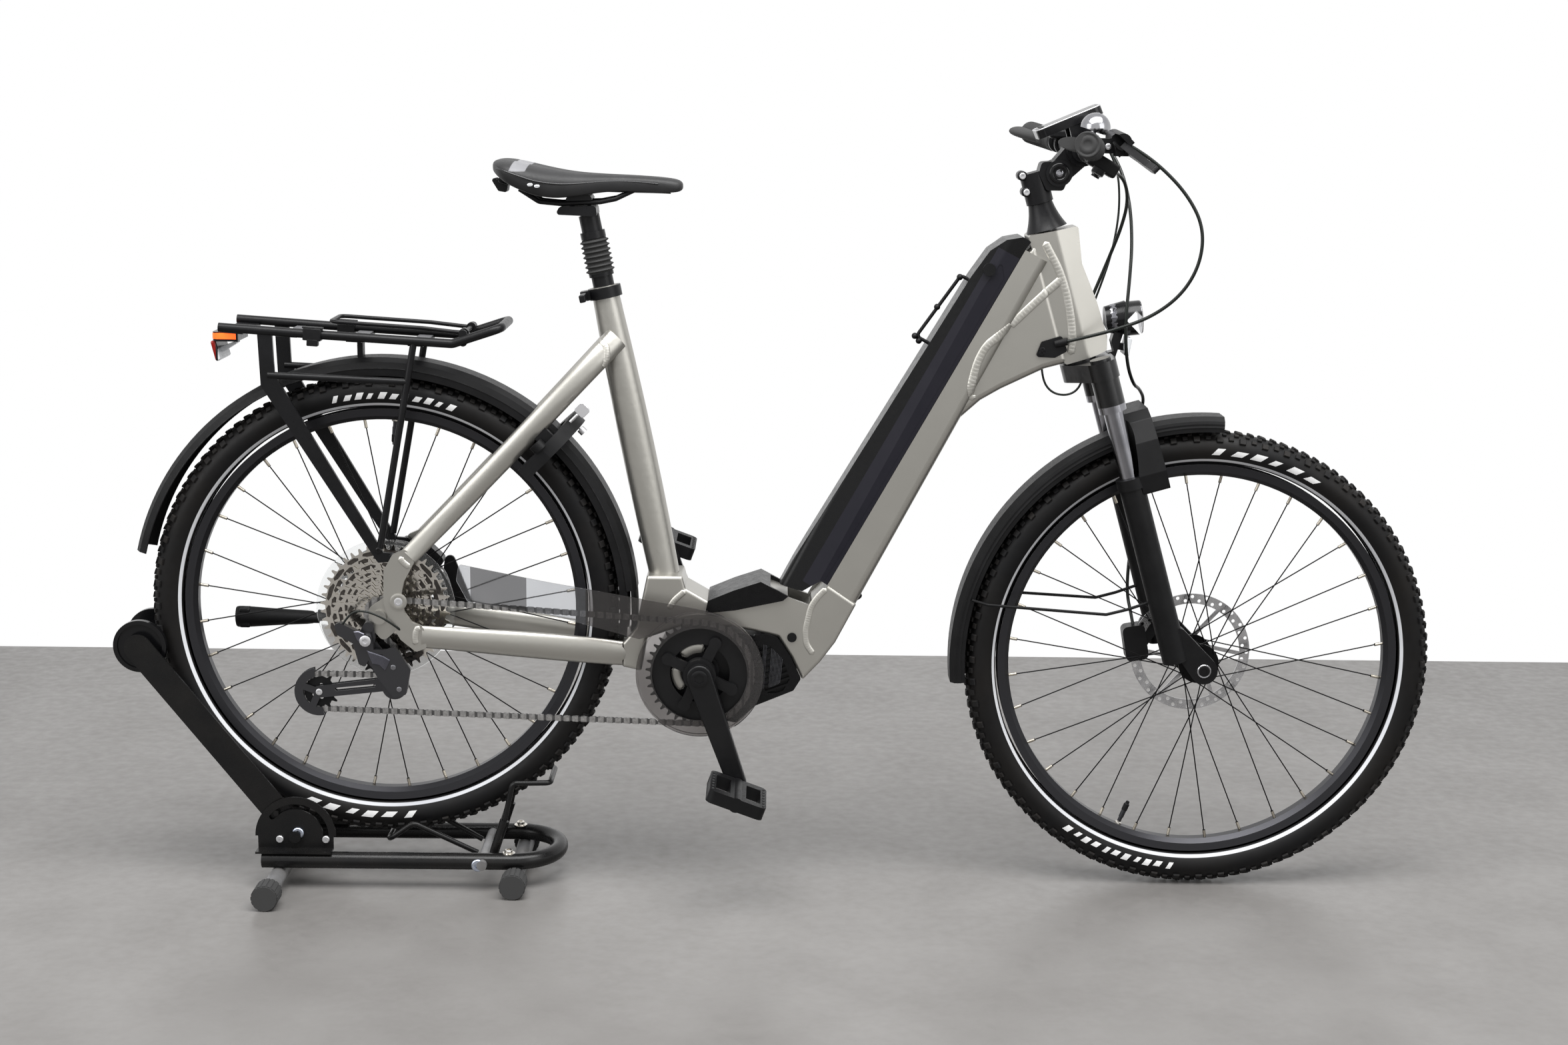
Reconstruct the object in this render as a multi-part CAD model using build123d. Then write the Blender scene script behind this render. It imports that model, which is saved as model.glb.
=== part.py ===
"""Trekking e-bicycle parked with its rear wheel in a tubular display stand.

+X points to the front of the bicycle, +Y to its left, +Z up; the origin lies on the floor under the
middle of the whole.  The chain is on the -Y side.  Lengths are millimetres, angles degrees.
"""
import os
from math import asin, atan2, cos, degrees, hypot, pi, radians, sin, sqrt

from build123d import *

# ---- fits ----------------------------------------------------------------------------------------
RUN_FIT = 0.05            # radial play of a shaft that turns or slides in its bore
CLEAR = 0.3               # air between pieces that pass each other

# ---- wheels and where they stand -----------------------------------------------------------------
WHEELBASE = 1205.0
WHEEL_R = 348.0           # outside of the tyre
TYRE_W = 57.0
TYRE_WALL = 3.0
BEAD_R = 293.0            # tyre bead seat
RIM_OUTER_R = 297.0
RIM_INNER_R = 280.0
RIM_W = 31.0
RIM_WALL = 1.6
SPOKES = 32
SPOKE_R = 0.9
NIPPLE_R = 2.2
NIPPLE_L = 12.0
CROSS_ANGLE = 62.0        # spoke head to nipple, seen along the axle
REAR_RAISE = 69.0         # the stand holds the rear tyre this far off the floor
FRONT_HUB = (628.0, 0.0, WHEEL_R)
REAR_HUB = (FRONT_HUB[0] - WHEELBASE, 0.0, WHEEL_R + REAR_RAISE)
VALVE_R = 3.0
VALVE_L = 34.0
FRONT_VALVE_ANGLE = -112.0
REAR_VALVE_ANGLE = 86.6

# ---- hubs, axles and rotors ----------------------------------------------------------------------
AXLE_R = 7.5
HUB_SHELL_R = 17.0
FLANGE_R = 30.0
FLANGE_T = 3.5
FRONT_FLANGE_Y = 29.0
REAR_FLANGE_Y = (-13.0, 34.0)
FRONT_DROP_Y = 55.0       # inner face of each fork end
REAR_DROP_Y = 72.0        # inner face of each frame dropout
ROTOR_R = 90.0
ROTOR_T = 1.8
ROTOR_BAND = 15.0         # radial height of the braking band
ROTOR_Y = 41.0            # mid plane of the front rotor
REAR_ROTOR_Y = 45.0
ROTOR_ARMS = 6
ROTOR_HOLE_R = 2.6
ROTOR_HOLES = 24

# ---- steering axis and fork ----------------------------------------------------------------------
HEAD_LEAN = 16.1          # steering axis against the vertical, as parked
HEAD_FOOT = (438.0, 0.0, 798.0)   # steering axis at the lower end of the head tube
HEAD_L = 194.0
STEER_TUBE_R = 14.3
HEAD_BORE_R = 20.0
CROWN_AHEAD = 22.0        # fork legs ahead of the steering axis
LEG_Y = 65.0
STANCHION_R = 14.0
SHROUD_R = 20.0
SHROUD_L = 50.0
FORK_TRAVEL = 60.0
LEG_R = 18.8
LEG_TOP_S = -178.0        # top of the lower legs, along the steering axis from HEAD_FOOT
LEG_FOOT_S = -462.0
STANCHION_FOOT_S = -395.0

# ---- frame ---------------------------------------------------------------------------------------
CRANK_AXIS = (-111.0, 0.0, 332.0)
SEAT_LEAN = 11.8
SEAT_TOP = (-254.5, 0.0, 895.0)   # middle of the seat tube mouth
SEAT_TUBE_TOP_R = 19.0
SEAT_TUBE_FOOT_R = 22.5
POST_R = 15.45
DOWN_W = 78.0             # width of the down tube
DOWN_WALL = 3.0
STAY_PLANE_Y = 46.0       # seat stays beside the tyre
CHAINSTAY_PLANE_Y = 55.0
DROP_T = 9.0

# ---- drive ---------------------------------------------------------------------------------------
PITCH = 12.7
RING_TEETH = 38
COG_TEETH = 11            # sprocket that carries the chain
PULLEY_TEETH = 13
CASSETTE = (11, 13, 15, 17, 19, 21, 24, 28, 32, 37, 46)
COG_PITCH_Y = 3.5
COG_T = 1.6
CHAIN_Y = -56.0
PLATE_T = 0.6            # chain side plates
INNER_GAP = 2.2          # between the inner plates of the chain
PLATE_H = 8.4
PIN_R = 1.7
ROLLER_R = 3.85
CRANK_L = 170.0
CRANK_ANGLE = -70.7       # right crank below the horizontal, pointing forward
CRANK_Y = 80.0            # middle plane of each crank arm
CRANK_T = 14.0
PEDAL_W = 96.0
GUIDE_PULLEY = (-580.0, 0.0, 351.0)
TENSION_PULLEY = (-671.0, 0.0, 299.0)
CAGE_PIVOT = (-556.0, 0.0, 313.0)

# ---- bar, seat and luggage -----------------------------------------------------------------------
BAR_CENTRE = (428.0, 0.0, 1097.0)
BAR_R = 11.1
BAR_CLAMP_R = 15.9
BAR_HALF = 325.0
GRIP_R = 16.5
GRIP_L = 128.0
SADDLE_W = 158.0
RACK_TUBE_R = 6.5
RACK_HALF = 58.0
CROSS_PLATES = [(-700, 829), (-608, 823), (-520, 818)]   # middles of the rack's cross plates, as (x, z)
FENDER_R = 373.0
FRONT_FENDER_R = 369.0
FENDER_W = 64.0
FENDER_T = 2.4

# ---- stand ---------------------------------------------------------------------------------------
RAIL_R = 12.5
RAIL_Y = 69.5
FOOT_R = 12.5
CAP_R = 19.5
REAR_FOOT_X = REAR_HUB[0] - 159.0
FRONT_FOOT_X = REAR_HUB[0] + 193.0
REAR_FOOT_HALF = 168.0
FRONT_FOOT_HALF = 112.0
RAIL_SINK = 2.0           # depth of the dimple where a rail sits on a foot
STAND_TAIL_X = REAR_HUB[0] - 183.0
STAND_NOSE_X = REAR_HUB[0] + 265.0
CROSS_X = REAR_HUB[0] + 145.0
SPOOL_AXIS = (REAR_HUB[0] - 360.0, 0.0, 360.0)
ARM_PIVOT = (REAR_HUB[0] - 135.0, 0.0, 76.0)
WIRE_R = 4.0


# ---- cords: points of each run -------------------------------------------------------------------
HOSE_R = 2.5
LEAD_R = 1.6
REAR_HOSE = [(456.3, -124, 1118.8), (462, -96, 1117), (490, -78, 1106), (530, -78, 1080), (570, -84, 1040),
             (594, -90, 995), (592, -90, 945), (570, -82, 900), (530, -70, 866), (480, -60, 846),
             (440, -50, 834),
             (404, -38, 823.5)]
FRONT_HOSE = [(456.3, 124, 1118.8), (461, 96, 1117), (478, 72, 1102), (496, 44, 1068), (506, 16, 1020),
              (508, -4, 965), (503, -26, 915), (498, -34, 855), (503, -28, 796), (518, -4, 760),
              (533, 32, 750),
              (547, 64, 728), (540, 86, 690), (534, 94, 645), (538, 93, 590), (544, 91, 530), (537, 89, 474),
              (534, 74, 430), (539, 56, 402), (543, 46, 378)]
SHIFT_RUN = [(455, -146, 1074), (462, -122, 1072), (480, -98, 1058), (489, -72, 1028), (485, -48, 992),
             (475, -28, 955), (463, -16, 918), (451, -12, 886)]
SHIFT_TAIL = [(-545, -78, 397), (-558, -87, 410), (-575, -91, 422), (-598, -91, 430), (-619, -89, 425),
              (-632, -87, 402)]
LEAD_RUN = [(436, 4, 1124), (462, 4, 1112), (484, 3, 1072), (489, 2, 1020), (484, 3, 970), (473, 6, 922),
            (457, 8, 876)]
LIGHT_RUN = [(381, -18, 796), (382, -19, 770), (396, -21, 749), (420, -23, 745), (438, -24, 757),
             (441, -24, 773)]


# ---- small helpers -------------------------------------------------------------------------------
def slab(sketch, y_low, y_high):
    """Extrude a sketch drawn as (x, z) between two planes across the bicycle."""
    return extrude(Plane.XZ.offset(-y_high) * sketch, amount=y_high - y_low)


def outline(points, radius=0.0):
    """Closed flat outline through (x, z) points, with every corner rounded alike."""
    face = make_face(Polyline(*points, close=True))
    return fillet(face.vertices(), radius) if radius else face


def disc(centre, radius, y_low, y_high):
    """Cylinder across the bicycle."""
    return slab(Pos(centre[0], centre[2]) * Circle(radius), y_low, y_high)


def ring(centre, outer, inner, y_low, y_high):
    """Tube or washer across the bicycle."""
    return slab(Pos(centre[0], centre[2]) * (Circle(outer) - Circle(inner)), y_low, y_high)


def bar(start, end, radius, end_radius=None):
    """Round bar, or a taper, between two points."""
    start, end = Vector(*start), Vector(*end)
    plane = Plane(origin=start, z_dir=end - start)
    length = (end - start).length
    if end_radius is None:
        return extrude(plane * Circle(radius), amount=length)
    return loft([plane * Circle(radius), plane.offset(length) * Circle(end_radius)])


def wire_rod(points, radius, bend):
    """Round rod or tube bent round every inner point."""
    path = FilletPolyline(*points, radius=bend)
    return sweep(Plane(origin=path @ 0, z_dir=path % 0) * Circle(radius), path=path)


def hollow_tube(points, radius, wall, bend):
    """Bent round tube with open ends."""
    path = FilletPolyline(*points, radius=bend)
    section = Plane(origin=path @ 0, z_dir=path % 0) * (Circle(radius) - Circle(radius - wall))
    return sweep(section, path=path)


def tapered_stay(stations):
    """Loft of ellipses: each station is (point, width across the bicycle, height in the side view)."""
    faces = []
    points = [Vector(*s[0]) for s in stations]
    for i, (_, width, height) in enumerate(stations):
        ahead = points[min(i + 1, len(points) - 1)] - points[max(i - 1, 0)]
        plane = Plane(origin=points[i], x_dir=(0, 1, 0), z_dir=ahead)
        faces.append(plane * Ellipse(width / 2, height / 2))
    return loft(faces)


def mirrored(shape):
    """The same piece on the other side of the wheel plane."""
    return mirror(shape, about=Plane.XZ)


def both(shape):
    """A piece and its mirror image, as separate solids."""
    return Compound(children=[shape, mirrored(shape)])


def group(*shapes):
    """Separate solids kept as one sub-part."""
    solids = []
    for shape in shapes:
        solids += list(shape.solids()) if hasattr(shape, "solids") else [s for x in shape for s in x.solids()]
    return Compound(children=solids)


def along_wheel(centre, radius, angle, y=0.0):
    """Point at a radius and angle about a hub, seen from the chain side."""
    return (centre[0] + radius * cos(radians(angle)), y, centre[2] + radius * sin(radians(angle)))


def steer_axis():
    """Unit vector up the steering axis and the unit vector ahead of it."""
    lean = radians(HEAD_LEAN)
    return Vector(-sin(lean), 0, cos(lean)), Vector(cos(lean), 0, sin(lean))


def steer_point(s, ahead=0.0, y=0.0):
    """Point given along the steering axis from HEAD_FOOT, ahead of it and to the left."""
    up, front = steer_axis()
    p = Vector(*HEAD_FOOT) + up * s + front * ahead + Vector(0, y, 0)
    return (p.X, p.Y, p.Z)


def steer_plane(s, ahead=0.0, y=0.0):
    """Plane square to the steering axis: local x ahead, local y left."""
    up, front = steer_axis()
    return Plane(origin=steer_point(s, ahead, y), x_dir=front, z_dir=up)


def pitch_radius(teeth):
    """Radius of the roller centres on a toothed wheel."""
    return PITCH / (2 * sin(pi / teeth))


# ---- wheels --------------------------------------------------------------------------------------
def turned(sections, centre):
    """Revolve a sketch drawn as (radius, y) about a hub."""
    return Pos(*centre) * revolve(sections, axis=Axis.Y)


def tyre_section(inset, bead):
    """Half-open tyre outline as (radius, y), offset inward from the outside of the casing."""
    half, top = TYRE_W / 2 - inset, WHEEL_R - inset
    mid = (BEAD_R + WHEEL_R) / 2
    return [(BEAD_R, -bead), (BEAD_R + 9, -bead), (mid - 4, -half), (mid + 12, -half), (top - 7, -half + 8),
            (top, -half + 20), (top, half - 20), (top - 7, half - 8), (mid + 12, half), (mid - 4, half),
            (BEAD_R + 9, bead), (BEAD_R, bead)]


def tyre(centre):
    """Hollow tyre with a rounded square shoulder, open at the beads."""
    bead = RIM_W / 2 - 2.4
    casing = fillet(make_face(Polyline(*tyre_section(0, bead), close=True)).vertices().filter_by(
        lambda v: v.X > BEAD_R + 1), 5)
    hollow = fillet(make_face(Polyline(*tyre_section(TYRE_WALL, bead - TYRE_WALL),
                                       close=True)).vertices().filter_by(
        lambda v: v.X > BEAD_R + 1), 3)
    return turned(casing - hollow, centre)


def rim(centre):
    """Double-wall rim with a bead seat on each side."""
    half = RIM_W / 2
    points = [(RIM_OUTER_R, -half), (RIM_INNER_R + 6, -half + 1.5), (RIM_INNER_R, -7), (RIM_INNER_R, 7),
              (RIM_INNER_R + 6, half - 1.5), (RIM_OUTER_R, half), (RIM_OUTER_R, half - 2),
              (BEAD_R - CLEAR, half - 2), (BEAD_R - 4, 8), (BEAD_R - 4, -8), (BEAD_R - CLEAR, -half + 2),
              (RIM_OUTER_R, -half + 2)]
    chamber = outline([(RIM_INNER_R + RIM_WALL, -6), (RIM_INNER_R + RIM_WALL, 6), (BEAD_R - 6, 10),
                       (BEAD_R - 6, -10)])
    return turned(outline(points) - chamber, centre)


def spoke_set(centre, flange_y):
    """Crossed spokes, alternately to each flange, each with its nipple."""
    spokes = []
    root = FLANGE_R - 3.5
    for i in range(SPOKES):
        angle = 360.0 * (i + 0.5) / SPOKES
        side = i % 2
        lead = 1 if (i // 2) % 2 else -1
        y = flange_y[side]
        foot = along_wheel(centre, root, angle + lead * CROSS_ANGLE,
                           y + lead * (FLANGE_T / 2 + SPOKE_R + 0.5))
        head = along_wheel(centre, RIM_INNER_R - 0.3, angle, 4.0 if side else -4.0)
        run = Vector(*head) - Vector(*foot)
        shoulder = tuple(Vector(*head) - run.normalized() * NIPPLE_L)
        spokes.append(bar(foot, shoulder, SPOKE_R) + bar(shoulder, head, NIPPLE_R))
    return spokes


def valve(centre, angle):
    """Valve stem with its cap, standing inward from the rim."""
    tip = along_wheel(centre, RIM_INNER_R - VALVE_L, angle)
    neck = along_wheel(centre, RIM_INNER_R - VALVE_L / 3, angle)
    return bar(tip, neck, VALVE_R * 1.25) + bar(neck, along_wheel(centre, RIM_INNER_R - 0.3, angle), VALVE_R)


def rotor(centre, y):
    """Scalloped, drilled brake disc on curved arms."""
    band = Circle(ROTOR_R) - Circle(ROTOR_R - ROTOR_BAND)
    hole = Circle(ROTOR_HOLE_R)
    for i in range(ROTOR_HOLES):
        angle = 360.0 * i / ROTOR_HOLES
        band -= Rot(0, 0, angle) * Pos(ROTOR_R - 4.5, 0) * hole
        band -= Rot(0, 0, angle + 360 / ROTOR_HOLES / 2) * Pos(ROTOR_R - 10.5, 0) * hole
    spider = Circle(24) - Circle(AXLE_R + 6)
    for i in range(ROTOR_ARMS):
        arm = Pos((ROTOR_R - ROTOR_BAND + 22) / 2, 0) * Rectangle(ROTOR_R - ROTOR_BAND - 18, 6)
        spider += Rot(0, 0, 360 * i / ROTOR_ARMS) * Pos(0, 14) * Rot(0, 0, -12) * arm
    plate = band + (spider & Circle(ROTOR_R - 3))
    return slab(Pos(centre[0], centre[2]) * plate, y - ROTOR_T / 2, y + ROTOR_T / 2)


def hub_shell(centre, flange_y, ends, bore):
    """Hub body with two flanges and a bearing boss at each end, bored for its axle."""
    low, high = flange_y
    body = disc(centre, HUB_SHELL_R, low, high)
    body += disc(centre, FLANGE_R, low - FLANGE_T / 2, low + FLANGE_T / 2)
    body += disc(centre, FLANGE_R, high - FLANGE_T / 2, high + FLANGE_T / 2)
    body += disc(centre, 13.5, ends[0], ends[1])
    return body - disc(centre, bore, ends[0] - 1, ends[1] + 1)


def front_hub():
    """Front hub with its laced spokes and its brake disc bolted on."""
    ends = (-FRONT_DROP_Y + 2, FRONT_DROP_Y - 2)
    flange = (-FRONT_FLANGE_Y, FRONT_FLANGE_Y)
    return group(hub_shell(FRONT_HUB, flange, ends, AXLE_R + RUN_FIT), rotor(FRONT_HUB, ROTOR_Y),
                 *spoke_set(FRONT_HUB, flange))


def rear_hub():
    """Rear hub with its laced spokes and brake disc; the freehub belongs to the cassette."""
    ends = (REAR_FLANGE_Y[0] - 4, REAR_DROP_Y - 2)
    return group(hub_shell(REAR_HUB, REAR_FLANGE_Y, ends, AXLE_R + RUN_FIT), rotor(REAR_HUB, REAR_ROTOR_Y),
                 *spoke_set(REAR_HUB, REAR_FLANGE_Y))


# ---- stand ---------------------------------------------------------------------------------------
def rail_height():
    """Axis height of the stand's rails, dimpled on to the feet."""
    return CAP_R + FOOT_R + RAIL_R - RAIL_SINK


def foot_tubes():
    """Two cross feet and the grey cross tube between the rails."""
    z = rail_height()
    feet = []
    for x, half in ((REAR_FOOT_X, REAR_FOOT_HALF), (FRONT_FOOT_X, FRONT_FOOT_HALF)):
        feet.append(disc((x, 0, CAP_R), FOOT_R, -half, half) - disc((x, 0, CAP_R), FOOT_R - 2, -half - 1,
                                                                    half + 1))
    cross = ring((CROSS_X, 0, z), 9.0, 4.2, -RAIL_Y + RAIL_R, RAIL_Y - RAIL_R)
    through_bolt = disc((CROSS_X, 0, z), 4.0, -RAIL_Y - RAIL_R - 4, RAIL_Y + RAIL_R + 4)
    through_bolt += disc((CROSS_X, 0, z), 7.5, -RAIL_Y - RAIL_R - 9, -RAIL_Y - RAIL_R - CLEAR)
    through_bolt += disc((CROSS_X, 0, z), 7.5, RAIL_Y + RAIL_R + CLEAR, RAIL_Y + RAIL_R + 9)
    return group(*feet, cross, through_bolt)


def foot_caps():
    """Ribbed rubber cap on each end of both feet."""
    caps = []
    section = Circle(CAP_R)
    for i in range(16):
        section -= Rot(0, 0, 22.5 * i) * Pos(CAP_R, 0) * Circle(1.2)
    section = Rot(0, 0, 11.25) * section
    for x, half in ((REAR_FOOT_X, REAR_FOOT_HALF), (FRONT_FOOT_X, FRONT_FOOT_HALF)):
        cap = slab(Pos(x, CAP_R) * section, -half - 6, -half + 26)
        cap += disc((x, 0, CAP_R), CAP_R - 1.2, -half - 8, -half - 6)
        cap -= disc((x, 0, CAP_R), FOOT_R, -half, -half + 27)
        caps += [cap, mirrored(cap)]
    return group(*caps)


def stand_frame():
    """Base tube bent to a U, flattened where it sits on the feet, with both slotted plates."""
    z = rail_height()
    bend = RAIL_Y - 2
    nose = STAND_NOSE_X - RAIL_R
    route = [(STAND_TAIL_X, -RAIL_Y, z), (nose, -RAIL_Y, z), (nose, RAIL_Y, z), (STAND_TAIL_X, RAIL_Y, z)]
    tube = hollow_tube(route, RAIL_R, 2.0, bend)
    for x in (REAR_FOOT_X, FRONT_FOOT_X):
        tube -= disc((x, 0, CAP_R), FOOT_R, -RAIL_Y - 2 * RAIL_R, RAIL_Y + 2 * RAIL_R)
    cross_hole = disc((CROSS_X, 0, z), 4.0 + RUN_FIT, -RAIL_Y - 2 * RAIL_R, RAIL_Y + 2 * RAIL_R)
    tube -= cross_hole
    return group(tube, both(pivot_plate()))


def pivot_plate():
    """Half-round plate with an arc slot for the swing arm, and a flange on the rail."""
    floor = rail_height() + RAIL_R
    x, z = ARM_PIVOT[0], ARM_PIVOT[2]
    face = Pos(x, z) * Circle(60) & Pos(x, z + 100) * Rectangle(200, 200)
    face += Pos(x, (floor + z) / 2) * Rectangle(112, z - floor)
    face -= Pos(x, z) * Circle(5.0 + RUN_FIT)
    plate = slab(face - arc_slot((x, z), 45, 0, 140, 4.2), -60, -57)
    flange = Pos(x, -69.5, floor + 1.5) * Box(112, 25, 3)
    return plate + flange


def arc_slot(centre, radius, start, sweep_angle, half_width):
    """Curved slot with round ends, as a flat face."""
    outer = radius + half_width
    inner = radius - half_width
    wedge = Circle(outer) - Circle(inner)
    far = 3 * outer
    pts = [(0, 0)]
    steps = 6
    for i in range(steps + 1):
        a = radians(start + sweep_angle * i / steps)
        pts.append((far * cos(a), far * sin(a)))
    wedge &= make_face(Polyline(*pts, close=True))
    for a in (radians(start), radians(start + sweep_angle)):
        wedge += Pos(radius * cos(a), radius * sin(a)) * Circle(half_width)
    return Pos(*centre) * wedge


def swing_arms():
    """Pair of flat arms on the stand's pivots, with the spool's shaft and the guide bolts."""
    px, pz = ARM_PIVOT[0], ARM_PIVOT[2]
    sx, sz = SPOOL_AXIS[0], SPOOL_AXIS[2]
    angle = degrees(atan2(sz - pz, sx - px))
    length = hypot(sz - pz, sx - px)
    blade = Pos(length / 2 + 6, 0) * Rectangle(length - 12, 40) + Circle(20) + Pos(length, 0) * Circle(20)
    arm = slab(Pos(px, pz) * Rot(0, 0, angle) * blade, -54, -50)
    rib = slab(Pos(px, pz) * Rot(0, 0, angle) * Pos(length / 2, 0) * Rectangle(length - 70, 8), -50, -46)
    arm += rib
    arm += disc(ARM_PIVOT, 5.0, -66, -54) + disc(ARM_PIVOT, 9.0, -67, -60 - CLEAR)
    arm += disc(along_wheel(ARM_PIVOT, 45, angle), 4.0 - RUN_FIT, -62, -54)
    shaft = disc(SPOOL_AXIS, 6.0, -50, 50)
    return arm + mirrored(arm) + shaft


def spool():
    """Roller with a wide disc each side that keeps the tyre between the arms."""
    reach = hypot(SPOOL_AXIS[0] - REAR_HUB[0], SPOOL_AXIS[2] - REAR_HUB[2])
    body = disc(SPOOL_AXIS, reach - WHEEL_R - CLEAR, -34, 34)
    disc_plate = disc(SPOOL_AXIS, 39, -43, -34)
    disc_plate -= ring(SPOOL_AXIS, 33, 14, -44, -40)
    body += disc_plate + mirrored(disc_plate)
    return body - disc(SPOOL_AXIS, 6.0 + RUN_FIT, -44, 44)


def tyre_wires():
    """Bent wire cradle under the tyre and wire hoop before it, both welded to the cross tube."""
    z = rail_height()
    seat_x = REAR_HUB[0]
    under = REAR_RAISE - WIRE_R - CLEAR
    cradle = [(CROSS_X - 9 - WIRE_R, -30, z), (-539, -42, 92), (seat_x, -40, under), (seat_x, 40, under),
              (-539, 42, 92), (CROSS_X - 9 - WIRE_R, 30, z)]
    top = 156.0
    hoop = [(CROSS_X + 9 + WIRE_R, -44, z - 4), (-402, -44, 100), (-390, -44, top), (-334, -40, top),
            (-334, 40, top), (-390, 44, top), (-402, 44, 100), (CROSS_X + 9 + WIRE_R, 44, z - 4)]
    sleeve = bar((-418.6, -44, 48), (-402.6, -44, 98), 7.0)
    loop = wire_rod(hoop, WIRE_R, 9)
    return group(wire_rod(cradle, WIRE_R, 12), loop + sleeve + mirrored(sleeve))


# ---- frame ---------------------------------------------------------------------------------------
DOWN_FOOT = (109.0, 417.0)        # lower end of the down tube's underside, as (x, z)
DOWN_LEAN = 62.2                  # down tube above the horizontal
DOWN_L = 640.0
SEAM_FOOT = 52.0                  # underside to cover seam at the foot and at the head
SEAM_HEAD = 38.0
COVER_FOOT = 106.0                # underside to cover crest at the foot and at the head
COVER_HEAD = 84.0
COVER_END = 596.0                 # where the cover's crest has rolled down, along the tube
BATTERY_W = 62.0


def seat_point(down, back=0.0):
    """Point on the seat tube axis below its mouth, or behind it."""
    lean = radians(SEAT_LEAN)
    return (SEAT_TOP[0] + down * sin(lean) - back * cos(lean), 0.0,
            SEAT_TOP[2] - down * cos(lean) - back * sin(lean))


def tube_point(s, t):
    """(x, z) at s along the down tube from its foot and t above its underside."""
    a = radians(DOWN_LEAN)
    return (DOWN_FOOT[0] + s * cos(a) - t * sin(a), DOWN_FOOT[1] + s * sin(a) + t * cos(a))


def tube_height(foot, head, s):
    """Straight taper of a height between the foot and the head of the down tube."""
    return foot + (head - foot) * s / COVER_END


def tube_plane(s):
    """Plane square to the down tube: local x to the left of the bicycle, local y away from the underside."""
    a = radians(DOWN_LEAN)
    x, z = tube_point(s, 0)
    return Plane(origin=(x, 0, z), x_dir=(0, 1, 0), z_dir=(cos(a), 0, sin(a)))


def tube_section(shrink=0.0):
    """Cross-section of the down tube with its cover: round underside, flat flanks, faceted crest."""
    half = DOWN_W / 2 - shrink
    points = [(-half, shrink), (half, shrink), (half, 62), (half - 15, 112 - shrink),
              (15 - half, 112 - shrink),
              (-half, 62)]
    return outline(points, 13.0 - shrink)


def tube_flank(low, high, start, end):
    """Side view of a strip of the down tube between two tapered heights."""
    return [tube_point(start, low(start)), tube_point(end, low(end)), tube_point(end, high(end)),
            tube_point(start, high(start))]


def seam(s):
    """Height of the joint between down tube and battery cover."""
    return tube_height(SEAM_FOOT, SEAM_HEAD, s)


def crest(s):
    """Height of the battery cover's crest."""
    return tube_height(COVER_FOOT, COVER_HEAD, s)


def head_profile():
    """Side view of the head tube with its bulging front."""
    top_rear, top_front = steer_point(HEAD_L, -31), steer_point(HEAD_L - 6, 43)
    foot_front, foot_rear = steer_point(1, 24), steer_point(0, -25)
    points = [(top_rear[0], top_rear[2]), (top_front[0], top_front[2]), (434, 937), (458, 882), (475, 832),
              (475, 812), (foot_front[0], foot_front[2]), (foot_rear[0], foot_rear[2])]
    return outline(points, 4.0)


def head_tube():
    """Head tube: forged-looking bulge round the steering axis, bored for the headset."""
    body = slab(head_profile(), -33, 33)
    waist = extrude(steer_plane(-20) * outline([(-60, -31), (10, -33), (50, -17), (50, 17), (10, 33),
                                                (-60, 31)], 12),
                    amount=HEAD_L + 40)
    body &= waist
    bore = extrude(steer_plane(-30) * Circle(HEAD_BORE_R), amount=HEAD_L + 80)
    return body - bore - bar(SHIFT_RUN[-1], SHIFT_RUN[-2], HOSE_R + CLEAR) - bar(LEAD_RUN[-1], LEAD_RUN[-2],
                                                                                 LEAD_R + CLEAR)


def tube_envelope(shrink=0.0, start=-60.0, end=None):
    """Down tube section drawn out along the tube."""
    end = DOWN_L if end is None else end
    return extrude(tube_plane(start) * tube_section(shrink), amount=end - start)


def junction():
    """Flared gusset where the down tube meets the head tube."""
    foot = steer_point(2, -20)
    points = [tube_point(300, 2), tube_point(334, 0), (293, 738), (322, 755), (384, 785), (foot[0], foot[2]),
              (steer_point(HEAD_L - 12, -22)[0], steer_point(HEAD_L - 12, -22)[2]), tube_point(585, 36),
              tube_point(300, 40)]
    body = slab(outline(points, 3.0), -34, 34)
    return fillet(body.edges().filter_by(Axis.Y, reverse=True).filter_by(GeomType.LINE), 9.0)


def down_tube():
    """Down tube with its open battery bay and the gusset to the head tube."""
    flank = slab(outline(tube_flank(lambda s: 0, lambda s: seam(s) - CLEAR / 2, -40, 590)), -DOWN_W, DOWN_W)
    body = (tube_envelope() & flank) + junction()
    bay = tube_flank(lambda s: DOWN_WALL + 6, lambda s: seam(s) + 9, 40, 540)
    body -= slab(outline(bay), -BATTERY_W / 2 - 2, BATTERY_W / 2 + 2)
    over = slab(outline(tube_flank(lambda s: seam(s) - CLEAR / 2, lambda s: 170, -60, 598)), -DOWN_W, DOWN_W)
    hole = bar(LIGHT_RUN[0], LIGHT_RUN[1], LEAD_R + CLEAR)
    return body - over - head_keepout() - hole


def head_keepout():
    """Space of the head tube, which the other tubes are mitred to."""
    return extrude(steer_plane(-20) * Circle(HEAD_BORE_R), amount=HEAD_L + 60) + head_tube()


def battery_pack():
    """Removable battery in the down tube."""
    flank = tube_flank(lambda s: DOWN_WALL + 6 + CLEAR, lambda s: seam(s) + 24, 44, 536)
    pack = slab(outline(flank, 4), -BATTERY_W / 2, BATTERY_W / 2)
    return pack & tube_envelope(5.0)


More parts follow.
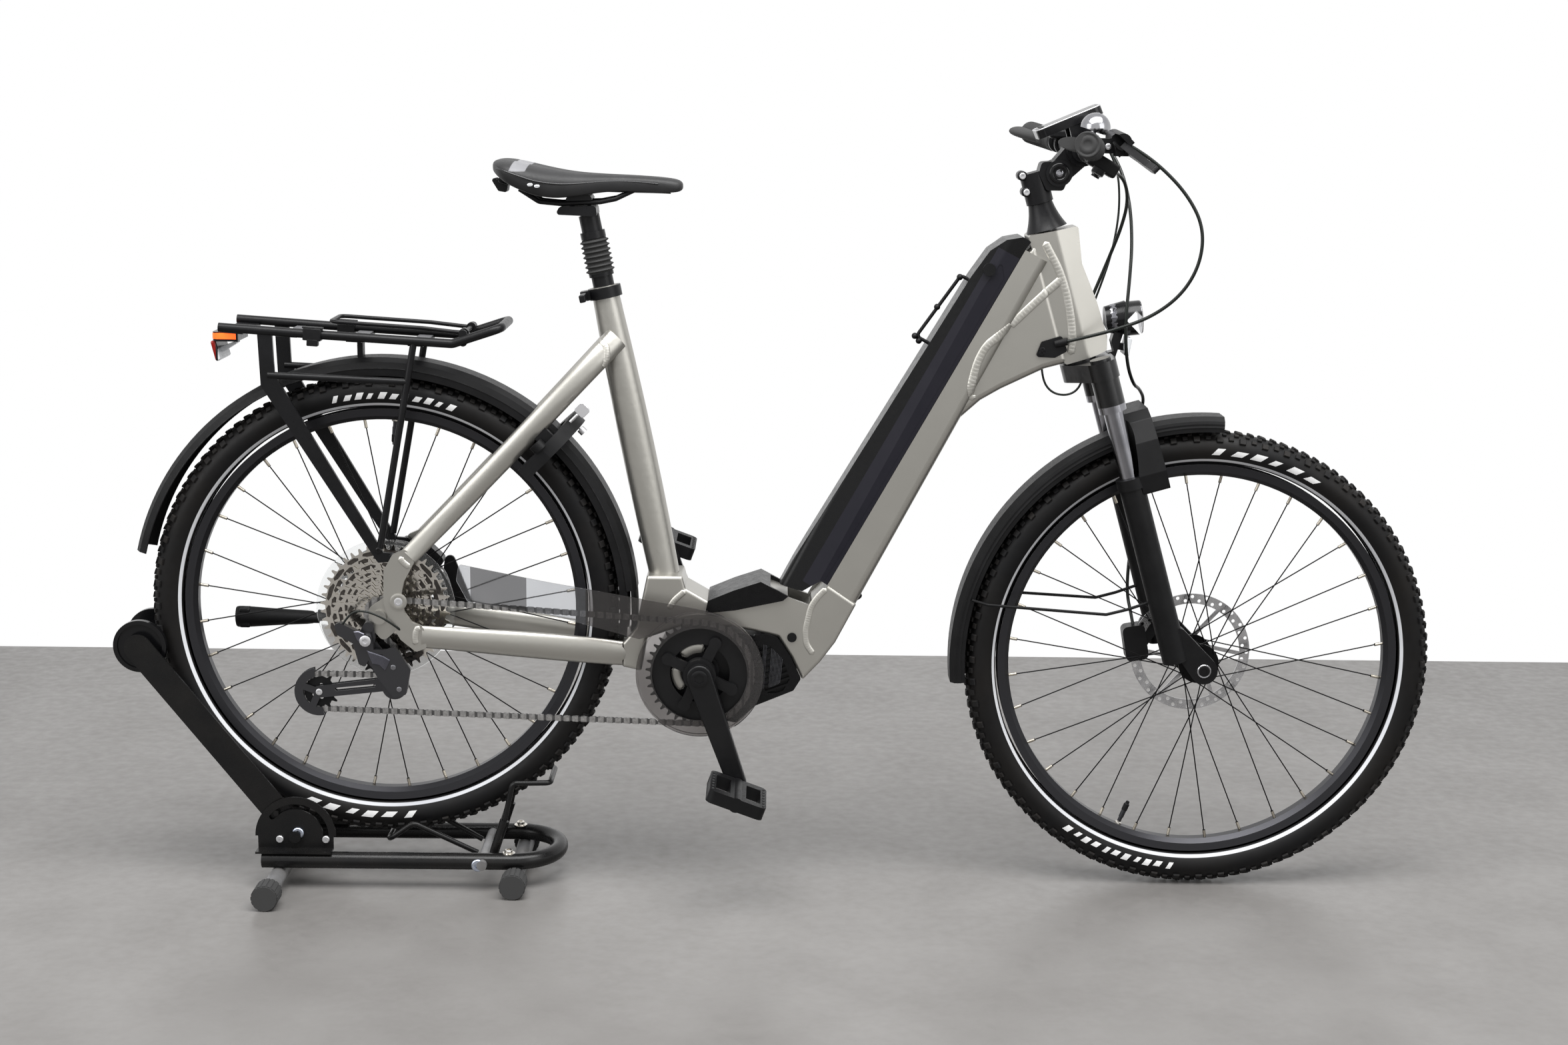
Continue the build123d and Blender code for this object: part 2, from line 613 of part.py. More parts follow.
def battery_cover():
    """Moulded cover over the battery, with faceted flanks and a rolled head end."""
    head = [tube_point(520, crest(520)), tube_point(565, crest(565) - 4), tube_point(590, 68),
            tube_point(604, 50),
            tube_point(604, 36)]
    foot = [tube_point(6, seam(6) + CLEAR / 2), tube_point(-12, crest(0) + 8)]
    points = foot + head + [tube_point(590, seam(590) + CLEAR / 2)]
    solid = slab(outline(points, 2.0), -DOWN_W, DOWN_W) & tube_envelope()
    inner = slab(outline(tube_flank(lambda s: 0, lambda s: crest(s) - 6, 30, 556)), -BATTERY_W / 2 - 1.5,
                 BATTERY_W / 2 + 1.5)
    inner &= tube_envelope(4.0)
    solid -= inner
    facet = slab(outline([tube_point(30, seam(30) + 6), tube_point(540, seam(540) + 5), tube_point(560, 60),
                          tube_point(500, crest(500) - 22), tube_point(20, crest(20) - 30)], 3), -DOWN_W,
                          DOWN_W)
    flank_skin = facet - slab(outline(tube_flank(lambda s: 0, lambda s: 130, -20, 640)), -DOWN_W / 2 + 0.8,
                              DOWN_W / 2 - 0.8)
    return solid - flank_skin - head_keepout() - motor_cradle()


def seat_tube_body():
    """Seat tube before boring, flared towards the cradle."""
    down = (SEAT_TOP[2] - 470) / cos(radians(SEAT_LEAN))
    top, foot, mid = Vector(*seat_point(0)), Vector(*seat_point(down)), Vector(*seat_point(70))
    planes = [Plane(origin=p, x_dir=(0, 1, 0), z_dir=foot - top) for p in (top, mid, foot)]
    return loft([planes[0] * Circle(SEAT_TUBE_TOP_R), planes[1] * Ellipse(19.5, 21.5),
                 planes[2] * Ellipse(24, SEAT_TUBE_FOOT_R)])


def seat_tube():
    """Seat tube, slit at its mouth and bored for the seatpost."""
    bore = bar(seat_point(-5), seat_point(315), POST_R + RUN_FIT)
    slit = Pos(*seat_point(12, -SEAT_TUBE_TOP_R + 4)) * Rot(0, -SEAT_LEAN, 0) * Box(16, 2.2, 44)
    return seat_tube_body() - bore - slit


def cradle_profile():
    """Side view of the welded cradle that holds the drive unit."""
    return [(-190, 474), (-138, 474), (-133, 456), (-98, 436), (-62, 446), (-4, 462), (38, 452), (66, 470),
            tube_point(20, 0), (88, 376), (66, 346), (40, 318), (24, 352), (4, 384), (-30, 392), (-66, 398),
            (-140, 398), (-190, 380), (-198, 330), (-226, 336), (-226, 372), (-206, 396)]


def motor_cradle():
    """Welded cradle between seat tube, down tube and chain stays, hollow over the drive unit."""
    body = slab(outline(cradle_profile(), 3.0), -41, 41)
    body = fillet(body.edges().filter_by(Axis.Y, reverse=True).filter_by(GeomType.LINE), 5.0)
    hollow = slab(outline([(-150, 404), (-66, 404), (-30, 398), (8, 390), (60, 440), (-4, 446), (-98, 424),
                           (-150, 440)], 6), -34, 34)
    return body - hollow


def welded_frame():
    """Front of the frame: head tube, down tube, seat tube and cradle, mitred to each other."""
    cradle = motor_cradle() - tube_cover_space()
    seat = seat_tube() - slab(outline(cradle_profile()), -60, 60)
    return group(head_tube(), down_tube() - cradle, seat, cradle)


def tube_cover_space():
    """Room for the battery cover's foot over the cradle."""
    points = [tube_point(-14, 60), tube_point(60, 40), tube_point(60, 170), tube_point(-30, 170)]
    return slab(outline(points), -DOWN_W, DOWN_W)


def cradle_cover():
    """Moulded cover bridging from the battery cover to the seat tube."""
    points = [(-104, 420), (-100, 439), (-62, 455), (0, 476), (16, 470), (24, 452), (10, 440), (-60, 425)]
    cover = slab(outline(points, 3), -46, 46)
    cover -= motor_cradle()
    return cover - slab(outline([tube_point(-16, 40), tube_point(80, 40), tube_point(80, 170),
                                 tube_point(-16, 170)]),
                        -DOWN_W, DOWN_W)


# ---- rear triangle -------------------------------------------------------------------------------
DROP_BOSS = (-548.0, 0.0, 441.0)


def dropout():
    """Chain-side dropout: a C-shaped bow from stay to stay with the axle plate behind it."""
    inner, outer = -REAR_DROP_Y, -REAR_DROP_Y - DROP_T
    bow = [(-524, 500), (-536, 519), (-556, 510), (-569, 486), (-570, 440), (-562, 412), (-546, 384),
           (-524, 366),
           (-508, 372), (-512, 402), (-530, 410), (-540, 424), (-545, 446), (-540, 470)]
    face = outline(bow, 5.0)
    body = slab(face, outer, inner)
    body += disc(DROP_BOSS, 12.5, outer - 1.5, outer)
    plate = outline([(-592, 404), (-592, 430), (-560, 452), (-545, 440), (-545, 404), (-572, 380)], 8.0)
    body += slab(plate, inner - 5, inner)
    body -= bar(SHIFT_TAIL[0], SHIFT_TAIL[1], LEAD_R + CLEAR)
    return body - disc(REAR_HUB, AXLE_R, outer - 2, inner + 1)


def seat_stay():
    """Chain-side seat stay from the seat tube to the dropout."""
    top = (seat_point(76)[0] + 3, -13, seat_point(76)[2])
    return tapered_stay([(top, 26, 36), ((-300, -STAY_PLANE_Y, 752), 20, 33),
                         ((-420, -STAY_PLANE_Y - 6, 624), 18, 31),
                         ((-532, -REAR_DROP_Y - DROP_T / 2, 508), 12, 27)])


def chain_stay():
    """Chain-side chain stay from the cradle to the dropout."""
    return tapered_stay([((-218, -32, 354), 16, 36), ((-300, -CHAINSTAY_PLANE_Y + 5, 366), 17, 40),
                         ((-420, -66, 379), 17, 37), ((-516, -REAR_DROP_Y - DROP_T / 2, 388), 12, 33)])


def rear_triangle():
    """Stays, bridge and dropouts on both sides, mitred to the seat tube and the cradle."""
    drop = dropout()
    seat = seat_stay() - drop - seat_tube_body()
    chain = chain_stay() - drop - slab(outline(cradle_profile()), -41, 41)
    return group(*[s for piece in (drop, seat, chain) for s in (piece, mirrored(piece))], rear_axle())


def rear_axle():
    """Through axle with a flanged head each side."""
    tip = REAR_DROP_Y + DROP_T
    axle = disc(REAR_HUB, AXLE_R, -tip, tip)
    return axle + disc(REAR_HUB, 10.5, -REAR_DROP_Y - 9, -REAR_DROP_Y - 5) + disc(REAR_HUB, 10.5, tip,
                                                                                  tip + 5)


# ---- fork and steering ---------------------------------------------------------------------------
BAR_ABOVE = 300.0         # handlebar clamp above HEAD_FOOT, along the steering axis
STEM_PIVOT = (397.0, 0.0, 1065.0)
CROWN_S = -16.0           # middle of the crown's steerer boss
CROWN_T = 26.0
AXLE_HEAD_R = 10.0
ARCH_GAP = 1.5            # air left between crown and arch when the fork is fully in
ARCH_TOP_S = CROWN_S - CROWN_T / 2 - FORK_TRAVEL - ARCH_GAP   # crest of the arch, along the steering axis
ARCH_AHEAD = 34.0
ARCH_DEPTH = 40.0


def upright(s_low, s_high, radius, ahead=0.0, y=0.0):
    """Cylinder along the steering axis."""
    return extrude(steer_plane(s_low, ahead, y) * Circle(radius), amount=s_high - s_low)


def crown():
    """Forged crown: a steerer boss swept out to a socket over each leg."""
    boss = Circle(30)
    arm = make_hull((boss.edges() + [e for y in (-LEG_Y, LEG_Y) for e in (Pos(CROWN_AHEAD,
                                                                              y) * Circle(SHROUD_R
                                                                                          + 2)).edges()]))
    web = extrude(steer_plane(CROWN_S - CROWN_T / 2) * arm, amount=CROWN_T)
    socket = upright(CROWN_S - 62, CROWN_S + CROWN_T / 2, SHROUD_R, CROWN_AHEAD, LEG_Y)
    body = web + socket + mirrored(socket)
    return body - bar(LIGHT_RUN[-1], LIGHT_RUN[-2], LEAD_R + CLEAR)


def fork_uppers():
    """Steerer, crown and both stanchions, which turn with the bar."""
    steerer = upright(CROWN_S, HEAD_L + 30, STEER_TUBE_R)
    legs = [upright(STANCHION_FOOT_S, CROWN_S - 40, STANCHION_R, CROWN_AHEAD, y) for y in (-LEG_Y, LEG_Y)]
    body = crown() + steerer + legs[0] + legs[1]
    for y in (-LEG_Y, LEG_Y):
        body += upright(CROWN_S + CROWN_T / 2, CROWN_S + CROWN_T / 2 + 4, 15, CROWN_AHEAD, y)
    race = extrude(steer_plane(-3.2) * (Circle(25) - Circle(STEER_TUBE_R)), amount=3.0 - CLEAR / 2)
    return body + race


def bearing_cups():
    """Headset cups pressed into the head tube, in which the steerer turns."""
    cup = Circle(HEAD_BORE_R) - Circle(STEER_TUBE_R + RUN_FIT)
    return [extrude(steer_plane(s) * cup, amount=10) for s in (0, HEAD_L - 14)]


def lower_leg(y):
    """Lower leg with its seal collar, before boring."""
    collar = upright(LEG_TOP_S - 16, LEG_TOP_S, LEG_R + 2.2, CROWN_AHEAD, y)
    return upright(LEG_FOOT_S, LEG_TOP_S, LEG_R, CROWN_AHEAD, y) + collar


def fork_end(side):
    """Fork end: the leg's foot swept forward to the axle clamp."""
    y = side * LEG_Y
    foot = steer_point(LEG_FOOT_S + 14, CROWN_AHEAD, y)
    low, high = sorted((side * FRONT_DROP_Y, side * (LEG_Y + 11)))
    hub = (FRONT_HUB[0], FRONT_HUB[2])
    web = make_hull((Pos(*hub) * Circle(20)).edges() + (Pos(foot[0] + 3, foot[2] + 24) * Circle(15)).edges())
    return slab(web, low, high)


def arch():
    """Brace that joins the lower legs over the tyre, clear of the crown at full travel."""
    half = [(0, ARCH_TOP_S), (42, ARCH_TOP_S), (58, ARCH_TOP_S - 12), (74, LEG_TOP_S + 46), (83, LEG_TOP_S),
            (80, LEG_TOP_S - 28), (52, LEG_TOP_S - 28), (50, LEG_TOP_S + 20), (44, ARCH_TOP_S - 26),
            (34, ARCH_TOP_S - 18), (0, ARCH_TOP_S - 18)]
    points = half + [(-y, s) for y, s in reversed(half[1:-1])]
    up, front = steer_axis()
    plane = Plane(origin=steer_point(0, ARCH_AHEAD), x_dir=(0, 1, 0), z_dir=front)
    body = extrude(plane * outline(points, 4), amount=ARCH_DEPTH)
    for y in (-LEG_Y, LEG_Y):
        body -= upright(LEG_TOP_S, LEG_TOP_S + 120, SHROUD_R + 1, CROWN_AHEAD, y)
    return body


def fork_lowers():
    """Both lower legs with their arch, and the through axle."""
    body = lower_leg(-LEG_Y) + lower_leg(LEG_Y) + fork_end(-1) + fork_end(1) + arch()
    foot = STANCHION_FOOT_S - FORK_TRAVEL - 2
    for y in (-LEG_Y, LEG_Y):
        body -= upright(foot, LEG_TOP_S + 1, STANCHION_R + RUN_FIT, CROWN_AHEAD, y)
    return group(body - disc(FRONT_HUB, AXLE_R, -LEG_Y - 20, LEG_Y + 20), front_axle())


def front_axle():
    """Front through axle with its head."""
    tip = LEG_Y + 11
    return disc(FRONT_HUB, AXLE_R, -tip, tip) + disc(FRONT_HUB, AXLE_HEAD_R, tip, tip + 4)


def headset_cover():
    """Conical cover over the upper bearing."""
    low = steer_plane(HEAD_L + CLEAR)
    cone = loft([low * Circle(30), low.offset(22) * Circle(21), low.offset(38) * Circle(17.5)])
    return cone - upright(HEAD_L - 5, HEAD_L + 60, STEER_TUBE_R)


def stem():
    """Adjustable stem: steerer clamp, tilting arm and bar clamp."""
    clamp = upright(HEAD_L + 39, HEAD_L + 84, 19.5) - upright(HEAD_L, HEAD_L + 70, STEER_TUBE_R)
    ear = slab(outline([(380, 1040), (404, 1040), (414, 1066), (400, 1082), (372, 1080), (368, 1064)], 6),
               -19, 19)
    pivot = disc(STEM_PIVOT, 19, -24, 24)
    arm = slab(make_hull((Pos(STEM_PIVOT[0], STEM_PIVOT[2]) * Circle(17)).edges()
                         + (Pos(BAR_CENTRE[0], BAR_CENTRE[2]) * Circle(20)).edges()), -19, 19)
    grip = disc(BAR_CENTRE, 22.5, -24, 24)
    body = clamp + (ear - upright(HEAD_L, HEAD_L + 70, STEER_TUBE_R)) + pivot + arm + grip
    return group(body - disc(BAR_CENTRE, BAR_CLAMP_R, -60, 60), headset_cover())


def handlebar():
    """Flat handlebar with a thicker middle and a slight backsweep."""
    x, _, z = BAR_CENTRE
    half = wire_rod([(x, 0, z), (x, 90, z), (x - 9, 200, z + 8), (x - 34, BAR_HALF, z + 17)], BAR_R, 60)
    body = disc(BAR_CENTRE, BAR_CLAMP_R, -38, 38)
    return body + half + mirrored(half)


# ---- controls on the bar -------------------------------------------------------------------------
LEVER_Y = 198.0           # brake lever pivot, from the middle of the bar
LEVER_L = 104.0
LEVER_SWING = 16.0
PIVOT_R = 3.0             # pin on which a brake lever turns
PIVOT_L = 28.0
SHIFT_SWING = 14.0
CLAMP_Y = 184.0


def bar_point(y):
    """Middle of the bar at a distance to the left, along its straight chords."""
    x, _, z = BAR_CENTRE
    knots = [(0, x, z), (90, x, z), (200, x - 9, z + 8), (BAR_HALF, x - 34, z + 17)]
    away = abs(y)
    for (y0, x0, z0), (y1, x1, z1) in zip(knots, knots[1:]):
        if away <= y1:
            f = (away - y0) / (y1 - y0)
            return (x0 + f * (x1 - x0), y, z0 + f * (z1 - z0))
    return (knots[-1][1], y, knots[-1][2])


def grip(side):
    """Grip with a flat palm wing behind the bar."""
    inner, outer = bar_point(side * (BAR_HALF - GRIP_L)), bar_point(side * (BAR_HALF + 3))
    sleeve = bar(inner, outer, GRIP_R) + bar(outer, bar_point(side * BAR_HALF), GRIP_R)
    run = Vector(*outer) - Vector(*inner)
    plane = Plane(origin=inner, x_dir=Vector(-1, 0, 0.1) - run * (Vector(-1, 0,
                                                                         0.1).dot(run) / run.dot(run)),
                                                                         z_dir=run)
    wing = loft([plane.offset(30) * Pos(12, 0) * Ellipse(14, 9),
                 plane.offset(80) * Pos(22, 0) * Ellipse(17, 8),
                 plane.offset(GRIP_L) * Pos(20, 0) * Ellipse(18, 8)])
    return sleeve + wing - handlebar()


def grips():
    """Both grips, pushed over the bar ends."""
    return group(grip(-1), grip(1))


def brake_body(side):
    """Brake master cylinder and its clamp round the bar."""
    centre = bar_point(side * CLAMP_Y)
    low, high = sorted((side * (CLAMP_Y - 8), side * (CLAMP_Y + 8)))
    hoop = ring(centre, BAR_R + 5, BAR_R, low, high)
    pad = Pos(centre[0] + 21, centre[1], centre[2] + 5) * Box(20, 20, 20)
    rear, front = (centre[0] + 36, side * (CLAMP_Y - 52), centre[2] + 15), (centre[0] + 36,
                                                                            side * (LEVER_Y + 24),
                                                                          centre[2] + 11)
    tank = bar(rear, front, 11.5) + bar(rear, (rear[0], rear[1] - side * 12, rear[2]), 7)
    fork = Pos(centre[0] + 38, side * (LEVER_Y + 6), centre[2] + 3) * Box(22, 22, 22)
    body = hoop + pad + tank + fork
    hose = REAR_HOSE if side < 0 else FRONT_HOSE
    body -= lever_slot(side) + pivot_rod(side, PIVOT_R + RUN_FIT)
    return body - bar(hose[0], hose[1], HOSE_R + CLEAR) - handlebar()


def pivot_rod(side, radius):
    """Rod through the brake body on a lever's pivot."""
    return extrude(lever_plane(side).offset(-PIVOT_L / 2) * Circle(radius), amount=PIVOT_L)


def lever_pivot(side):
    """Centre of a brake lever's pivot."""
    x, _, z = bar_point(side * CLAMP_Y)
    return (x + 42, side * (LEVER_Y + 6), z + 2)


def lever_axis():
    """Direction of the lever pivots: they stand nearly upright, leant back like the levers' plane."""
    return Vector(0.7, 0, 0.714).normalized()


def lever_plane(side):
    """Plane in which a lever swings: local x outboard along the bar, local y forward."""
    out = Vector(0, side, 0)
    return Plane(origin=lever_pivot(side), x_dir=out, z_dir=lever_axis() * -side)


def lever_slot(side):
    """Room in the brake body for the lever's root."""
    return extrude(lever_plane(side).offset(-5) * Pos(4, 0) * Rectangle(40, 46), amount=10)


def brake_lever(side):
    """Brake lever: a flat blade with a hooked end, on its pivot pin."""
    blade = [(-6, -7), (8, -8), (40, 6), (80, 24), (LEVER_L, 30), (LEVER_L + 4, 38), (80, 36), (38, 19),
             (4, 9), (-8, 4)]
    return extrude(lever_plane(side).offset(-4.6) * outline(blade, 3), amount=9.2) + pivot_rod(side, PIVOT_R)


def right_lever():
    """Lever for the rear brake."""
    return brake_lever(-1)


def left_lever():
    """Lever for the front brake."""
    return brake_lever(1)


SHIFT_Y = CLAMP_Y - 26
SHIFT_TILT = 30.0
PADDLE_DROP = 14.0        # shifter centre to the middle of its paddle


def shift_centre():
    """Centre of the shifter case."""
    x, _, z = bar_point(-SHIFT_Y)
    return (x + 16, -SHIFT_Y, z - 19)


def shift_plane(drop):
    """Plane square to the shifter's pivot: local x to the rear, local y outboard."""
    a = radians(SHIFT_TILT)
    x, y, z = shift_centre()
    return Plane(origin=(x - drop * sin(a), y, z - drop * cos(a)), x_dir=(-cos(a), 0, sin(a)),
                 z_dir=(sin(a), 0, cos(a)))


def shifter_body():
    """Shifter under the bar on the right, with its clamp and the paddle's pivot pin."""
    centre = bar_point(-SHIFT_Y)
    hoop = ring(centre, BAR_R + 4.5, BAR_R, -SHIFT_Y - 6, -SHIFT_Y + 6)
    case = Pos(*shift_centre()) * Rot(0, SHIFT_TILT, 0) * Box(44, 34, 20)
    case = fillet(case.edges(), 4)
    foot = shift_plane(PADDLE_DROP + 6)
    pin = extrude(foot * Circle(3), amount=12) + extrude(foot * Circle(6), amount=3)
    return hoop + case + pin - handlebar() - bar(SHIFT_RUN[0], SHIFT_RUN[1], HOSE_R + CLEAR)


def shift_paddle():
    """Thumb paddle of the shifter, turning on its pin."""
    arm = outline([(-7, -7), (7, -7), (9, 24), (13, 44), (-2, 46), (-5, 24)], 3)
    paddle = extrude(shift_plane(PADDLE_DROP + 2.5) * arm, amount=5)
    tip = extrude(shift_plane(PADDLE_DROP + 2.5) * Pos(6, 43) * Circle(9), amount=8)
    return paddle + tip - extrude(shift_plane(PADDLE_DROP + 9) * Circle(3 + RUN_FIT), amount=20)


def mode_switch():
    """Small push-button unit for the drive unit, on the left of the bar."""
    y = CLAMP_Y - 40
    centre = bar_point(y)
    hoop = ring(centre, BAR_R + 4, BAR_R, y - 7, y + 7)
    pod = Pos(centre[0] - 8, y, centre[2] + 16) * Box(32, 40, 13)
    return hoop + fillet(pod.edges(), 4) - handlebar()


def bar_controls():
    """Everything clamped to the bar that doesn't move by itself."""
    return group(brake_body(-1), brake_body(1), shifter_body(), mode_switch())


def display():
    """Display unit on its clamp in the middle of the bar."""
    x, z = 409.0, 1137.0
    case = fillet(Box(98, 62, 13).edges().filter_by(Axis.Z), 12)
    case = Pos(x, 0, z) * Rot(0, -23, 0) * case
    foot = slab(outline([(416, 1112), (444, 1112), (436, 1144), (412, 1134)], 4), -14, 14)
    clamp = ring(BAR_CENTRE, BAR_CLAMP_R + 6, BAR_CLAMP_R, -36, -26) + ring(BAR_CENTRE, BAR_CLAMP_R + 6,
                                                                            BAR_CLAMP_R, 26, 36)
    arm = both(slab(outline([(414, 1108), (440, 1112), (440, 1140), (408, 1130)], 3), 24.5, 30))
    return group(case + foot + clamp + arm.solids()[0] + arm.solids()[1] - disc(BAR_CENTRE, 24.5, -24.4, 24.4)
                 - disc(BAR_CENTRE, BAR_CLAMP_R, -40, 40) - bar(LEAD_RUN[0], LEAD_RUN[1], LEAD_R + CLEAR))


def bell():
    """Domed bell on its clamp, on the right of the bar."""
    y = -100.0
    x, _, z = bar_point(y)
    hoop = ring((x, 0, z), BAR_R + 4, BAR_R, y - 6, y + 6)
    base = Pos(x + 2, y, z + 17) * Cylinder(11, 12)
    dome = Pos(x + 8, y, z + 33) * Rot(0, 18, 0) * (Sphere(21) & Pos(0, 0, 8) * Box(50, 50, 26))
    shell = dome - Pos(x + 8, y, z + 33) * Rot(0, 18, 0) * (Sphere(19.4) & Pos(0, 0, 6) * Box(50, 50, 26))
    post = bar((x + 3, y, z + 20), (x + 14, y, z + 53), 4)
    return group(hoop + base - handlebar(), (shell + post) - (hoop + base))


CROWN_FACE_X = 480.0
HEAD_SWEEP_R = 51.0       # what turns with the fork keeps outside this radius beside the head tube


def headlight():
    """Headlight with a visor, on a bracket bolted to the crown."""
    body = Pos(488, 0, 856) * Rot(0, 84, 0) * Cone(19, 25, 30)
    lens = Pos(513, 0, 857) * Rot(0, 84, 0) * Cylinder(25, 22)
    cut = Pos(530, 0, 842) * Rot(0, 84 - 40, 0) * Box(60, 60, 20)
    bracket = slab(outline([(476, 800), (488, 797), (500, 838), (486, 838)], 3), -11, 11)
    plate = slab(outline([(CROWN_FACE_X - 2, 788), (CROWN_FACE_X + 4, 788), (490, 806), (478, 808)], 1), -11,
                 11)
    reflector = fillet((Pos(506, 0, 817) * Rot(0, 10, 0) * Box(7, 42, 26)).edges().filter_by(Axis.X,
                                                                                             reverse=True),
                                                                                             1.5)
    neck = slab(outline([(490, 812), (503, 810), (504, 820), (492, 822)], 1), -6, 6)
    lamp = (body + lens) - cut + bracket + plate + reflector + neck
    return group(lamp - crown() - upright(-2, HEAD_L, HEAD_SWEEP_R))


# ---- drive ---------------------------------------------------------------------------------------
# (above pitch circle, half width)
TOOTH = [(-4.0, 3.6), (-3.0, 2.8), (-1.5, 2.2), (0.0, 2.0), (1.8, 1.5), (3.2, 0.8)]
DRIVE_UNIT_R = 74.0
UNIT_LOW_Y, UNIT_HIGH_Y = -38.0, 46.0
SPINDLE_R = 9.0
PEDAL_R = 6.0
FREEHUB_R = 17.0
SPIDER_T = 8.0


def chain_wheels():
    """The wheels in the order the chain meets them: (centre, teeth, sense of the wrap)."""
    return [(CRANK_AXIS, RING_TEETH, 1), (REAR_HUB, COG_TEETH, 1), (GUIDE_PULLEY, PULLEY_TEETH, -1),
            (TENSION_PULLEY, PULLEY_TEETH, 1)]


def run_between(a, b):
    """Straight run from wheel a to wheel b: its direction in degrees and its length."""
    (xa, _, za), ta, sa = a
    (xb, _, zb), tb, sb = b
    away = hypot(xb - xa, zb - za)
    step = sb * pitch_radius(tb) - sa * pitch_radius(ta)
    return degrees(atan2(zb - za, xb - xa) - asin(step / away)), sqrt(away ** 2 - step ** 2)


def on_wheel(wheel, angle):
    """(x, z) on a wheel's pitch circle."""
    x, _, z = along_wheel(wheel[0], pitch_radius(wheel[1]), angle)
    return (x, z)


def wraps():
    """For each wheel: angle of its first seated roller, rollers carried, and the arcs before and after
    them."""
    wheels = chain_wheels()
    found = []
    last_lap = 0.0
    for i, wheel in enumerate(wheels):
        sense, step, radius = wheel[2], 360.0 / wheel[1], pitch_radius(wheel[1])
        arrive, length = run_between(wheels[i - 1], wheel)
        leave, _ = run_between(wheel, wheels[(i + 1) % len(wheels)])
        wrap = (sense * (leave - arrive)) % 360
        if i == 0:
            first = wrap - int(wrap / step) * step
        else:
            travelled = last_lap + length
            first = degrees(((int(travelled / PITCH) + 1) * PITCH - travelled) / radius)
        count = int((wrap - first) / step + 1e-6) + 1
        last_lap = radians(wrap - first - (count - 1) * step) * radius
        found.append((arrive - sense * 90 + sense * first, count, radians(first) * radius, last_lap))
    return found


def seat_angles():
    """Angle of the first seated roller on each wheel."""
    return [w[0] for w in wraps()]


def roller_centres():
    """(x, z) of every roller along the closed chain."""
    wheels, seats = chain_wheels(), wraps()
    rollers = []
    for i, wheel in enumerate(wheels):
        angle, count, _, lap = seats[i]
        after = (i + 1) % len(wheels)
        rollers += [on_wheel(wheel, angle + k * wheel[2] * 360.0 / wheel[1]) for k in range(count)]
        direction, length = run_between(wheel, wheels[after])
        total = lap + length + seats[after][2]
        gaps = round(total / PITCH)
        x, z = on_wheel(wheel, direction - wheel[2] * 90)
        for k in range(1, gaps):
            along = k * total / gaps - lap
            rollers.append((x + along * cos(radians(direction)), z + along * sin(radians(direction))))
    return rollers


def link(inner):
    """One chain link lying along X with its first roller at the origin."""
    face = make_hull(Circle(PLATE_H / 2).edges() + (Pos(PITCH, 0) * Circle(PLATE_H / 2)).edges())
    waist = Pos(PITCH / 2, PLATE_H / 2 + 2.2) * Circle(3.2)
    face = face - waist - mirror(waist, about=Plane.XZ)
    low = INNER_GAP / 2 if inner else INNER_GAP / 2 + PLATE_T + 0.05
    plates = slab(face, low, low + PLATE_T)
    pins = Circle(ROLLER_R if inner else PIN_R) + Pos(PITCH, 0) * Circle(ROLLER_R if inner else PIN_R)
    if inner:
        pins -= Circle(PIN_R + RUN_FIT) + Pos(PITCH, 0) * Circle(PIN_R + RUN_FIT)
        hole = Circle(PIN_R + RUN_FIT) + Pos(PITCH, 0) * Circle(PIN_R + RUN_FIT)
        plates -= slab(hole, 0, 10)
    half = low if inner else low + PLATE_T + 0.1
    body = plates + mirrored(plates) + slab(pins, -half, half)
    return Solid(body.solids()[0].wrapped)


def chain():
    """The whole chain: inner and outer links in turn along the run."""
    centres = roller_centres()
    kinds = [link(True), link(False)]
    links = []
    for i, (x, z) in enumerate(centres):
        nx, nz = centres[(i + 1) % len(centres)]
        turn = degrees(atan2(nz - z, nx - x))
        links.append(Pos(x, CHAIN_Y, z) * Rot(0, -turn, 0) * kinds[i % 2])
    return Compound(children=links)


def toothed_face(teeth, phase):
    """Flat toothed wheel centred on the origin with a gap at the phase angle."""
    radius = pitch_radius(teeth)
    face = Circle(radius - ROLLER_R - CLEAR / 2)
    side = [(radius + rise, half) for rise, half in TOOTH]
    points = side + [(x, -half) for x, half in reversed(side)]
    tooth = make_face(Polyline((radius - 8, 4.6), *points, (radius - 8, -4.6), close=True))
    teeth_faces = [Rot(0, 0, phase + 360.0 * (k + 0.5) / teeth) * tooth for k in range(teeth)]
    return face.fuse(*teeth_faces)


def toothed_wheel(wheel, y, bore, windows=0):
    """Toothed wheel on a bore, pierced by round windows."""
    centre, teeth, phase = wheel
    face = Face(toothed_face(teeth, phase).faces()[0].wrapped) - Circle(bore)
    radius = pitch_radius(teeth)
    for k in range(windows):
        away = (radius - 10 + bore) / 2
        face -= Rot(0, 0, 360.0 * k / windows) * Pos(away, 0) * Circle((radius - 18 - bore) / 2)
    return slab(Pos(centre[0], centre[2]) * face, y - COG_T / 2, y + COG_T / 2)


def cassette():
    """Sprockets on the freehub, spaced by rings."""
    seats = seat_angles()
    body = ring(REAR_HUB, FREEHUB_R, AXLE_R + RUN_FIT, CHAIN_Y - 6, CHAIN_Y + len(CASSETTE) * COG_PITCH_Y)
    cogs = []
    for k, teeth in enumerate(CASSETTE):
        phase = seats[1] if teeth == COG_TEETH else 7.0 * k
        windows = 5 if teeth > 20 else 0
        cogs.append(toothed_wheel((REAR_HUB, teeth, phase), CHAIN_Y + k * COG_PITCH_Y, FREEHUB_R, windows))
    return group(body, *cogs)


def join(shapes):
    """Fuse several pieces into one."""
    total = shapes[0]
    for shape in shapes[1:]:
        total += shape
    return total


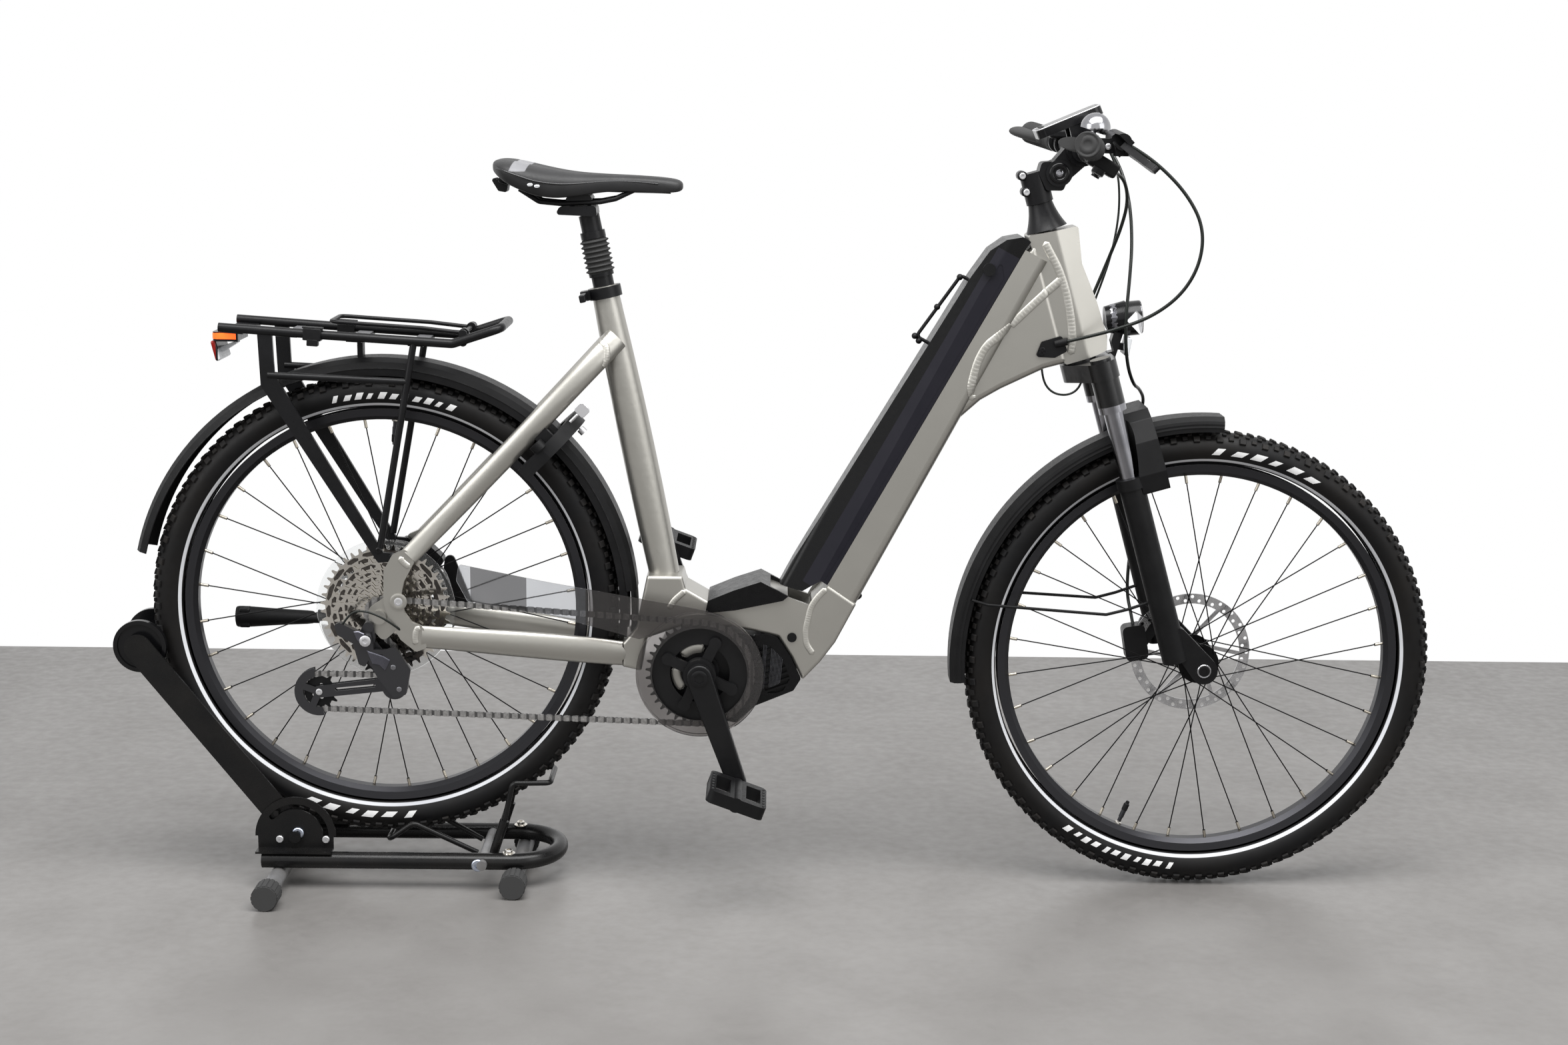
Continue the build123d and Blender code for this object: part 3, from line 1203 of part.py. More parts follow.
def crank_end(side):
    """Centre of a pedal spindle."""
    return along_wheel(CRANK_AXIS, CRANK_L, CRANK_ANGLE + (0 if side < 0 else 180), 0)


def crank_arm(side):
    """Crank arm with a waisted outline."""
    low, high = sorted((side * (CRANK_Y - CRANK_T / 2), side * (CRANK_Y + CRANK_T / 2)))
    end = crank_end(side)
    face = make_hull((Pos(CRANK_AXIS[0], CRANK_AXIS[2]) * Circle(19)).edges()
                     + (Pos(end[0], end[2]) * Circle(14)).edges())
    arm = slab(face, low, high)
    arm = fillet(arm.edges().group_by(Axis.Y)[0 if side < 0 else -1], 3)
    return arm - disc(end, PEDAL_R, low - 1, high + 1)


def spider():
    """Four-armed spider carrying the chainring on the right crank."""
    face = Circle(24)
    for k in range(4):
        face += Rot(0, 0, 45 + 90 * k + CRANK_ANGLE) * (Pos(34, 0) * Rectangle(40, 15)
                                                        + Pos(52, 0) * Circle(9))
    return slab(Pos(CRANK_AXIS[0], CRANK_AXIS[2]) * face, CHAIN_Y - COG_T / 2 - SPIDER_T, CHAIN_Y - COG_T / 2)


def crankset():
    """Spindle, both crank arms, spider and chainring."""
    seats = seat_angles()
    ring_face = toothed_wheel((CRANK_AXIS, RING_TEETH, seats[0]), CHAIN_Y, 44)
    spindle = disc(CRANK_AXIS, SPINDLE_R, -CRANK_Y, CRANK_Y)
    right = crank_arm(-1) + disc(CRANK_AXIS, 24, -CRANK_Y + CRANK_T / 2, CHAIN_Y + 3) + spider()
    left = crank_arm(1) + disc(CRANK_AXIS, 20, UNIT_HIGH_Y + 12, CRANK_Y - CRANK_T / 2)
    bolts = []
    for k in range(4):
        at = along_wheel(CRANK_AXIS, 52, 45 + 90 * k + CRANK_ANGLE)
        bolts.append(disc(at, 4.5, CHAIN_Y + COG_T / 2, CHAIN_Y + COG_T / 2 + 2))
    return group(spindle, right - spindle, left - spindle, ring_face, *bolts, pedal_spindle(-1),
                 pedal_spindle(1))


def pedal(side):
    """Platform pedal with its reflectors, turning on its spindle."""
    x, _, z = crank_end(side)
    inner, outer = CRANK_Y + CRANK_T / 2 + 3, CRANK_Y + CRANK_T / 2 + 3 + PEDAL_W
    deck = fillet(Rectangle(86, PEDAL_W).vertices(), 10)
    deck -= Pos(23, 0) * Rectangle(22, 62) + Pos(-23, 0) * Rectangle(22, 62)
    body = extrude(deck, amount=19, both=False)
    body = Pos(0, side * (inner + outer) / 2, -9.5) * body
    body += Pos(0, side * (inner + outer) / 2, 0) * Rot(90, 0, 0) * Cylinder(11, PEDAL_W)
    for end in (-43, 43):
        body -= Pos(end, side * (inner + outer) / 2, 0) * Box(5, 58, 12)
    body = Pos(x, 0, z) * Rot(0, 20, 0) * body
    low, high = sorted((side * (inner - 1), side * (outer - 6)))
    body -= disc((x, 0, z), PEDAL_R + RUN_FIT, low, high)
    tilted = Pos(x, side * (inner + outer) / 2, z) * Rot(0, 20, 0)
    lamps = [tilted * Pos(end * 41.5, 0, 0) * Box(2, 57, 11) for end in (-1, 1)]
    return group(body, *lamps)


def pedal_spindle(side):
    """Pedal spindle, screwed into the crank."""
    end = crank_end(side)
    low, high = sorted((side * (CRANK_Y - CRANK_T / 2), side * (CRANK_Y + CRANK_T / 2 + PEDAL_W - 6)))
    return disc(end, PEDAL_R, low, high)


def hull_of(*circles):
    """Outline drawn tight round circles given as ((x, z), radius)."""
    edges = []
    for (x, z), radius in circles:
        edges += (Pos(x, z) * Circle(radius)).edges()
    return make_hull(edges)


def drive_unit():
    """Mid-drive unit: a round housing with a nose towards the down tube and a boss on its left."""
    housing = slab(hull_of(((CRANK_AXIS[0], CRANK_AXIS[2]), DRIVE_UNIT_R - 8), ((-6, 344), 36)), UNIT_LOW_Y,
                   UNIT_HIGH_Y)
    housing -= slab(outline(cradle_profile(), 3.0), -60, 60)
    housing = housing.solids().sort_by(SortBy.VOLUME)[-1]
    boss = disc(CRANK_AXIS, 34, UNIT_HIGH_Y - 1, UNIT_HIGH_Y + 8) + disc(CRANK_AXIS, 28, UNIT_LOW_Y - 8,
                                                                         UNIT_LOW_Y + 1)
    return housing + boss - disc(CRANK_AXIS, SPINDLE_R + RUN_FIT, -70, 70)


def unit_covers():
    """Moulded side covers over the drive unit; the one on the chain side is slotted for air."""
    edge = [(-33, 388), (-13, 390), (2, 385), (22, 356), (38, 322), (27, 304), (-30, 280), (-58, 254),
            (-92, 262),
            (-60, 300), (-42, 340)]
    right = slab(outline(edge, 5), UNIT_LOW_Y - 8, UNIT_LOW_Y - CLEAR)
    window = [(-24, 372), (-8, 372), (14, 344), (22, 322), (10, 300), (-12, 300), (-30, 330)]
    grille = slab(outline(window, 4), UNIT_LOW_Y - 9, UNIT_LOW_Y - 3)
    slots = join([slab(Pos(-6, 300 + 9 * k) * Rot(0, 0, 20) * Rectangle(70, 5.5), UNIT_LOW_Y - 9,
                       UNIT_LOW_Y - 2)
                  for k in range(9)])
    right -= grille & slots
    left = slab(outline(edge, 5), UNIT_HIGH_Y + CLEAR, UNIT_HIGH_Y + 8)
    keep = disc(CRANK_AXIS, 36, -70, 70) + slab(outline(cradle_profile(), 3.0), -41 - CLEAR, 41 + CLEAR)
    return group(right - keep, left - keep)


def frame_covers():
    """All moulded covers of the frame."""
    return group(battery_cover(), cradle_cover(), unit_covers())


def port_plate(side):
    """Bolted plate on the head tube with the angled guide where a hose runs in."""
    low, high = sorted((side * 34, side * 37.5))
    plate = slab(outline([(370, 803), (378, 825), (407, 834), (416, 812), (398, 802)], 4), low, high)
    if side > 0:
        return plate
    end, before = Vector(*REAR_HOSE[-1]), Vector(*REAR_HOSE[-2])
    run = (before - end).normalized()
    guide = bar(tuple(end - run * 6), tuple(end + run * 12), 5.5)
    bore = bar(tuple(end - run * 6), tuple(end + run * 20), HOSE_R + CLEAR)
    return plate + guide - bore - head_tube() - junction()


def strap_bracket():
    """Looped wire on the cover's crest for a lock strap."""
    run = [(405, crest(405)), (405, crest(405) + 20), (513, crest(513) + 10), (513, crest(513))]
    return wire_rod([(tube_point(*p)[0], 0, tube_point(*p)[1]) for p in run], 2.6, 6) - battery_cover()


def battery_lock():
    """Key lock of the battery, set in the cover's flank."""
    x, z = tube_point(541, 70)
    return disc((x, 0, z), 9, -DOWN_W / 2 - 5, -DOWN_W / 2 + 12) - battery_cover() - battery_pack()


def motor_plug():
    """Round plug in the cradle's flank."""
    return disc((24, 0, 384), 7, -43.5, -41)


KICK_PIVOT_XZ = (-504.0, 371.0)
KICK_Y = 104.0


def kickstand_bracket():
    """Bracket under the left chain stay that carries the kickstand."""
    web = hull_of((KICK_PIVOT_XZ, 14), ((-494, 404), 10), ((-470, 396), 8), ((-497, 466), 8))
    plate = slab(web, KICK_Y - 14, KICK_Y - 9)
    spacers = [disc((x, 0, z), 7, REAR_DROP_Y, KICK_Y - 14) for x, z in ((-494, 392), (-472, 390))]
    pin = disc((KICK_PIVOT_XZ[0], 0, KICK_PIVOT_XZ[1]), 5, KICK_Y - 9, KICK_Y + 9)
    return join([plate, *spacers, pin]) - mirrored(chain_stay()) - mirrored(dropout())


def kickstand_leg():
    """Folded kickstand leg with its foot."""
    x, z = KICK_PIVOT_XZ
    hub = ring((x, 0, z), 11, 5 + RUN_FIT, KICK_Y - 8.6, KICK_Y + 6)
    leg = wire_rod([(x - 9, KICK_Y - 1, z), (x - 120, KICK_Y + 4, z - 2), (x - 305, KICK_Y + 10, z - 2)], 8,
                   60)
    foot = Pos(x - 312, KICK_Y + 10, z - 2) * Box(18, 20, 31)
    return hub + leg + fillet(foot.edges(), 4)


GUARD_R = 94.0
GUARD_BORE = 70.0
GUARD_Y = -66.0
GUARD_T = 2.0


def chain_guard():
    """Guard beside the chainring with a strip along the upper run of the chain."""
    hoop = Pos(CRANK_AXIS[0], CRANK_AXIS[2]) * (Circle(GUARD_R) - Circle(GUARD_BORE))
    strip = outline([(-92, 427), (-340, 470), (-462, 494), (-466, 470), (-450, 439), (-330, 420), (-200, 385),
                     (-160, 396), (-120, 408)], 4)
    plate = slab(hoop + strip - Pos(CRANK_AXIS[0], CRANK_AXIS[2]) * Circle(GUARD_BORE), GUARD_Y,
                 GUARD_Y + GUARD_T)
    rim_edge = ring(CRANK_AXIS, GUARD_R, GUARD_R - 3, GUARD_Y + GUARD_T, GUARD_Y + GUARD_T + 5)
    return plate + rim_edge


CAGE_GAP = 3.4            # chain centre to the inside of a cage plate
CAGE_T = 2.0
CAGE_PIN_R = 5.0
PULLEY_PIN_R = 3.0
HOOK_R = 36.0             # cage hook round the lower pulley, outside and inside
HOOK_BORE = 23.0
HOOK_BRACES = (160.0, 245.0)
MECH_BOLT = (-596.0, 0.0, 385.0)
HANGER_BOLT = (-592.0, 0.0, 403.0)
MECH_Y = (-90.0, -84.0)   # outer and inner face of the derailleur's outer link


def derailleur():
    """Derailleur body: hanger, bolts, cable arm, parallelogram links and lower knuckle, held by the frame."""
    hanger = slab(hull_of(((REAR_HUB[0], REAR_HUB[2]), 13), ((MECH_BOLT[0], MECH_BOLT[2]), 9)),
                  -REAR_DROP_Y, -REAR_DROP_Y + 5)
    hanger -= disc(REAR_HUB, AXLE_R, -90, -50)
    pins = disc(MECH_BOLT, 6.5, -94, -REAR_DROP_Y + 1) + disc(HANGER_BOLT, 8, -86, -REAR_DROP_Y)
    low_y, high_y = MECH_Y
    knuckle = slab(hull_of(((MECH_BOLT[0], MECH_BOLT[2]), 13), ((HANGER_BOLT[0], HANGER_BOLT[2]), 8)),
                   high_y, -75)
    arm = slab(outline([(-641, 407), (-633, 411), (-606, 397), (-588, 396), (-584, 372), (-597, 345),
                        (-606, 349),
                        (-614, 380), (-636, 392)], 3), low_y, -78)
    link = outline([(-600, 371), (-566, 371), (-553, 376), (-531, 342), (-538, 304), (-556, 298),
                    (-580, 330)], 5)
    hollow = outline([(-590, 364), (-570, 364), (-572, 352), (-582, 348)], 2)
    outer = slab(link, low_y, high_y) - slab(hollow, low_y - 1, low_y + 3)
    inner = slab(outline([(-606, 380), (-584, 380), (-545, 330), (-540, 312), (-570, 318), (-600, 352)], 5),
                 -76, -71)
    socket = disc(CAGE_PIVOT, 18, high_y, CHAIN_Y - CAGE_GAP - CAGE_T - CLEAR)
    body = knuckle + arm + outer + inner + pins + socket - dropout()
    body -= disc(CAGE_PIVOT, CAGE_PIN_R + RUN_FIT, -80, -50)
    body -= bar(SHIFT_TAIL[-1], SHIFT_TAIL[-2], LEAD_R + CLEAR)
    return group(body, hanger - body)


def cage_arms():
    """Face of a cage plate: the arm between its pivots and the hook round the lower pulley."""
    x, z = TENSION_PULLEY[0], TENSION_PULLEY[2]
    end = (CAGE_PIVOT[0], CAGE_PIVOT[2])
    hook = Pos(x, z) * (Circle(HOOK_R) - Circle(HOOK_BORE))
    hook -= outline([(x - 4, z), (x - 8, z + 60), (x + 60, z + 60), (x + 60, z - 60), (x + 16, z - 60)])
    arm = hull_of(((x, z), 9), (end, 10)) - hull_of(((x + 26, z + 4), 2.4), ((end[0] - 34, end[1] - 4), 2.4))
    return hook + arm


def cage():
    """Pulley cage: two plates, their pins and the pivot pin of the lower knuckle."""
    x, z = TENSION_PULLEY[0], TENSION_PULLEY[2]
    reach = (HOOK_R + HOOK_BORE) / 2
    braces = [hull_of(((x, z), 5), ((x + reach * cos(radians(a)), z + reach * sin(radians(a))), 5))
              for a in HOOK_BRACES]
    head = hull_of(((CAGE_PIVOT[0], CAGE_PIVOT[2]), 15), ((GUIDE_PULLEY[0], GUIDE_PULLEY[2]), 12))
    face = cage_arms() + braces[0] + braces[1] + head
    low, high = CHAIN_Y - CAGE_GAP - CAGE_T, CHAIN_Y + CAGE_GAP
    plates = [slab(face, y, y + CAGE_T) for y in (low, high)]
    pins = [disc(c, PULLEY_PIN_R, low, high + CAGE_T) for c in (GUIDE_PULLEY, TENSION_PULLEY)]
    pivot = disc(CAGE_PIVOT, CAGE_PIN_R, -79, low + 1)
    return join([*plates, *pins, pivot])


def guide_pulley():
    """Upper pulley of the cage."""
    return pulley(2, GUIDE_PULLEY)


def tension_pulley():
    """Lower pulley of the cage."""
    return pulley(3, TENSION_PULLEY)


def pulley(index, centre):
    """Toothed pulley with a thicker hub."""
    seats = seat_angles()
    wheel = toothed_wheel((centre, PULLEY_TEETH, seats[index]), CHAIN_Y, PULLEY_PIN_R + RUN_FIT, 5)
    return wheel + ring(centre, 7, PULLEY_PIN_R + RUN_FIT, CHAIN_Y - 2.6, CHAIN_Y + 2.6)


# ---- mudguards -----------------------------------------------------------------------------------
REAR_FENDER_SPAN = (5.0, 167.0)
FRONT_FENDER_SPAN = (86.5, 185.5)
FENDER_DEPTH = 15.0


def mudguard(centre, radius, span):
    """Mudguard: a shallow channel swept about the hub between two angles."""
    half, low = FENDER_W / 2, radius - FENDER_DEPTH
    points = [(low, -half), (radius - 6, -half + 3), (radius, -half + 12), (radius, half - 12),
              (radius - 6, half - 3),
              (low, half), (low, half - FENDER_T), (radius - 6, half - 3 - FENDER_T - 0.6),
              (radius - FENDER_T, half - 12), (radius - FENDER_T, 12 - half),
              (radius - 6, 3 + FENDER_T + 0.6 - half),
              (low, FENDER_T - half)]
    body = revolve(outline(points), axis=Axis.Y, revolution_arc=span[1] - span[0])
    return Pos(*centre) * Rot(0, -span[1], 0) * body


def rear_mudguard():
    """Rear mudguard with the tab that hangs it from the rack's middle cross plate."""
    guard = mudguard(REAR_HUB, FENDER_R, REAR_FENDER_SPAN)
    x, z = CROSS_PLATES[1]
    tab = Pos(x, 0, z - 20) * Box(8, 18, 32) - rack_cross(x, z)
    return guard + tab.solids().sort_by(Axis.Z)[0]


def front_stay(side):
    """Wire stay from the front mudguard's edge to the lower leg."""
    points = [(290, side * (FENDER_W / 2 + 1), 441), (312, side * 50, 438), (484, side * 56, 427),
              (514, side * 57, 435), (556, side * 58, 450)]
    return wire_rod(points, 2.2, 8) - lower_leg(side * LEG_Y)


def front_mudguard():
    """Front mudguard with its stays and the block under the arch."""
    guard = mudguard(FRONT_HUB, FRONT_FENDER_R, FRONT_FENDER_SPAN)
    block = bar(along_wheel(FRONT_HUB, FRONT_FENDER_R - 1, 106), along_wheel(FRONT_HUB, 396, 106), 7) - arch()
    return group(guard + block.solids().sort_by(Axis.Z)[0], front_stay(-1), front_stay(1))


# ---- brake calipers ------------------------------------------------------------------------------
def caliper_body(centre, turn, y):
    """Caliper round the edge of a brake disc, with its slot."""
    block = Pos(centre[0], y + 4, centre[2]) * Rot(0, -turn, 0) * Box(34, 26, 54)
    block = fillet(block.edges().filter_by(Axis.Y), 8)
    piston = Pos(centre[0], y + 17, centre[2]) * Rot(90, 0, 0) * Cylinder(12, 8)
    return block + piston


def rotor_slot(hub, y):
    """Room for a brake disc in its caliper."""
    half = ROTOR_T / 2 + 0.6
    return disc(hub, ROTOR_R + 2, y - half, y + half)


def front_caliper():
    """Front caliper on the back of the left lower leg."""
    centre = (544.0, 0.0, 362.0)
    block = caliper_body(centre, 10, ROTOR_Y)
    arm = slab(hull_of(((548, 352), 11), ((578, 392), 9), ((560, 392), 9)), ROTOR_Y + 6, ROTOR_Y + 14)
    hole = bar(FRONT_HOSE[-1], FRONT_HOSE[-2], HOSE_R + CLEAR)
    return (block + arm) - rotor_slot(FRONT_HUB, ROTOR_Y) - lower_leg(LEG_Y) - fork_end(1) - hole


def rear_caliper():
    """Rear caliper between the left stays."""
    centre = (-527.0, 0.0, 470.0)
    block = caliper_body(centre, -45, REAR_ROTOR_Y)
    arm = slab(hull_of(((-530, 476), 12), ((-542, 502), 8)), REAR_ROTOR_Y + 8, REAR_DROP_Y)
    return (block + arm) - rotor_slot(REAR_HUB, REAR_ROTOR_Y) - mirrored(seat_stay()) - mirrored(dropout())


# ---- ring lock -----------------------------------------------------------------------------------
LOCK_ANGLE = 45.0
LOCK_RADIUS = 334.0       # ring centre, from the rear hub
LOCK_R = 62.0             # middle of the shackle
LOCK_T = 20.0
SHACKLE_R = 4.2
SHACKLE_SPAN = (97.0, 212.0)
LOCK_TURN = 118.0


def lock_plane():
    """Plane of the ring lock: local x to the left, local y away from the hub."""
    a = radians(LOCK_ANGLE)
    return Plane(origin=along_wheel(REAR_HUB, LOCK_RADIUS, LOCK_ANGLE), x_dir=(0, 1, 0),
                 z_dir=(sin(a), 0, -cos(a)))


def arc_rod(radius, start, end, rod):
    """Round rod bent to part of a circle in the local plane."""
    body = revolve(Plane.XZ * (Pos(radius, 0) * Circle(rod)), axis=Axis.Z, revolution_arc=end - start)
    return Rot(0, 0, start) * body


def ring_lock():
    """Horseshoe lock case with the shackle's channel, a key barrel and tabs to the seat stays."""
    case = Circle(LOCK_R + 10) - Circle(LOCK_R - 11) - Pos(0, -84) * Rectangle(200, 100)
    case += Pos(-LOCK_R, -14) * Rectangle(23, 46)
    body = extrude(case, amount=LOCK_T / 2, both=True)
    body += Pos(-LOCK_R - 4, 8, -14) * Cylinder(11, 12)
    body -= arc_rod(LOCK_R, SHACKLE_SPAN[0] - 3, SHACKLE_SPAN[0] + LOCK_TURN + 132, SHACKLE_R + CLEAR)
    slot = extrude((Circle(LOCK_R + 2.6) - Circle(LOCK_R - 2.6)), amount=LOCK_T)
    sector = make_face(Polyline((0, 0), *[(120 * cos(radians(a)), 120 * sin(radians(a)))
                                          for a in (96, 126, 156, 186, 216, 230)], close=True))
    body -= slot & extrude(sector, amount=LOCK_T)
    for side in (-1, 1):
        body += Pos(side * 53, 22, -LOCK_T / 2 - 14) * Box(10, 22, 30)
    placed = lock_plane() * body
    return placed - seat_stay() - mirrored(seat_stay())


def lock_shackle():
    """Shackle of the ring lock with its thumb knob."""
    rod = arc_rod(LOCK_R, *SHACKLE_SPAN, SHACKLE_R)
    foot = SHACKLE_SPAN[0] + 4
    x, y = LOCK_R * cos(radians(foot)), LOCK_R * sin(radians(foot))
    knob = Pos(x, y, 8) * Cylinder(2.0, 12) + Pos(x, y, 17) * Cylinder(6, 8)
    return lock_plane() * (rod + knob)


# ---- luggage rack --------------------------------------------------------------------------------
RAIL_POINTS = [(-800, 835), (-644, 825), (-467, 815), (-398, 838)]
RACK_LEG_T = 6.0
REAR_PLATE = [(-796, 827), (-766, 825), (-766, 829), (-796, 831)]
BAIL_HALF = 40.0
BAIL_PIVOT = (-452.0, 0.0, 829.0)


def rack():
    """Luggage rack: bent rail, cross plates, round and flat legs."""
    side = [(x, -RACK_HALF, z) for x, z in RAIL_POINTS]
    front = [(x, RACK_HALF, z) for x, z in reversed(RAIL_POINTS)]
    rail = wire_rod(side + front, RACK_TUBE_R, 14)
    plates = [rack_cross(x, z) for x, z in CROSS_PLATES]
    plates += [slab(outline(REAR_PLATE), -RACK_HALF, RACK_HALF)]
    parts = [rail, *plates, rack_side(-1), rack_side(1), bail_ears()]
    return join(parts) - dropout() - mirrored(dropout())


def rack_cross(x, z):
    """Flat plate across the rack, just under the middle line of its rails."""
    face = outline([(x - 11, z - 7), (x + 11, z - 8), (x + 11, z - 5), (x - 11, z - 4)])
    return slab(face, -RACK_HALF, RACK_HALF)


def rack_side(side):
    """Flat rear leg, round front leg and the tube between them on one side."""
    low, high = sorted((side * (RACK_HALF - RACK_LEG_T / 2), side * (RACK_HALF + RACK_LEG_T / 2)))
    flat = slab(outline([(-745, 830), (-724, 830), (-722, 768), (-572, 509), (-556, 508), (-556, 496),
                         (-580, 494),
                         (-742, 752)], 3), low, high)
    y = side * RACK_HALF
    leg = wire_rod([(-522, y, 817), (-528, y, 784), (-577, y, 515)], 5, 30)
    tube = bar((-732, y, 767), (-531, y, 759), 5)
    foot_low, foot_high = sorted((side * RACK_HALF, side * REAR_DROP_Y))
    foot = disc((-558, 0, 502), 6, foot_low, foot_high)
    return join([flat, leg, tube, foot])


def bail_ears():
    """Ears and pin on which the spring bail turns."""
    x, _, z = BAIL_PIVOT
    ears = [slab(hull_of(((x, z), 6), ((x, z - 12), 6)), y - 2, y + 2) for y in (-RACK_HALF + 2,
                                                                                 RACK_HALF - 2)]
    return join([*ears, disc(BAIL_PIVOT, 3, -RACK_HALF + 1, RACK_HALF - 1)])


def rack_bail():
    """Sprung wire bail that lies on the rack."""
    x, _, z = BAIL_PIVOT
    loop = wire_rod([(x - 5, -BAIL_HALF, z), (x - 60, -BAIL_HALF, z + 6), (-644, -BAIL_HALF, z + 14),
                     (-644, BAIL_HALF, z + 14), (x - 60, BAIL_HALF, z + 6), (x - 5, BAIL_HALF, z)], 3, 12)
    hubs = [ring(BAIL_PIVOT, 7, 3 + RUN_FIT, y - 6, y + 6) for y in (-BAIL_HALF, BAIL_HALF)]
    return join([loop - disc(BAIL_PIVOT, 6, -60, 60), *hubs])


def tail_light():
    """Tail light with its reflector, bolted under the rack's rear plate."""
    lamp = Pos(-797, 0, 819) * Box(36, 74, 14)
    lamp = fillet(lamp.edges().filter_by(Axis.Z), 6)
    bracket = slab(outline([(-792, 808), (-784, 808), (-806, 794), (-812, 800)], 1), -12, 12)
    plate = Pos(-812, 0, 798) * Rot(0, -14, 0) * Box(8, 66, 30)
    lamp -= slab(outline(REAR_PLATE), -99, 99)
    return group(lamp + bracket + fillet(plate.edges().filter_by(Axis.X, reverse=True), 3))


# ---- seat ----------------------------------------------------------------------------------------
POST_INNER_R = 12.5
SEAT_TRAVEL = 30.0
COLLAR_DOWN = -70.0       # lower face of the inner post's collar, along the seat tube
OUTER_TOP_DOWN = -20.0
RAIL_HALF = 22.0


def along_seat(down_a, down_b, radius):
    """Cylinder along the seat tube between two depths."""
    return bar(seat_point(down_a), seat_point(down_b), radius)


def seatpost_outer():
    """Outer tube of the suspension seatpost with the seat clamp round the frame."""
    tube = along_seat(OUTER_TOP_DOWN, 130, POST_R) - along_seat(OUTER_TOP_DOWN - 1, 131,
                                                                POST_INNER_R + RUN_FIT)
    flange = along_seat(OUTER_TOP_DOWN, OUTER_TOP_DOWN + 5, 18) - along_seat(OUTER_TOP_DOWN - 1, 0,
                                                                             POST_INNER_R + RUN_FIT)
    collar = along_seat(1, 17, SEAT_TUBE_TOP_R + 5)
    lug = Pos(*seat_point(9, 28)) * Rot(0, -SEAT_LEAN, 0) * Box(14, 22, 14)
    lever = Pos(*seat_point(9, 30)) * Rot(0, -SEAT_LEAN, 0) * Pos(0, -26, 0) * Box(9, 46, 11)
    lug += fillet(lever.edges(), 2)
    return group(tube + flange, collar + lug - seat_tube_body())


def post_inner():
    """Inner post with its collar and the saddle clamp."""
    shaft = along_seat(COLLAR_DOWN - 40, 95, POST_INNER_R)
    collar = along_seat(COLLAR_DOWN - 10, COLLAR_DOWN, 18) + along_seat(COLLAR_DOWN - 34, COLLAR_DOWN, 15)
    head = slab(outline([(-322, 998), (-262, 996), (-264, 1011), (-316, 1009)], 4), -RAIL_HALF - 5,
                RAIL_HALF + 5)
    top = slab(outline([(-308, 1017.5), (-268, 1019), (-272, 1026), (-304, 1025)], 2), -RAIL_HALF - 5,
               RAIL_HALF + 5)
    bolts = [bar((x, 0, 1000), (x + 1, 0, 1022), 3) for x in (-300, -276)]
    return join([shaft, collar, head, *bolts, top]) - join([saddle_rail(-1), saddle_rail(1)])


def bellows():
    """Rubber bellows between the outer tube and the collar."""
    low, high = OUTER_TOP_DOWN - CLEAR, COLLAR_DOWN + CLEAR
    folds = 6
    step = (low - high) / folds
    outer, inner = [], []
    for k in range(folds):
        z = k * step
        outer += [(17.5, z), (21.5, z + step / 2)]
        inner += [(15.5, z), (19.5, z + step / 2)]
    outer.append((17.5, low - high))
    inner.append((15.5, low - high))
    face = make_face(Polyline(*outer, *reversed(inner), close=True))
    body = revolve(Plane.XZ * face, axis=Axis.Z)
    axis = Vector(*seat_point(high)) - Vector(*seat_point(low))
    return Plane(origin=seat_point(low), x_dir=(0, 1, 0), z_dir=axis) * body


def saddle_rail(side):
    """One saddle rail."""
    y = side * RAIL_HALF
    return wire_rod([(-372, side * 30, 1034), (-345, y, 1016), (-315, y, 1013.5), (-258, y, 1016.5),
                     (-236, y * 0.9, 1021), (-200, side * 12, 1038)], 3.5, 12)


def saddle_loft(stations):
    """Loft across the saddle: each station is (x, width, top, bottom)."""
    faces = []
    for x, width, top, low in stations:
        plane = Plane(origin=(x, 0, (top + low) / 2), x_dir=(0, 1, 0), z_dir=(-1, 0, 0))
        faces.append(plane * Ellipse(width / 2, (top - low) / 2))
    return loft(faces)


def saddle_cover():
    """Padded top of the saddle."""
    body = saddle_loft([(-140, 12, 1046, 1036), (-150, 30, 1051, 1030), (-205, 48, 1056, 1028),
                        (-278, 88, 1058, 1026),
                        (-330, 134, 1066, 1020), (-376, SADDLE_W, 1078, 1026), (-402, 128, 1078, 1042),
                        (-411, 60, 1070, 1054)])
    return body - saddle_under()


def saddle_under():
    """Space under the padding, over the shell."""
    return saddle_loft([(-150, 10, 1034, 1020), (-205, 30, 1036, 1000), (-278, 62, 1038, 1000),
                        (-330, 100, 1042, 990),
                        (-380, 120, 1048, 1000), (-405, 70, 1050, 1030)])


def saddle_base():
    """Moulded shell with the rails set into it and the rear bracket."""
    shell = saddle_loft([(-158, 8, 1032, 1028), (-205, 28, 1035.6, 1029), (-278, 60, 1037.6, 1031),
                         (-330, 98, 1041.6, 1034), (-380, 118, 1047.6, 1038), (-402, 66, 1049.6, 1042)])
    shell &= saddle_under()
    tail = slab(outline([(-415, 1048), (-400, 1048), (-390, 1040), (-392, 1028), (-404, 1030)], 3), -14, 14)
    tail -= saddle_cover()
    return join([shell, saddle_rail(-1), saddle_rail(1), tail]) - saddle_cover()


# ---- cords ---------------------------------------------------------------------------------------
def cord_radii(points):
    """Bend radius at every inner point, as large as its shorter neighbouring run allows."""
    radii = []
    for a, b, c in zip(points, points[1:], points[2:]):
        run_in, run_out = Vector(*b) - Vector(*a), Vector(*c) - Vector(*b)
        turn = radians(run_in.get_angle(run_out))
        radii.append(0.45 * min(run_in.length, run_out.length) / sin(turn / 2) * cos(turn / 2))
    return radii


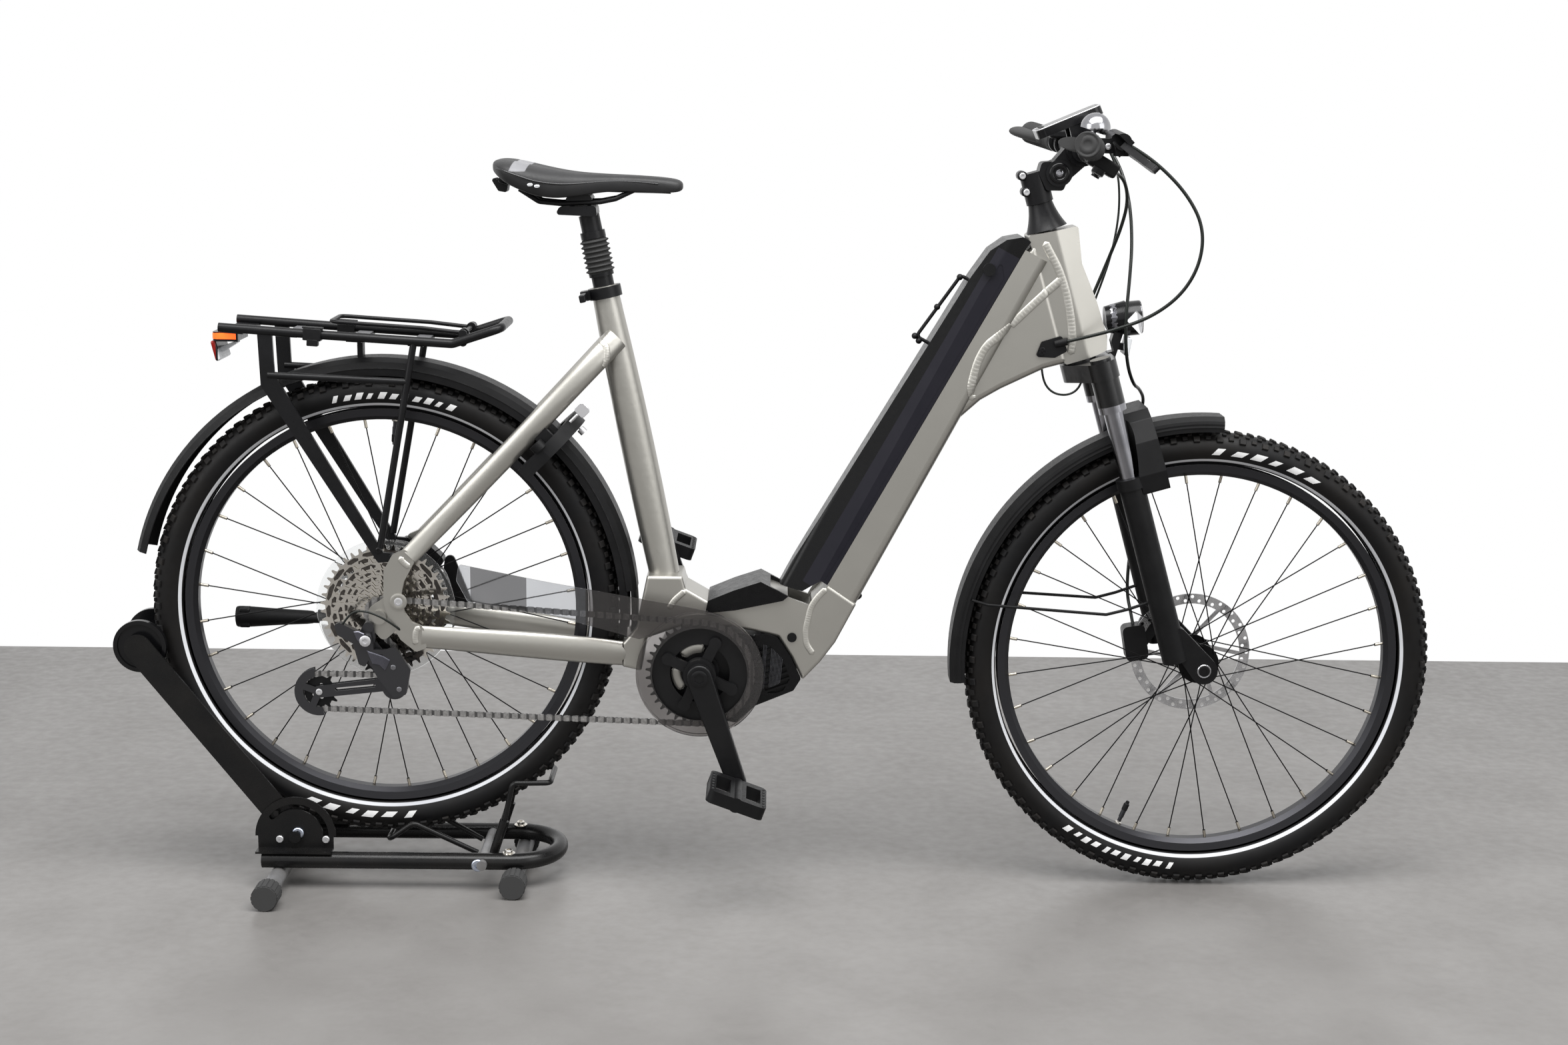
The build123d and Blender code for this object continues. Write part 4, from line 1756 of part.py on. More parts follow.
def cord(points, radius):
    """Hose or lead along straight runs joined by tangent bends."""
    path = FilletPolyline(*points, radius=cord_radii(points))
    return sweep(Plane(origin=path @ 0, z_dir=path % 0) * Circle(radius), path=path)


def cords():
    """Every free hose and lead by name."""
    runs = {
        "rear_brake_hose": (REAR_HOSE, HOSE_R),
        "front_brake_hose": (FRONT_HOSE, HOSE_R),
        "shift_cable": (SHIFT_RUN, HOSE_R),
        "shift_cable_tail": (SHIFT_TAIL, LEAD_R),
        "remote_lead": (LEAD_RUN, LEAD_R),
        "light_lead": (LIGHT_RUN, LEAD_R),
    }
    shapes = {}
    for name, (points, radius) in runs.items():
        radii = cord_radii(points)
        print(name, "bend radii", [round(r, 1) for r in radii], "diameter", 2 * radius)
        shapes[name] = cord(points, radius)
    return shapes


# ---- export --------------------------------------------------------------------------------------
def frame_fittings():
    """Small fittings bolted to the frame."""
    return group(port_plate(-1), port_plate(1), strap_bracket(), battery_lock(), motor_plug(),
                 kickstand_bracket())


def nodes():
    """Every sub-part by its node name."""
    return {
        "stand_frame": group(stand_frame(), tyre_wires()), "stand_cross_tubes": foot_tubes(),
        "stand_caps": foot_caps(),
        "swing_arms": swing_arms(), "spool": spool(),
        "main_frame": group(welded_frame(), *bearing_cups()), "rear_triangle": rear_triangle(),
        "battery_pack": battery_pack(), "frame_covers": frame_covers(), "drive_unit": drive_unit(),
        "frame_fittings": frame_fittings(), "chain_guard": chain_guard(), "ring_lock": ring_lock(),
        "rear_mudguard": rear_mudguard(), "rack": rack(), "tail_light": tail_light(),
        "seatpost_outer": seatpost_outer(), "rear_caliper": rear_caliper(), "derailleur": derailleur(),
        "chain": chain(), "post_inner": post_inner(), "saddle_base": saddle_base(),
        "saddle_cover": saddle_cover(),
        "bellows": bellows(), "kickstand_leg": kickstand_leg(), "rack_bail": rack_bail(),
        "lock_shackle": lock_shackle(), "fork_uppers": fork_uppers(), "stem": stem(),
        "handlebar": handlebar(),
        "grips": grips(), "bar_controls": bar_controls(), "display": display(), "bell": bell(),
        "headlight": headlight(), "right_lever": right_lever(), "left_lever": left_lever(),
        "shift_paddle": shift_paddle(), "fork_lowers": fork_lowers(), "front_mudguard": front_mudguard(),
        "front_caliper": front_caliper(), "front_tyre": tyre(FRONT_HUB),
        "front_rim": group(rim(FRONT_HUB), valve(FRONT_HUB, FRONT_VALVE_ANGLE)),
        "front_hub": front_hub(), "rear_tyre": tyre(REAR_HUB),
        "rear_rim": group(rim(REAR_HUB), valve(REAR_HUB, REAR_VALVE_ANGLE)),
        "rear_hub": rear_hub(), "cassette": cassette(), "crankset": crankset(),
        "right_pedal": group(pedal(-1)), "left_pedal": group(pedal(1)), "cage": cage(),
        "guide_pulley": guide_pulley(),
        "tension_pulley": tension_pulley(), **cords(),
    }


def main():
    """Build every sub-part and write it as its own STEP file."""
    os.makedirs("parts", exist_ok=True)
    for name, shape in nodes().items():
        export_step(shape, f"parts/{name}.step")


if __name__ == "__main__":
    main()
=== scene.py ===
"""Looks of the bicycle on its wheel stand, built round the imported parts.

Every size is in metres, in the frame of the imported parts: x forward, y to the left, z up.
"""

import logging
import math
from collections.abc import Sequence
from dataclasses import dataclass
from enum import Enum

import bmesh
import bpy
from mathutils import Matrix, Vector
from mathutils.bvhtree import BVHTree


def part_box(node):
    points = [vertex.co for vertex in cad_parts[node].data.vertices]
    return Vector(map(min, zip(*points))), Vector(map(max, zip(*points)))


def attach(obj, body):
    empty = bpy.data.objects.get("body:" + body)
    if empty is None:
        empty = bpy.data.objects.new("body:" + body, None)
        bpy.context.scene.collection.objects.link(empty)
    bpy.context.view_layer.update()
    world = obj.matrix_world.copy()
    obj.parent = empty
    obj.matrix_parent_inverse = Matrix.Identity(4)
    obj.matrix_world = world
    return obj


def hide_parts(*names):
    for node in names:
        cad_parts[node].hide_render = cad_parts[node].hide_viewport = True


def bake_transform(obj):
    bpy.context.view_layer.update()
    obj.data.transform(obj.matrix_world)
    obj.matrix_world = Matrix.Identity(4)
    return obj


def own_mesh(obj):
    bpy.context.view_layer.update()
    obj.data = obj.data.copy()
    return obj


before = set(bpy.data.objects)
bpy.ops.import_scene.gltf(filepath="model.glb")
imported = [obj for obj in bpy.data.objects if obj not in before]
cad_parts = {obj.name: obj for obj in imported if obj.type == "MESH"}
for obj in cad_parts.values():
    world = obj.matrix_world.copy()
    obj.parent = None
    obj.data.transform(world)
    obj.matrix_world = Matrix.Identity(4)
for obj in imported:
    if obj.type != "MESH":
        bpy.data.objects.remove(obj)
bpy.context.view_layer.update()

LOG = logging.getLogger("bicycle")
Colour = tuple[float, float, float]
Point = tuple[float, float, float]
Pairs = Sequence[tuple[float, float]]

FRONT_HUB = Vector((0.628, 0.0, 0.348))
REAR_HUB = Vector((-0.577, 0.0, 0.417))
REAR_GUARD_SPAN = (5.0, 167.0)
FRONT_GUARD_SPAN = (86.5, 185.5)
CRANK_AXIS = Vector((-0.111, 0.0, 0.332))
PITCH = 0.0127
HEAD_FOOT = Vector((0.438, 0.0, 0.798))
HEAD_LEAN = math.radians(16.1)
STEER_UP = Vector((-math.sin(HEAD_LEAN), 0.0, math.cos(HEAD_LEAN)))
LEFT = Vector((0.0, 1.0, 0.0))
RIGHT = -LEFT
UP = Vector((0.0, 0.0, 1.0))
AHEAD = Vector((1.0, 0.0, 0.0))
SIDES = (-1, 1)


class Wheel(Enum):
    """The two wheels, by the word that the names of their pieces start with."""

    FRONT = "front"
    REAR = "rear"

    @property
    def hub(self) -> Vector:
        """Middle of the wheel."""
        return FRONT_HUB if self is Wheel.FRONT else REAR_HUB

    @property
    def body(self) -> str:
        """Body that turns with the wheel."""
        return self.value + "_wheel"

    @property
    def carrier(self) -> str:
        """Body that holds the wheel's axle and its mudguard."""
        return "lowers" if self is Wheel.FRONT else "bike_frame"


class Stiffness(Enum):
    """How stiff a cord is."""

    MEDIUM = "medium"
    STIFF = "stiff"


# ---- node graphs ----


class Graph:
    """Node tree of one material, with short calls for the nodes that the finishes share."""

    def __init__(self, name: str) -> None:
        """Start an empty tree with a Principled shader and its output.

        Args:
            name: Name of the material.
        """
        self.material = bpy.data.materials.new(name)
        self.material.use_nodes = True
        self.nodes = self.material.node_tree.nodes
        self.links = self.material.node_tree.links
        self.nodes.clear()
        self.shader = self.nodes.new("ShaderNodeBsdfPrincipled")
        self.output = self.nodes.new("ShaderNodeOutputMaterial")
        self.links.new(self.shader.outputs[0], self.output.inputs[0])
        self._place: bpy.types.NodeSocket | None = None

    def node(self, kind: str, inputs: dict | None = None, **settings: object) -> bpy.types.Node:
        """Add a node.

        Args:
            kind: Type name of the node, without its "ShaderNode" prefix.
            inputs: Value or source socket of each input, by name or index.
            settings: Attributes set on the node.

        Returns:
            The new node.
        """
        made = self.nodes.new("ShaderNode" + kind)
        for key, value in settings.items():
            setattr(made, key, value)
        for key, value in (inputs or {}).items():
            self.feed(made.inputs[key], value)
        return made

    def feed(self, socket: bpy.types.NodeSocket, value: object) -> None:
        """Link a socket to another, or set its value.

        Args:
            socket: Input to feed.
            value: Socket, number, vector or colour.
        """
        if isinstance(value, bpy.types.NodeSocket):
            self.links.new(value, socket)
        elif isinstance(value, tuple) and socket.type == "RGBA":
            socket.default_value = (*value, 1.0)
        else:
            socket.default_value = value

    def math(self, operation: str, *values: object) -> bpy.types.NodeSocket:
        """Result of a Math node."""
        return self.node("Math", dict(enumerate(values)), operation=operation).outputs[0]

    def vector(self, operation: str, *values: object) -> bpy.types.Node:
        """A Vector Math node."""
        return self.node("VectorMath", dict(enumerate(values)), operation=operation)

    def reach(self, vector: object, direction: Vector) -> bpy.types.NodeSocket:
        """How far a vector goes in a direction."""
        return self.vector("DOT_PRODUCT", vector, tuple(direction)).outputs["Value"]

    def set(self, values: dict[str, object]) -> None:
        """Feed the shader's inputs by name."""
        for name, value in values.items():
            self.feed(self.shader.inputs[name], value)

    def place(self) -> bpy.types.NodeSocket:
        """Position on the piece, as it stands at rest.

        Returns:
            Socket of the position, made once.
        """
        if self._place is None:
            self._place = self.node("TexCoord").outputs["Object"]
        return self._place

    def stretched(self, stretch: Point) -> bpy.types.NodeSocket:
        """Position scaled by a factor for each axis."""
        return self.vector("MULTIPLY", self.place(), stretch).outputs[0]

    def noise(self, scale: float, detail: float = 3.0, stretch: Point = (1, 1, 1)) -> bpy.types.NodeSocket:
        """Soft noise from 0 to 1.

        Args:
            scale: Cycles to the metre.
            detail: Octaves.
            stretch: Factor of the frequency along each axis.
        """
        spot = self.stretched(stretch)
        return self.node("TexNoise", {"Vector": spot, "Scale": scale, "Detail": detail}).outputs[0]

    def cells(self, scale: float) -> bpy.types.NodeSocket:
        """Distance from the middle of Voronoi cells of a size of one over scale."""
        return self.node("TexVoronoi", {"Vector": self.stretched((1, 1, 1)),
                                        "Scale": scale}).outputs["Distance"]

    def blend(self, share: object, low: object, high: object) -> bpy.types.NodeSocket:
        """Colour between low and high.

        Args:
            share: Share of the second colour.
            low: Colour at a share of 0.
            high: Colour at a share of 1.

        Returns:
            Socket of the mixed colour.
        """
        mix = self.node("Mix", data_type="RGBA")
        for socket, value in zip((mix.inputs[0], mix.inputs[6], mix.inputs[7]), (share, low, high)):
            self.feed(socket, value)
        return mix.outputs[2]

    def lerp(self, share: object, low: object, high: object) -> bpy.types.NodeSocket:
        """Number between low and high.

        Args:
            share: Share of the second number.
            low: Number at a share of 0.
            high: Number at a share of 1.

        Returns:
            Socket of the mixed number.
        """
        mix = self.node("Mix", data_type="FLOAT")
        for socket, value in zip((mix.inputs[0], mix.inputs[2], mix.inputs[3]), (share, low, high)):
            self.feed(socket, value)
        return mix.outputs[0]

    def remap(self, value: object, low: float, high: float, to_low: float,
              to_high: float) -> bpy.types.NodeSocket:
        """Value carried from one range to another and clamped there."""
        return self.node("MapRange", {0: value, 1: low, 2: high, 3: to_low, 4: to_high}).outputs[0]

    def between(self, value: object, low: float, high: float, soft: float = 0.0004) -> bpy.types.NodeSocket:
        """1 where the value lies from low to high, with soft edges.

        Args:
            value: Number to test.
            low: Start of the range.
            high: End of the range.
            soft: Half the width of each edge.

        Returns:
            Socket that is 1 inside the range and 0 outside.
        """
        rise = self.remap(value, low - soft, low + soft, 0.0, 1.0)
        fall = self.remap(value, high - soft, high + soft, 1.0, 0.0)
        return self.math("MULTIPLY", rise, fall)

    def bump(self, height: object, strength: float, distance: float = 0.001) -> bpy.types.NodeSocket:
        """Normal of a surface raised by a height from 0 to 1."""
        return self.node("Bump", {"Height": height, "Strength": strength, "Distance": distance}).outputs[0]


# ---- where a finish holds ----


@dataclass(frozen=True)
class AroundAxle:
    """Ring about a crosswise axle: centre, inner and outer radius."""

    centre: Vector
    inner: float
    outer: float
    soft: float = 0.0003

    def share(self, graph: Graph) -> bpy.types.NodeSocket:
        """1 inside the ring and 0 outside it.

        Args:
            graph: Graph of the finish.

        Returns:
            Socket that is 1 inside and 0 outside.
        """
        offset = graph.vector("SUBTRACT", graph.place(), tuple(self.centre)).outputs[0]
        flat = graph.vector("MULTIPLY", offset, (1, 0, 1)).outputs[0]
        radius = graph.vector("LENGTH", flat).outputs["Value"]
        return graph.between(radius, self.inner, self.outer, self.soft)


@dataclass(frozen=True)
class Layer:
    """Space between two parallel planes square to a direction."""

    direction: Vector
    low: float
    high: float
    soft: float = 0.0003

    def share(self, graph: Graph) -> bpy.types.NodeSocket:
        """1 between the planes and 0 outside them."""
        return graph.between(graph.reach(graph.place(), self.direction), self.low, self.high, self.soft)


@dataclass(frozen=True)
class Repeated:
    """Bands square to a direction that come back at a pitch.

    They are counted from as many pitches behind the origin as the field behind says.
    """

    direction: Vector
    pitch: float
    wide: float
    first: float = 0.0015
    behind: int = 1000
    soft: float = 0.0006

    def share(self, graph: Graph) -> bpy.types.NodeSocket:
        """1 inside each band and 0 between them.

        Args:
            graph: Graph of the finish.

        Returns:
            Socket that is 1 inside and 0 outside.
        """
        moved = graph.math("ADD", graph.reach(graph.place(), self.direction), self.behind * self.pitch)
        rest = graph.math("MODULO", moved, self.pitch)
        return graph.between(rest, self.first, self.first + self.wide, self.soft)


@dataclass(frozen=True)
class Within:
    """Where all of several places meet."""

    places: tuple

    def share(self, graph: Graph) -> bpy.types.NodeSocket:
        """Product of the places' shares.

        Args:
            graph: Graph of the finish.

        Returns:
            Socket that is 1 where all places are 1.
        """
        share = self.places[0].share(graph)
        for place in self.places[1:]:
            share = graph.math("MULTIPLY", share, place.share(graph))
        return share


# ---- finishes ----


@dataclass(frozen=True)
class Finish:
    """Colour and surface of one finish.

    The colour wanders slowly to the shade, the roughness by its spread, and a fine grain lies over all.
    """

    name: str
    colour: Colour
    roughness: float
    metallic: float = 0.0
    shade: Colour | None = None
    patches: float = 14.0
    spread: float = 0.06
    grain: float = 1400.0
    depth: float = 0.12
    stretch: Point = (1.0, 1.0, 1.0)
    coat: float = 0.0
    specular: float = 0.5
    zones: tuple = ()

    def material(self) -> bpy.types.Material:
        """The node material, made once and then shared.

        Returns:
            The material, ready to put on a piece.
        """
        made = bpy.data.materials.get(self.name)
        if made is None:
            graph = Graph(self.name)
            self.fill(graph)
            made = graph.material
        return made

    def surface(self, graph: Graph) -> tuple:
        """Colour, roughness and metallic sockets before any zone.

        Args:
            graph: Graph of the finish.

        Returns:
            The three of them in that order.
        """
        drift = graph.noise(self.patches, 4.0)
        shade = self.shade or tuple(0.82 * c for c in self.colour)
        colour = graph.blend(graph.remap(drift, 0.35, 0.75, 0.0, 1.0), self.colour, shade)
        mottle = graph.noise(self.patches * 9, 5.0, self.stretch)
        rough = graph.remap(mottle, 0.3, 0.7, self.roughness - self.spread, self.roughness + self.spread)
        return colour, rough, self.metallic

    def fill(self, graph: Graph) -> None:
        """Wire the finish and its zones into a graph.

        Args:
            graph: Graph of the finish.
        """
        colour, rough, metal = self.surface(graph)
        for place, finish in self.zones:
            share = place.share(graph)
            other_colour, other_rough, other_metal = finish.surface(graph)
            colour = graph.blend(share, colour, other_colour)
            rough = graph.lerp(share, rough, other_rough)
            if metal != other_metal:
                metal = graph.lerp(share, metal, other_metal)
        if self.coat:
            graph.set({"Coat Weight": self.coat, "Coat Roughness": 0.06})
        grain = graph.noise(self.grain, 2.0, self.stretch)
        graph.set({"Base Color": colour, "Roughness": rough, "Metallic": metal,
                   "Specular IOR Level": self.specular, "Normal": graph.bump(grain, self.depth, 0.0004)})


@dataclass(frozen=True)
class Clear(Finish):
    """See-through plastic: the colour tints what shows behind it."""

    passing: float = 0.8
    bending: float = 1.3

    def fill(self, graph: Graph) -> None:
        """Wire the plastic, with faint flow marks."""
        super().fill(graph)
        graph.set({"Transmission Weight": self.passing, "IOR": self.bending})


@dataclass(frozen=True)
class Prisms(Finish):
    """Reflector face: rows of small cells under a clear skin."""

    cell: float = 420.0

    def fill(self, graph: Graph) -> None:
        """Wire the cells over the finish.

        Args:
            graph: Graph of the finish.
        """
        super().fill(graph)
        normal = graph.bump(graph.cells(self.cell), 0.9, 0.0008)
        graph.set({"Normal": normal, "Coat Weight": 1.0, "Coat Roughness": 0.05})


@dataclass(frozen=True)
class Lit(Finish):
    """Lens that glows by itself."""

    glow: float = 0.6

    def fill(self, graph: Graph) -> None:
        """Wire the lens and its light."""
        super().fill(graph)
        graph.set({"Emission Color": self.colour, "Emission Strength": self.glow})


CHAMPAGNE = Finish("champagne_satin", (0.395, 0.385, 0.355), 0.34, 0.85, (0.365, 0.355, 0.325), 3.0, 0.015,
                   7000, 0.04, coat=0.1)
WELD = Finish("weld_satin", (0.48, 0.47, 0.435), 0.42, 0.8, (0.41, 0.40, 0.365), 60.0, 0.05, 900, 0.25)
STOVE_BLACK = Finish("stove_black", (0.005, 0.005, 0.0053), 0.26, 0.0, (0.009, 0.0085, 0.008), 20.0, 0.05,
                     700, 0.12, specular=0.24)
ZINC = Finish("zinc", (0.50, 0.54, 0.62), 0.3, 1.0, (0.38, 0.42, 0.52), 120.0, 0.08, 3000, 0.2)
STEEL = Finish("steel", (0.55, 0.55, 0.56), 0.26, 1.0, (0.42, 0.42, 0.43), 80.0, 0.08, 2600, 0.18)
NICKEL = Finish("nickel", (0.50, 0.46, 0.39), 0.3, 1.0, (0.34, 0.31, 0.26), 70.0, 0.07, 2600, 0.15)
CHROME = Finish("chrome", (0.38, 0.38, 0.39), 0.14, 1.0, (0.28, 0.28, 0.30), 60.0, 0.04, 900, 0.05)
DARK_CHROME = Finish("dark_chrome", (0.30, 0.30, 0.32), 0.12, 1.0, (0.22, 0.22, 0.24), 30.0, 0.04, 900, 0.03)
CHAIN_STEEL = Finish("chain_steel", (0.46, 0.455, 0.45), 0.3, 1.0, (0.24, 0.235, 0.23), 240.0, 0.1, 3000, 0.3)
GRAPHITE = Finish("graphite", (0.0060, 0.0060, 0.0070), 0.24, 0.0, (0.0045, 0.0045, 0.0052), 40.0, 0.06, 3200,
                  0.1, specular=0.12)
# Painted highlight: bright grey-blue faces on the black derailleur.
GREY_BLUE_HIGHLIGHT = Finish("grey_blue_painted_highlight", (0.105, 0.105, 0.125), 0.24, 0.75, (0.075, 0.075, 0.09), 30.0, 0.05,
                   3200, 0.08)
# Painted shade: dark patches that stand for the openings in the sprockets.
WINDOW_SHADE = Finish("window_painted_shade", (0.020, 0.0165, 0.014), 0.5, 0.3, (0.045, 0.038, 0.032), 240.0, 0.08,
                     2600, 0.2)
# Painted shade: dark bands where the gaps between the chain's link plates fall.
LINK_GAP_SHADE = Finish("link_gap_painted_shade", (0.085, 0.084, 0.084), 0.4, 0.9, (0.12, 0.118, 0.116), 240.0, 0.08, 3000, 0.3)
GUARD_DARK = Finish("guard_dark", (0.21, 0.21, 0.215), 0.12, 0.0, (0.25, 0.245, 0.25), 8.0, 0.04, 500, 0.03)
GUARD_CLEAR = Finish("guard_clear", (0.60, 0.61, 0.63), 0.08, 0.0, (0.52, 0.53, 0.55), 8.0, 0.03, 500, 0.03)
GLOSS_BLACK = Finish("gloss_black", (0.0032, 0.0032, 0.0036), 0.18, 0.0, (0.005, 0.005, 0.0056), 9.0, 0.04,
                     600, 0.03, specular=0.3)
MATT_BLACK = Finish("matt_black", (0.0042, 0.0042, 0.0045), 0.42, 0.0, (0.0075, 0.0075, 0.008), 26.0, 0.06,
                    4200, 0.25, specular=0.16)
ANODISED = Finish("anodised_black", (0.0042, 0.0042, 0.0046), 0.32, 0.0, (0.007, 0.007, 0.0078), 18.0, 0.05,
                  3000, 0.12, specular=0.2)
ANTHRACITE = Finish("anthracite_satin", (0.0085, 0.0082, 0.0125), 0.36, 0.0, (0.011, 0.0105, 0.015), 8.0,
                    0.04, 2600, 0.08, specular=0.22)
SPOKE_BLACK = Finish("spoke_black", (0.0025, 0.0025, 0.0028), 0.4, 0.0, None, 18.0, specular=0.08)
RIM_BLACK = Finish("rim_black", (0.0052, 0.0042, 0.0038), 0.28, 0.0, (0.0085, 0.0068, 0.0058), 6.0, 0.05,
                   2400, 0.08, specular=0.16)
RUBBER = Finish("rubber", (0.006, 0.006, 0.006), 0.55, 0.0, (0.010, 0.010, 0.010), 30.0, 0.08, 2600, 0.3,
                specular=0.16)
TYRE_RUBBER = Finish("tyre_rubber", (0.0048, 0.0048, 0.0052), 0.46, 0.0, (0.0085, 0.0075, 0.0068), 9.0, 0.1,
                     2200, 0.2, specular=0.12)
TREAD = Finish("tread_rubber", (0.008, 0.008, 0.0085), 0.60, 0.0, (0.018, 0.016, 0.0145), 60.0, 0.1, 2600,
               0.4, specular=0.16)
REFLECTIVE = Finish("reflective_line", (0.70, 0.71, 0.73), 0.32, 0.0, (0.50, 0.51, 0.54), 5.0, 0.06, 3200,
                    0.05)
PRINT_WHITE = Finish("printed_white", (0.74, 0.74, 0.74), 0.5, 0.0, (0.62, 0.62, 0.62), 40.0, 0.06, 2600, 0.1)
SADDLE_GREY = Finish("saddle_grey", (0.16, 0.16, 0.17), 0.42, 0.0, (0.22, 0.22, 0.23), 30.0, 0.05, 1900, 0.2)
SADDLE_TRIM = Finish("saddle_trim", (0.010, 0.010, 0.011), 0.3, 0.0, (0.02, 0.02, 0.022), 60.0, 0.06, 2400,
                     0.2)
PALE_PLASTIC = Finish("pale_plastic", (0.78, 0.80, 0.82), 0.3, 0.0, (0.70, 0.72, 0.74), 60.0, 0.06, 2400, 0.1)
FOOT_RUBBER = Finish("foot_rubber", (0.030, 0.029, 0.027), 0.75, 0.0, (0.085, 0.075, 0.065), 45.0, 0.1, 1500,
                     0.5)
HOSE_JACKET = Finish("hose_jacket", (0.005, 0.0075, 0.006), 0.30, 0.0, (0.009, 0.011, 0.009), 60.0, 0.05,
                     2200, 0.12, specular=0.3)
FIN_GREY = Finish("fin_grey", (0.055, 0.056, 0.062), 0.4, 0.4, (0.03, 0.03, 0.034), 60.0, 0.06, 2400, 0.2)
PAD_GREY = Finish("pad_grey", (0.095, 0.095, 0.10), 0.5, 0.0, (0.07, 0.07, 0.075), 40.0, 0.06, 2400, 0.2)
CRANK_BLACK = Finish("crank_black", (0.0040, 0.0040, 0.0044), 0.34, 0.0, (0.0065, 0.0065, 0.007), 16.0, 0.05,
                     2600, 0.1, specular=0.26)
SMOKE = Clear("smoked_plastic", (0.40, 0.385, 0.38), 0.10, 0.0, (0.33, 0.315, 0.31), 8.0, 0.04, 500, 0.03,
              passing=0.95)
CLEAR_PLASTIC = Clear("clear_plastic", (0.93, 0.94, 0.94), 0.06, 0.0, (0.88, 0.89, 0.89), 8.0, 0.02, 500,
                      0.02, passing=0.97)
RED_LENS = Prisms("red_lens", (0.30, 0.012, 0.006), 0.14, 0.0, (0.22, 0.006, 0.004), 20.0, 0.04, 900, 0.08)
TAIL_GLOW = Lit("tail_glow", (1.0, 0.10, 0.012), 0.2, 0.0, (1.0, 0.24, 0.03), 60.0, 0.04, 900, 0.05, glow=1.3)
GREY_TUBE = Finish("grey_tube", (0.20, 0.20, 0.205), 0.45, 0.3, (0.13, 0.125, 0.12), 30.0, 0.08, 1400, 0.3)


# ---- mesh building ----


def axes(origin: Vector, along: Vector, across: Vector = UP) -> Matrix:
    """Frame at a point.

    Args:
        origin: Where the frame sits.
        along: Direction of its z axis.
        across: Direction near its x axis.

    Returns:
        The frame as a 4x4 matrix.
    """
    z = Vector(along).normalized()
    x = Vector(across) - z * z.dot(Vector(across))
    if x.length < 1e-6:
        x = z.orthogonal()
    x.normalize()
    y = z.cross(x)
    turn = Matrix((x, y, z)).transposed().to_4x4()
    return Matrix.Translation(Vector(origin)) @ turn


def rod_frames(line: Sequence[Vector], closed: bool = False) -> list[Matrix]:
    """Frames that follow a line with z along it and as little twist as they can.

    Args:
        line: Points of the line.
        closed: Whether the line is a loop.

    Returns:
        One frame for each point.
    """
    frames: list[Matrix] = []
    side = None
    count = len(line)
    for i, spot in enumerate(line):
        before = line[i - 1] if i or closed else spot
        after = line[(i + 1) % count] if i < count - 1 or closed else spot
        along = (after - before).normalized()
        side = along.orthogonal() if side is None else side - along * along.dot(side)
        side.normalize()
        frames.append(axes(spot, along, side))
    return frames


def circle(sides: int) -> list[tuple[float, float]]:
    """Cosine and sine of even steps round a circle."""
    return [(math.cos(t), math.sin(t)) for t in (2 * math.pi * k / sides for k in range(sides))]


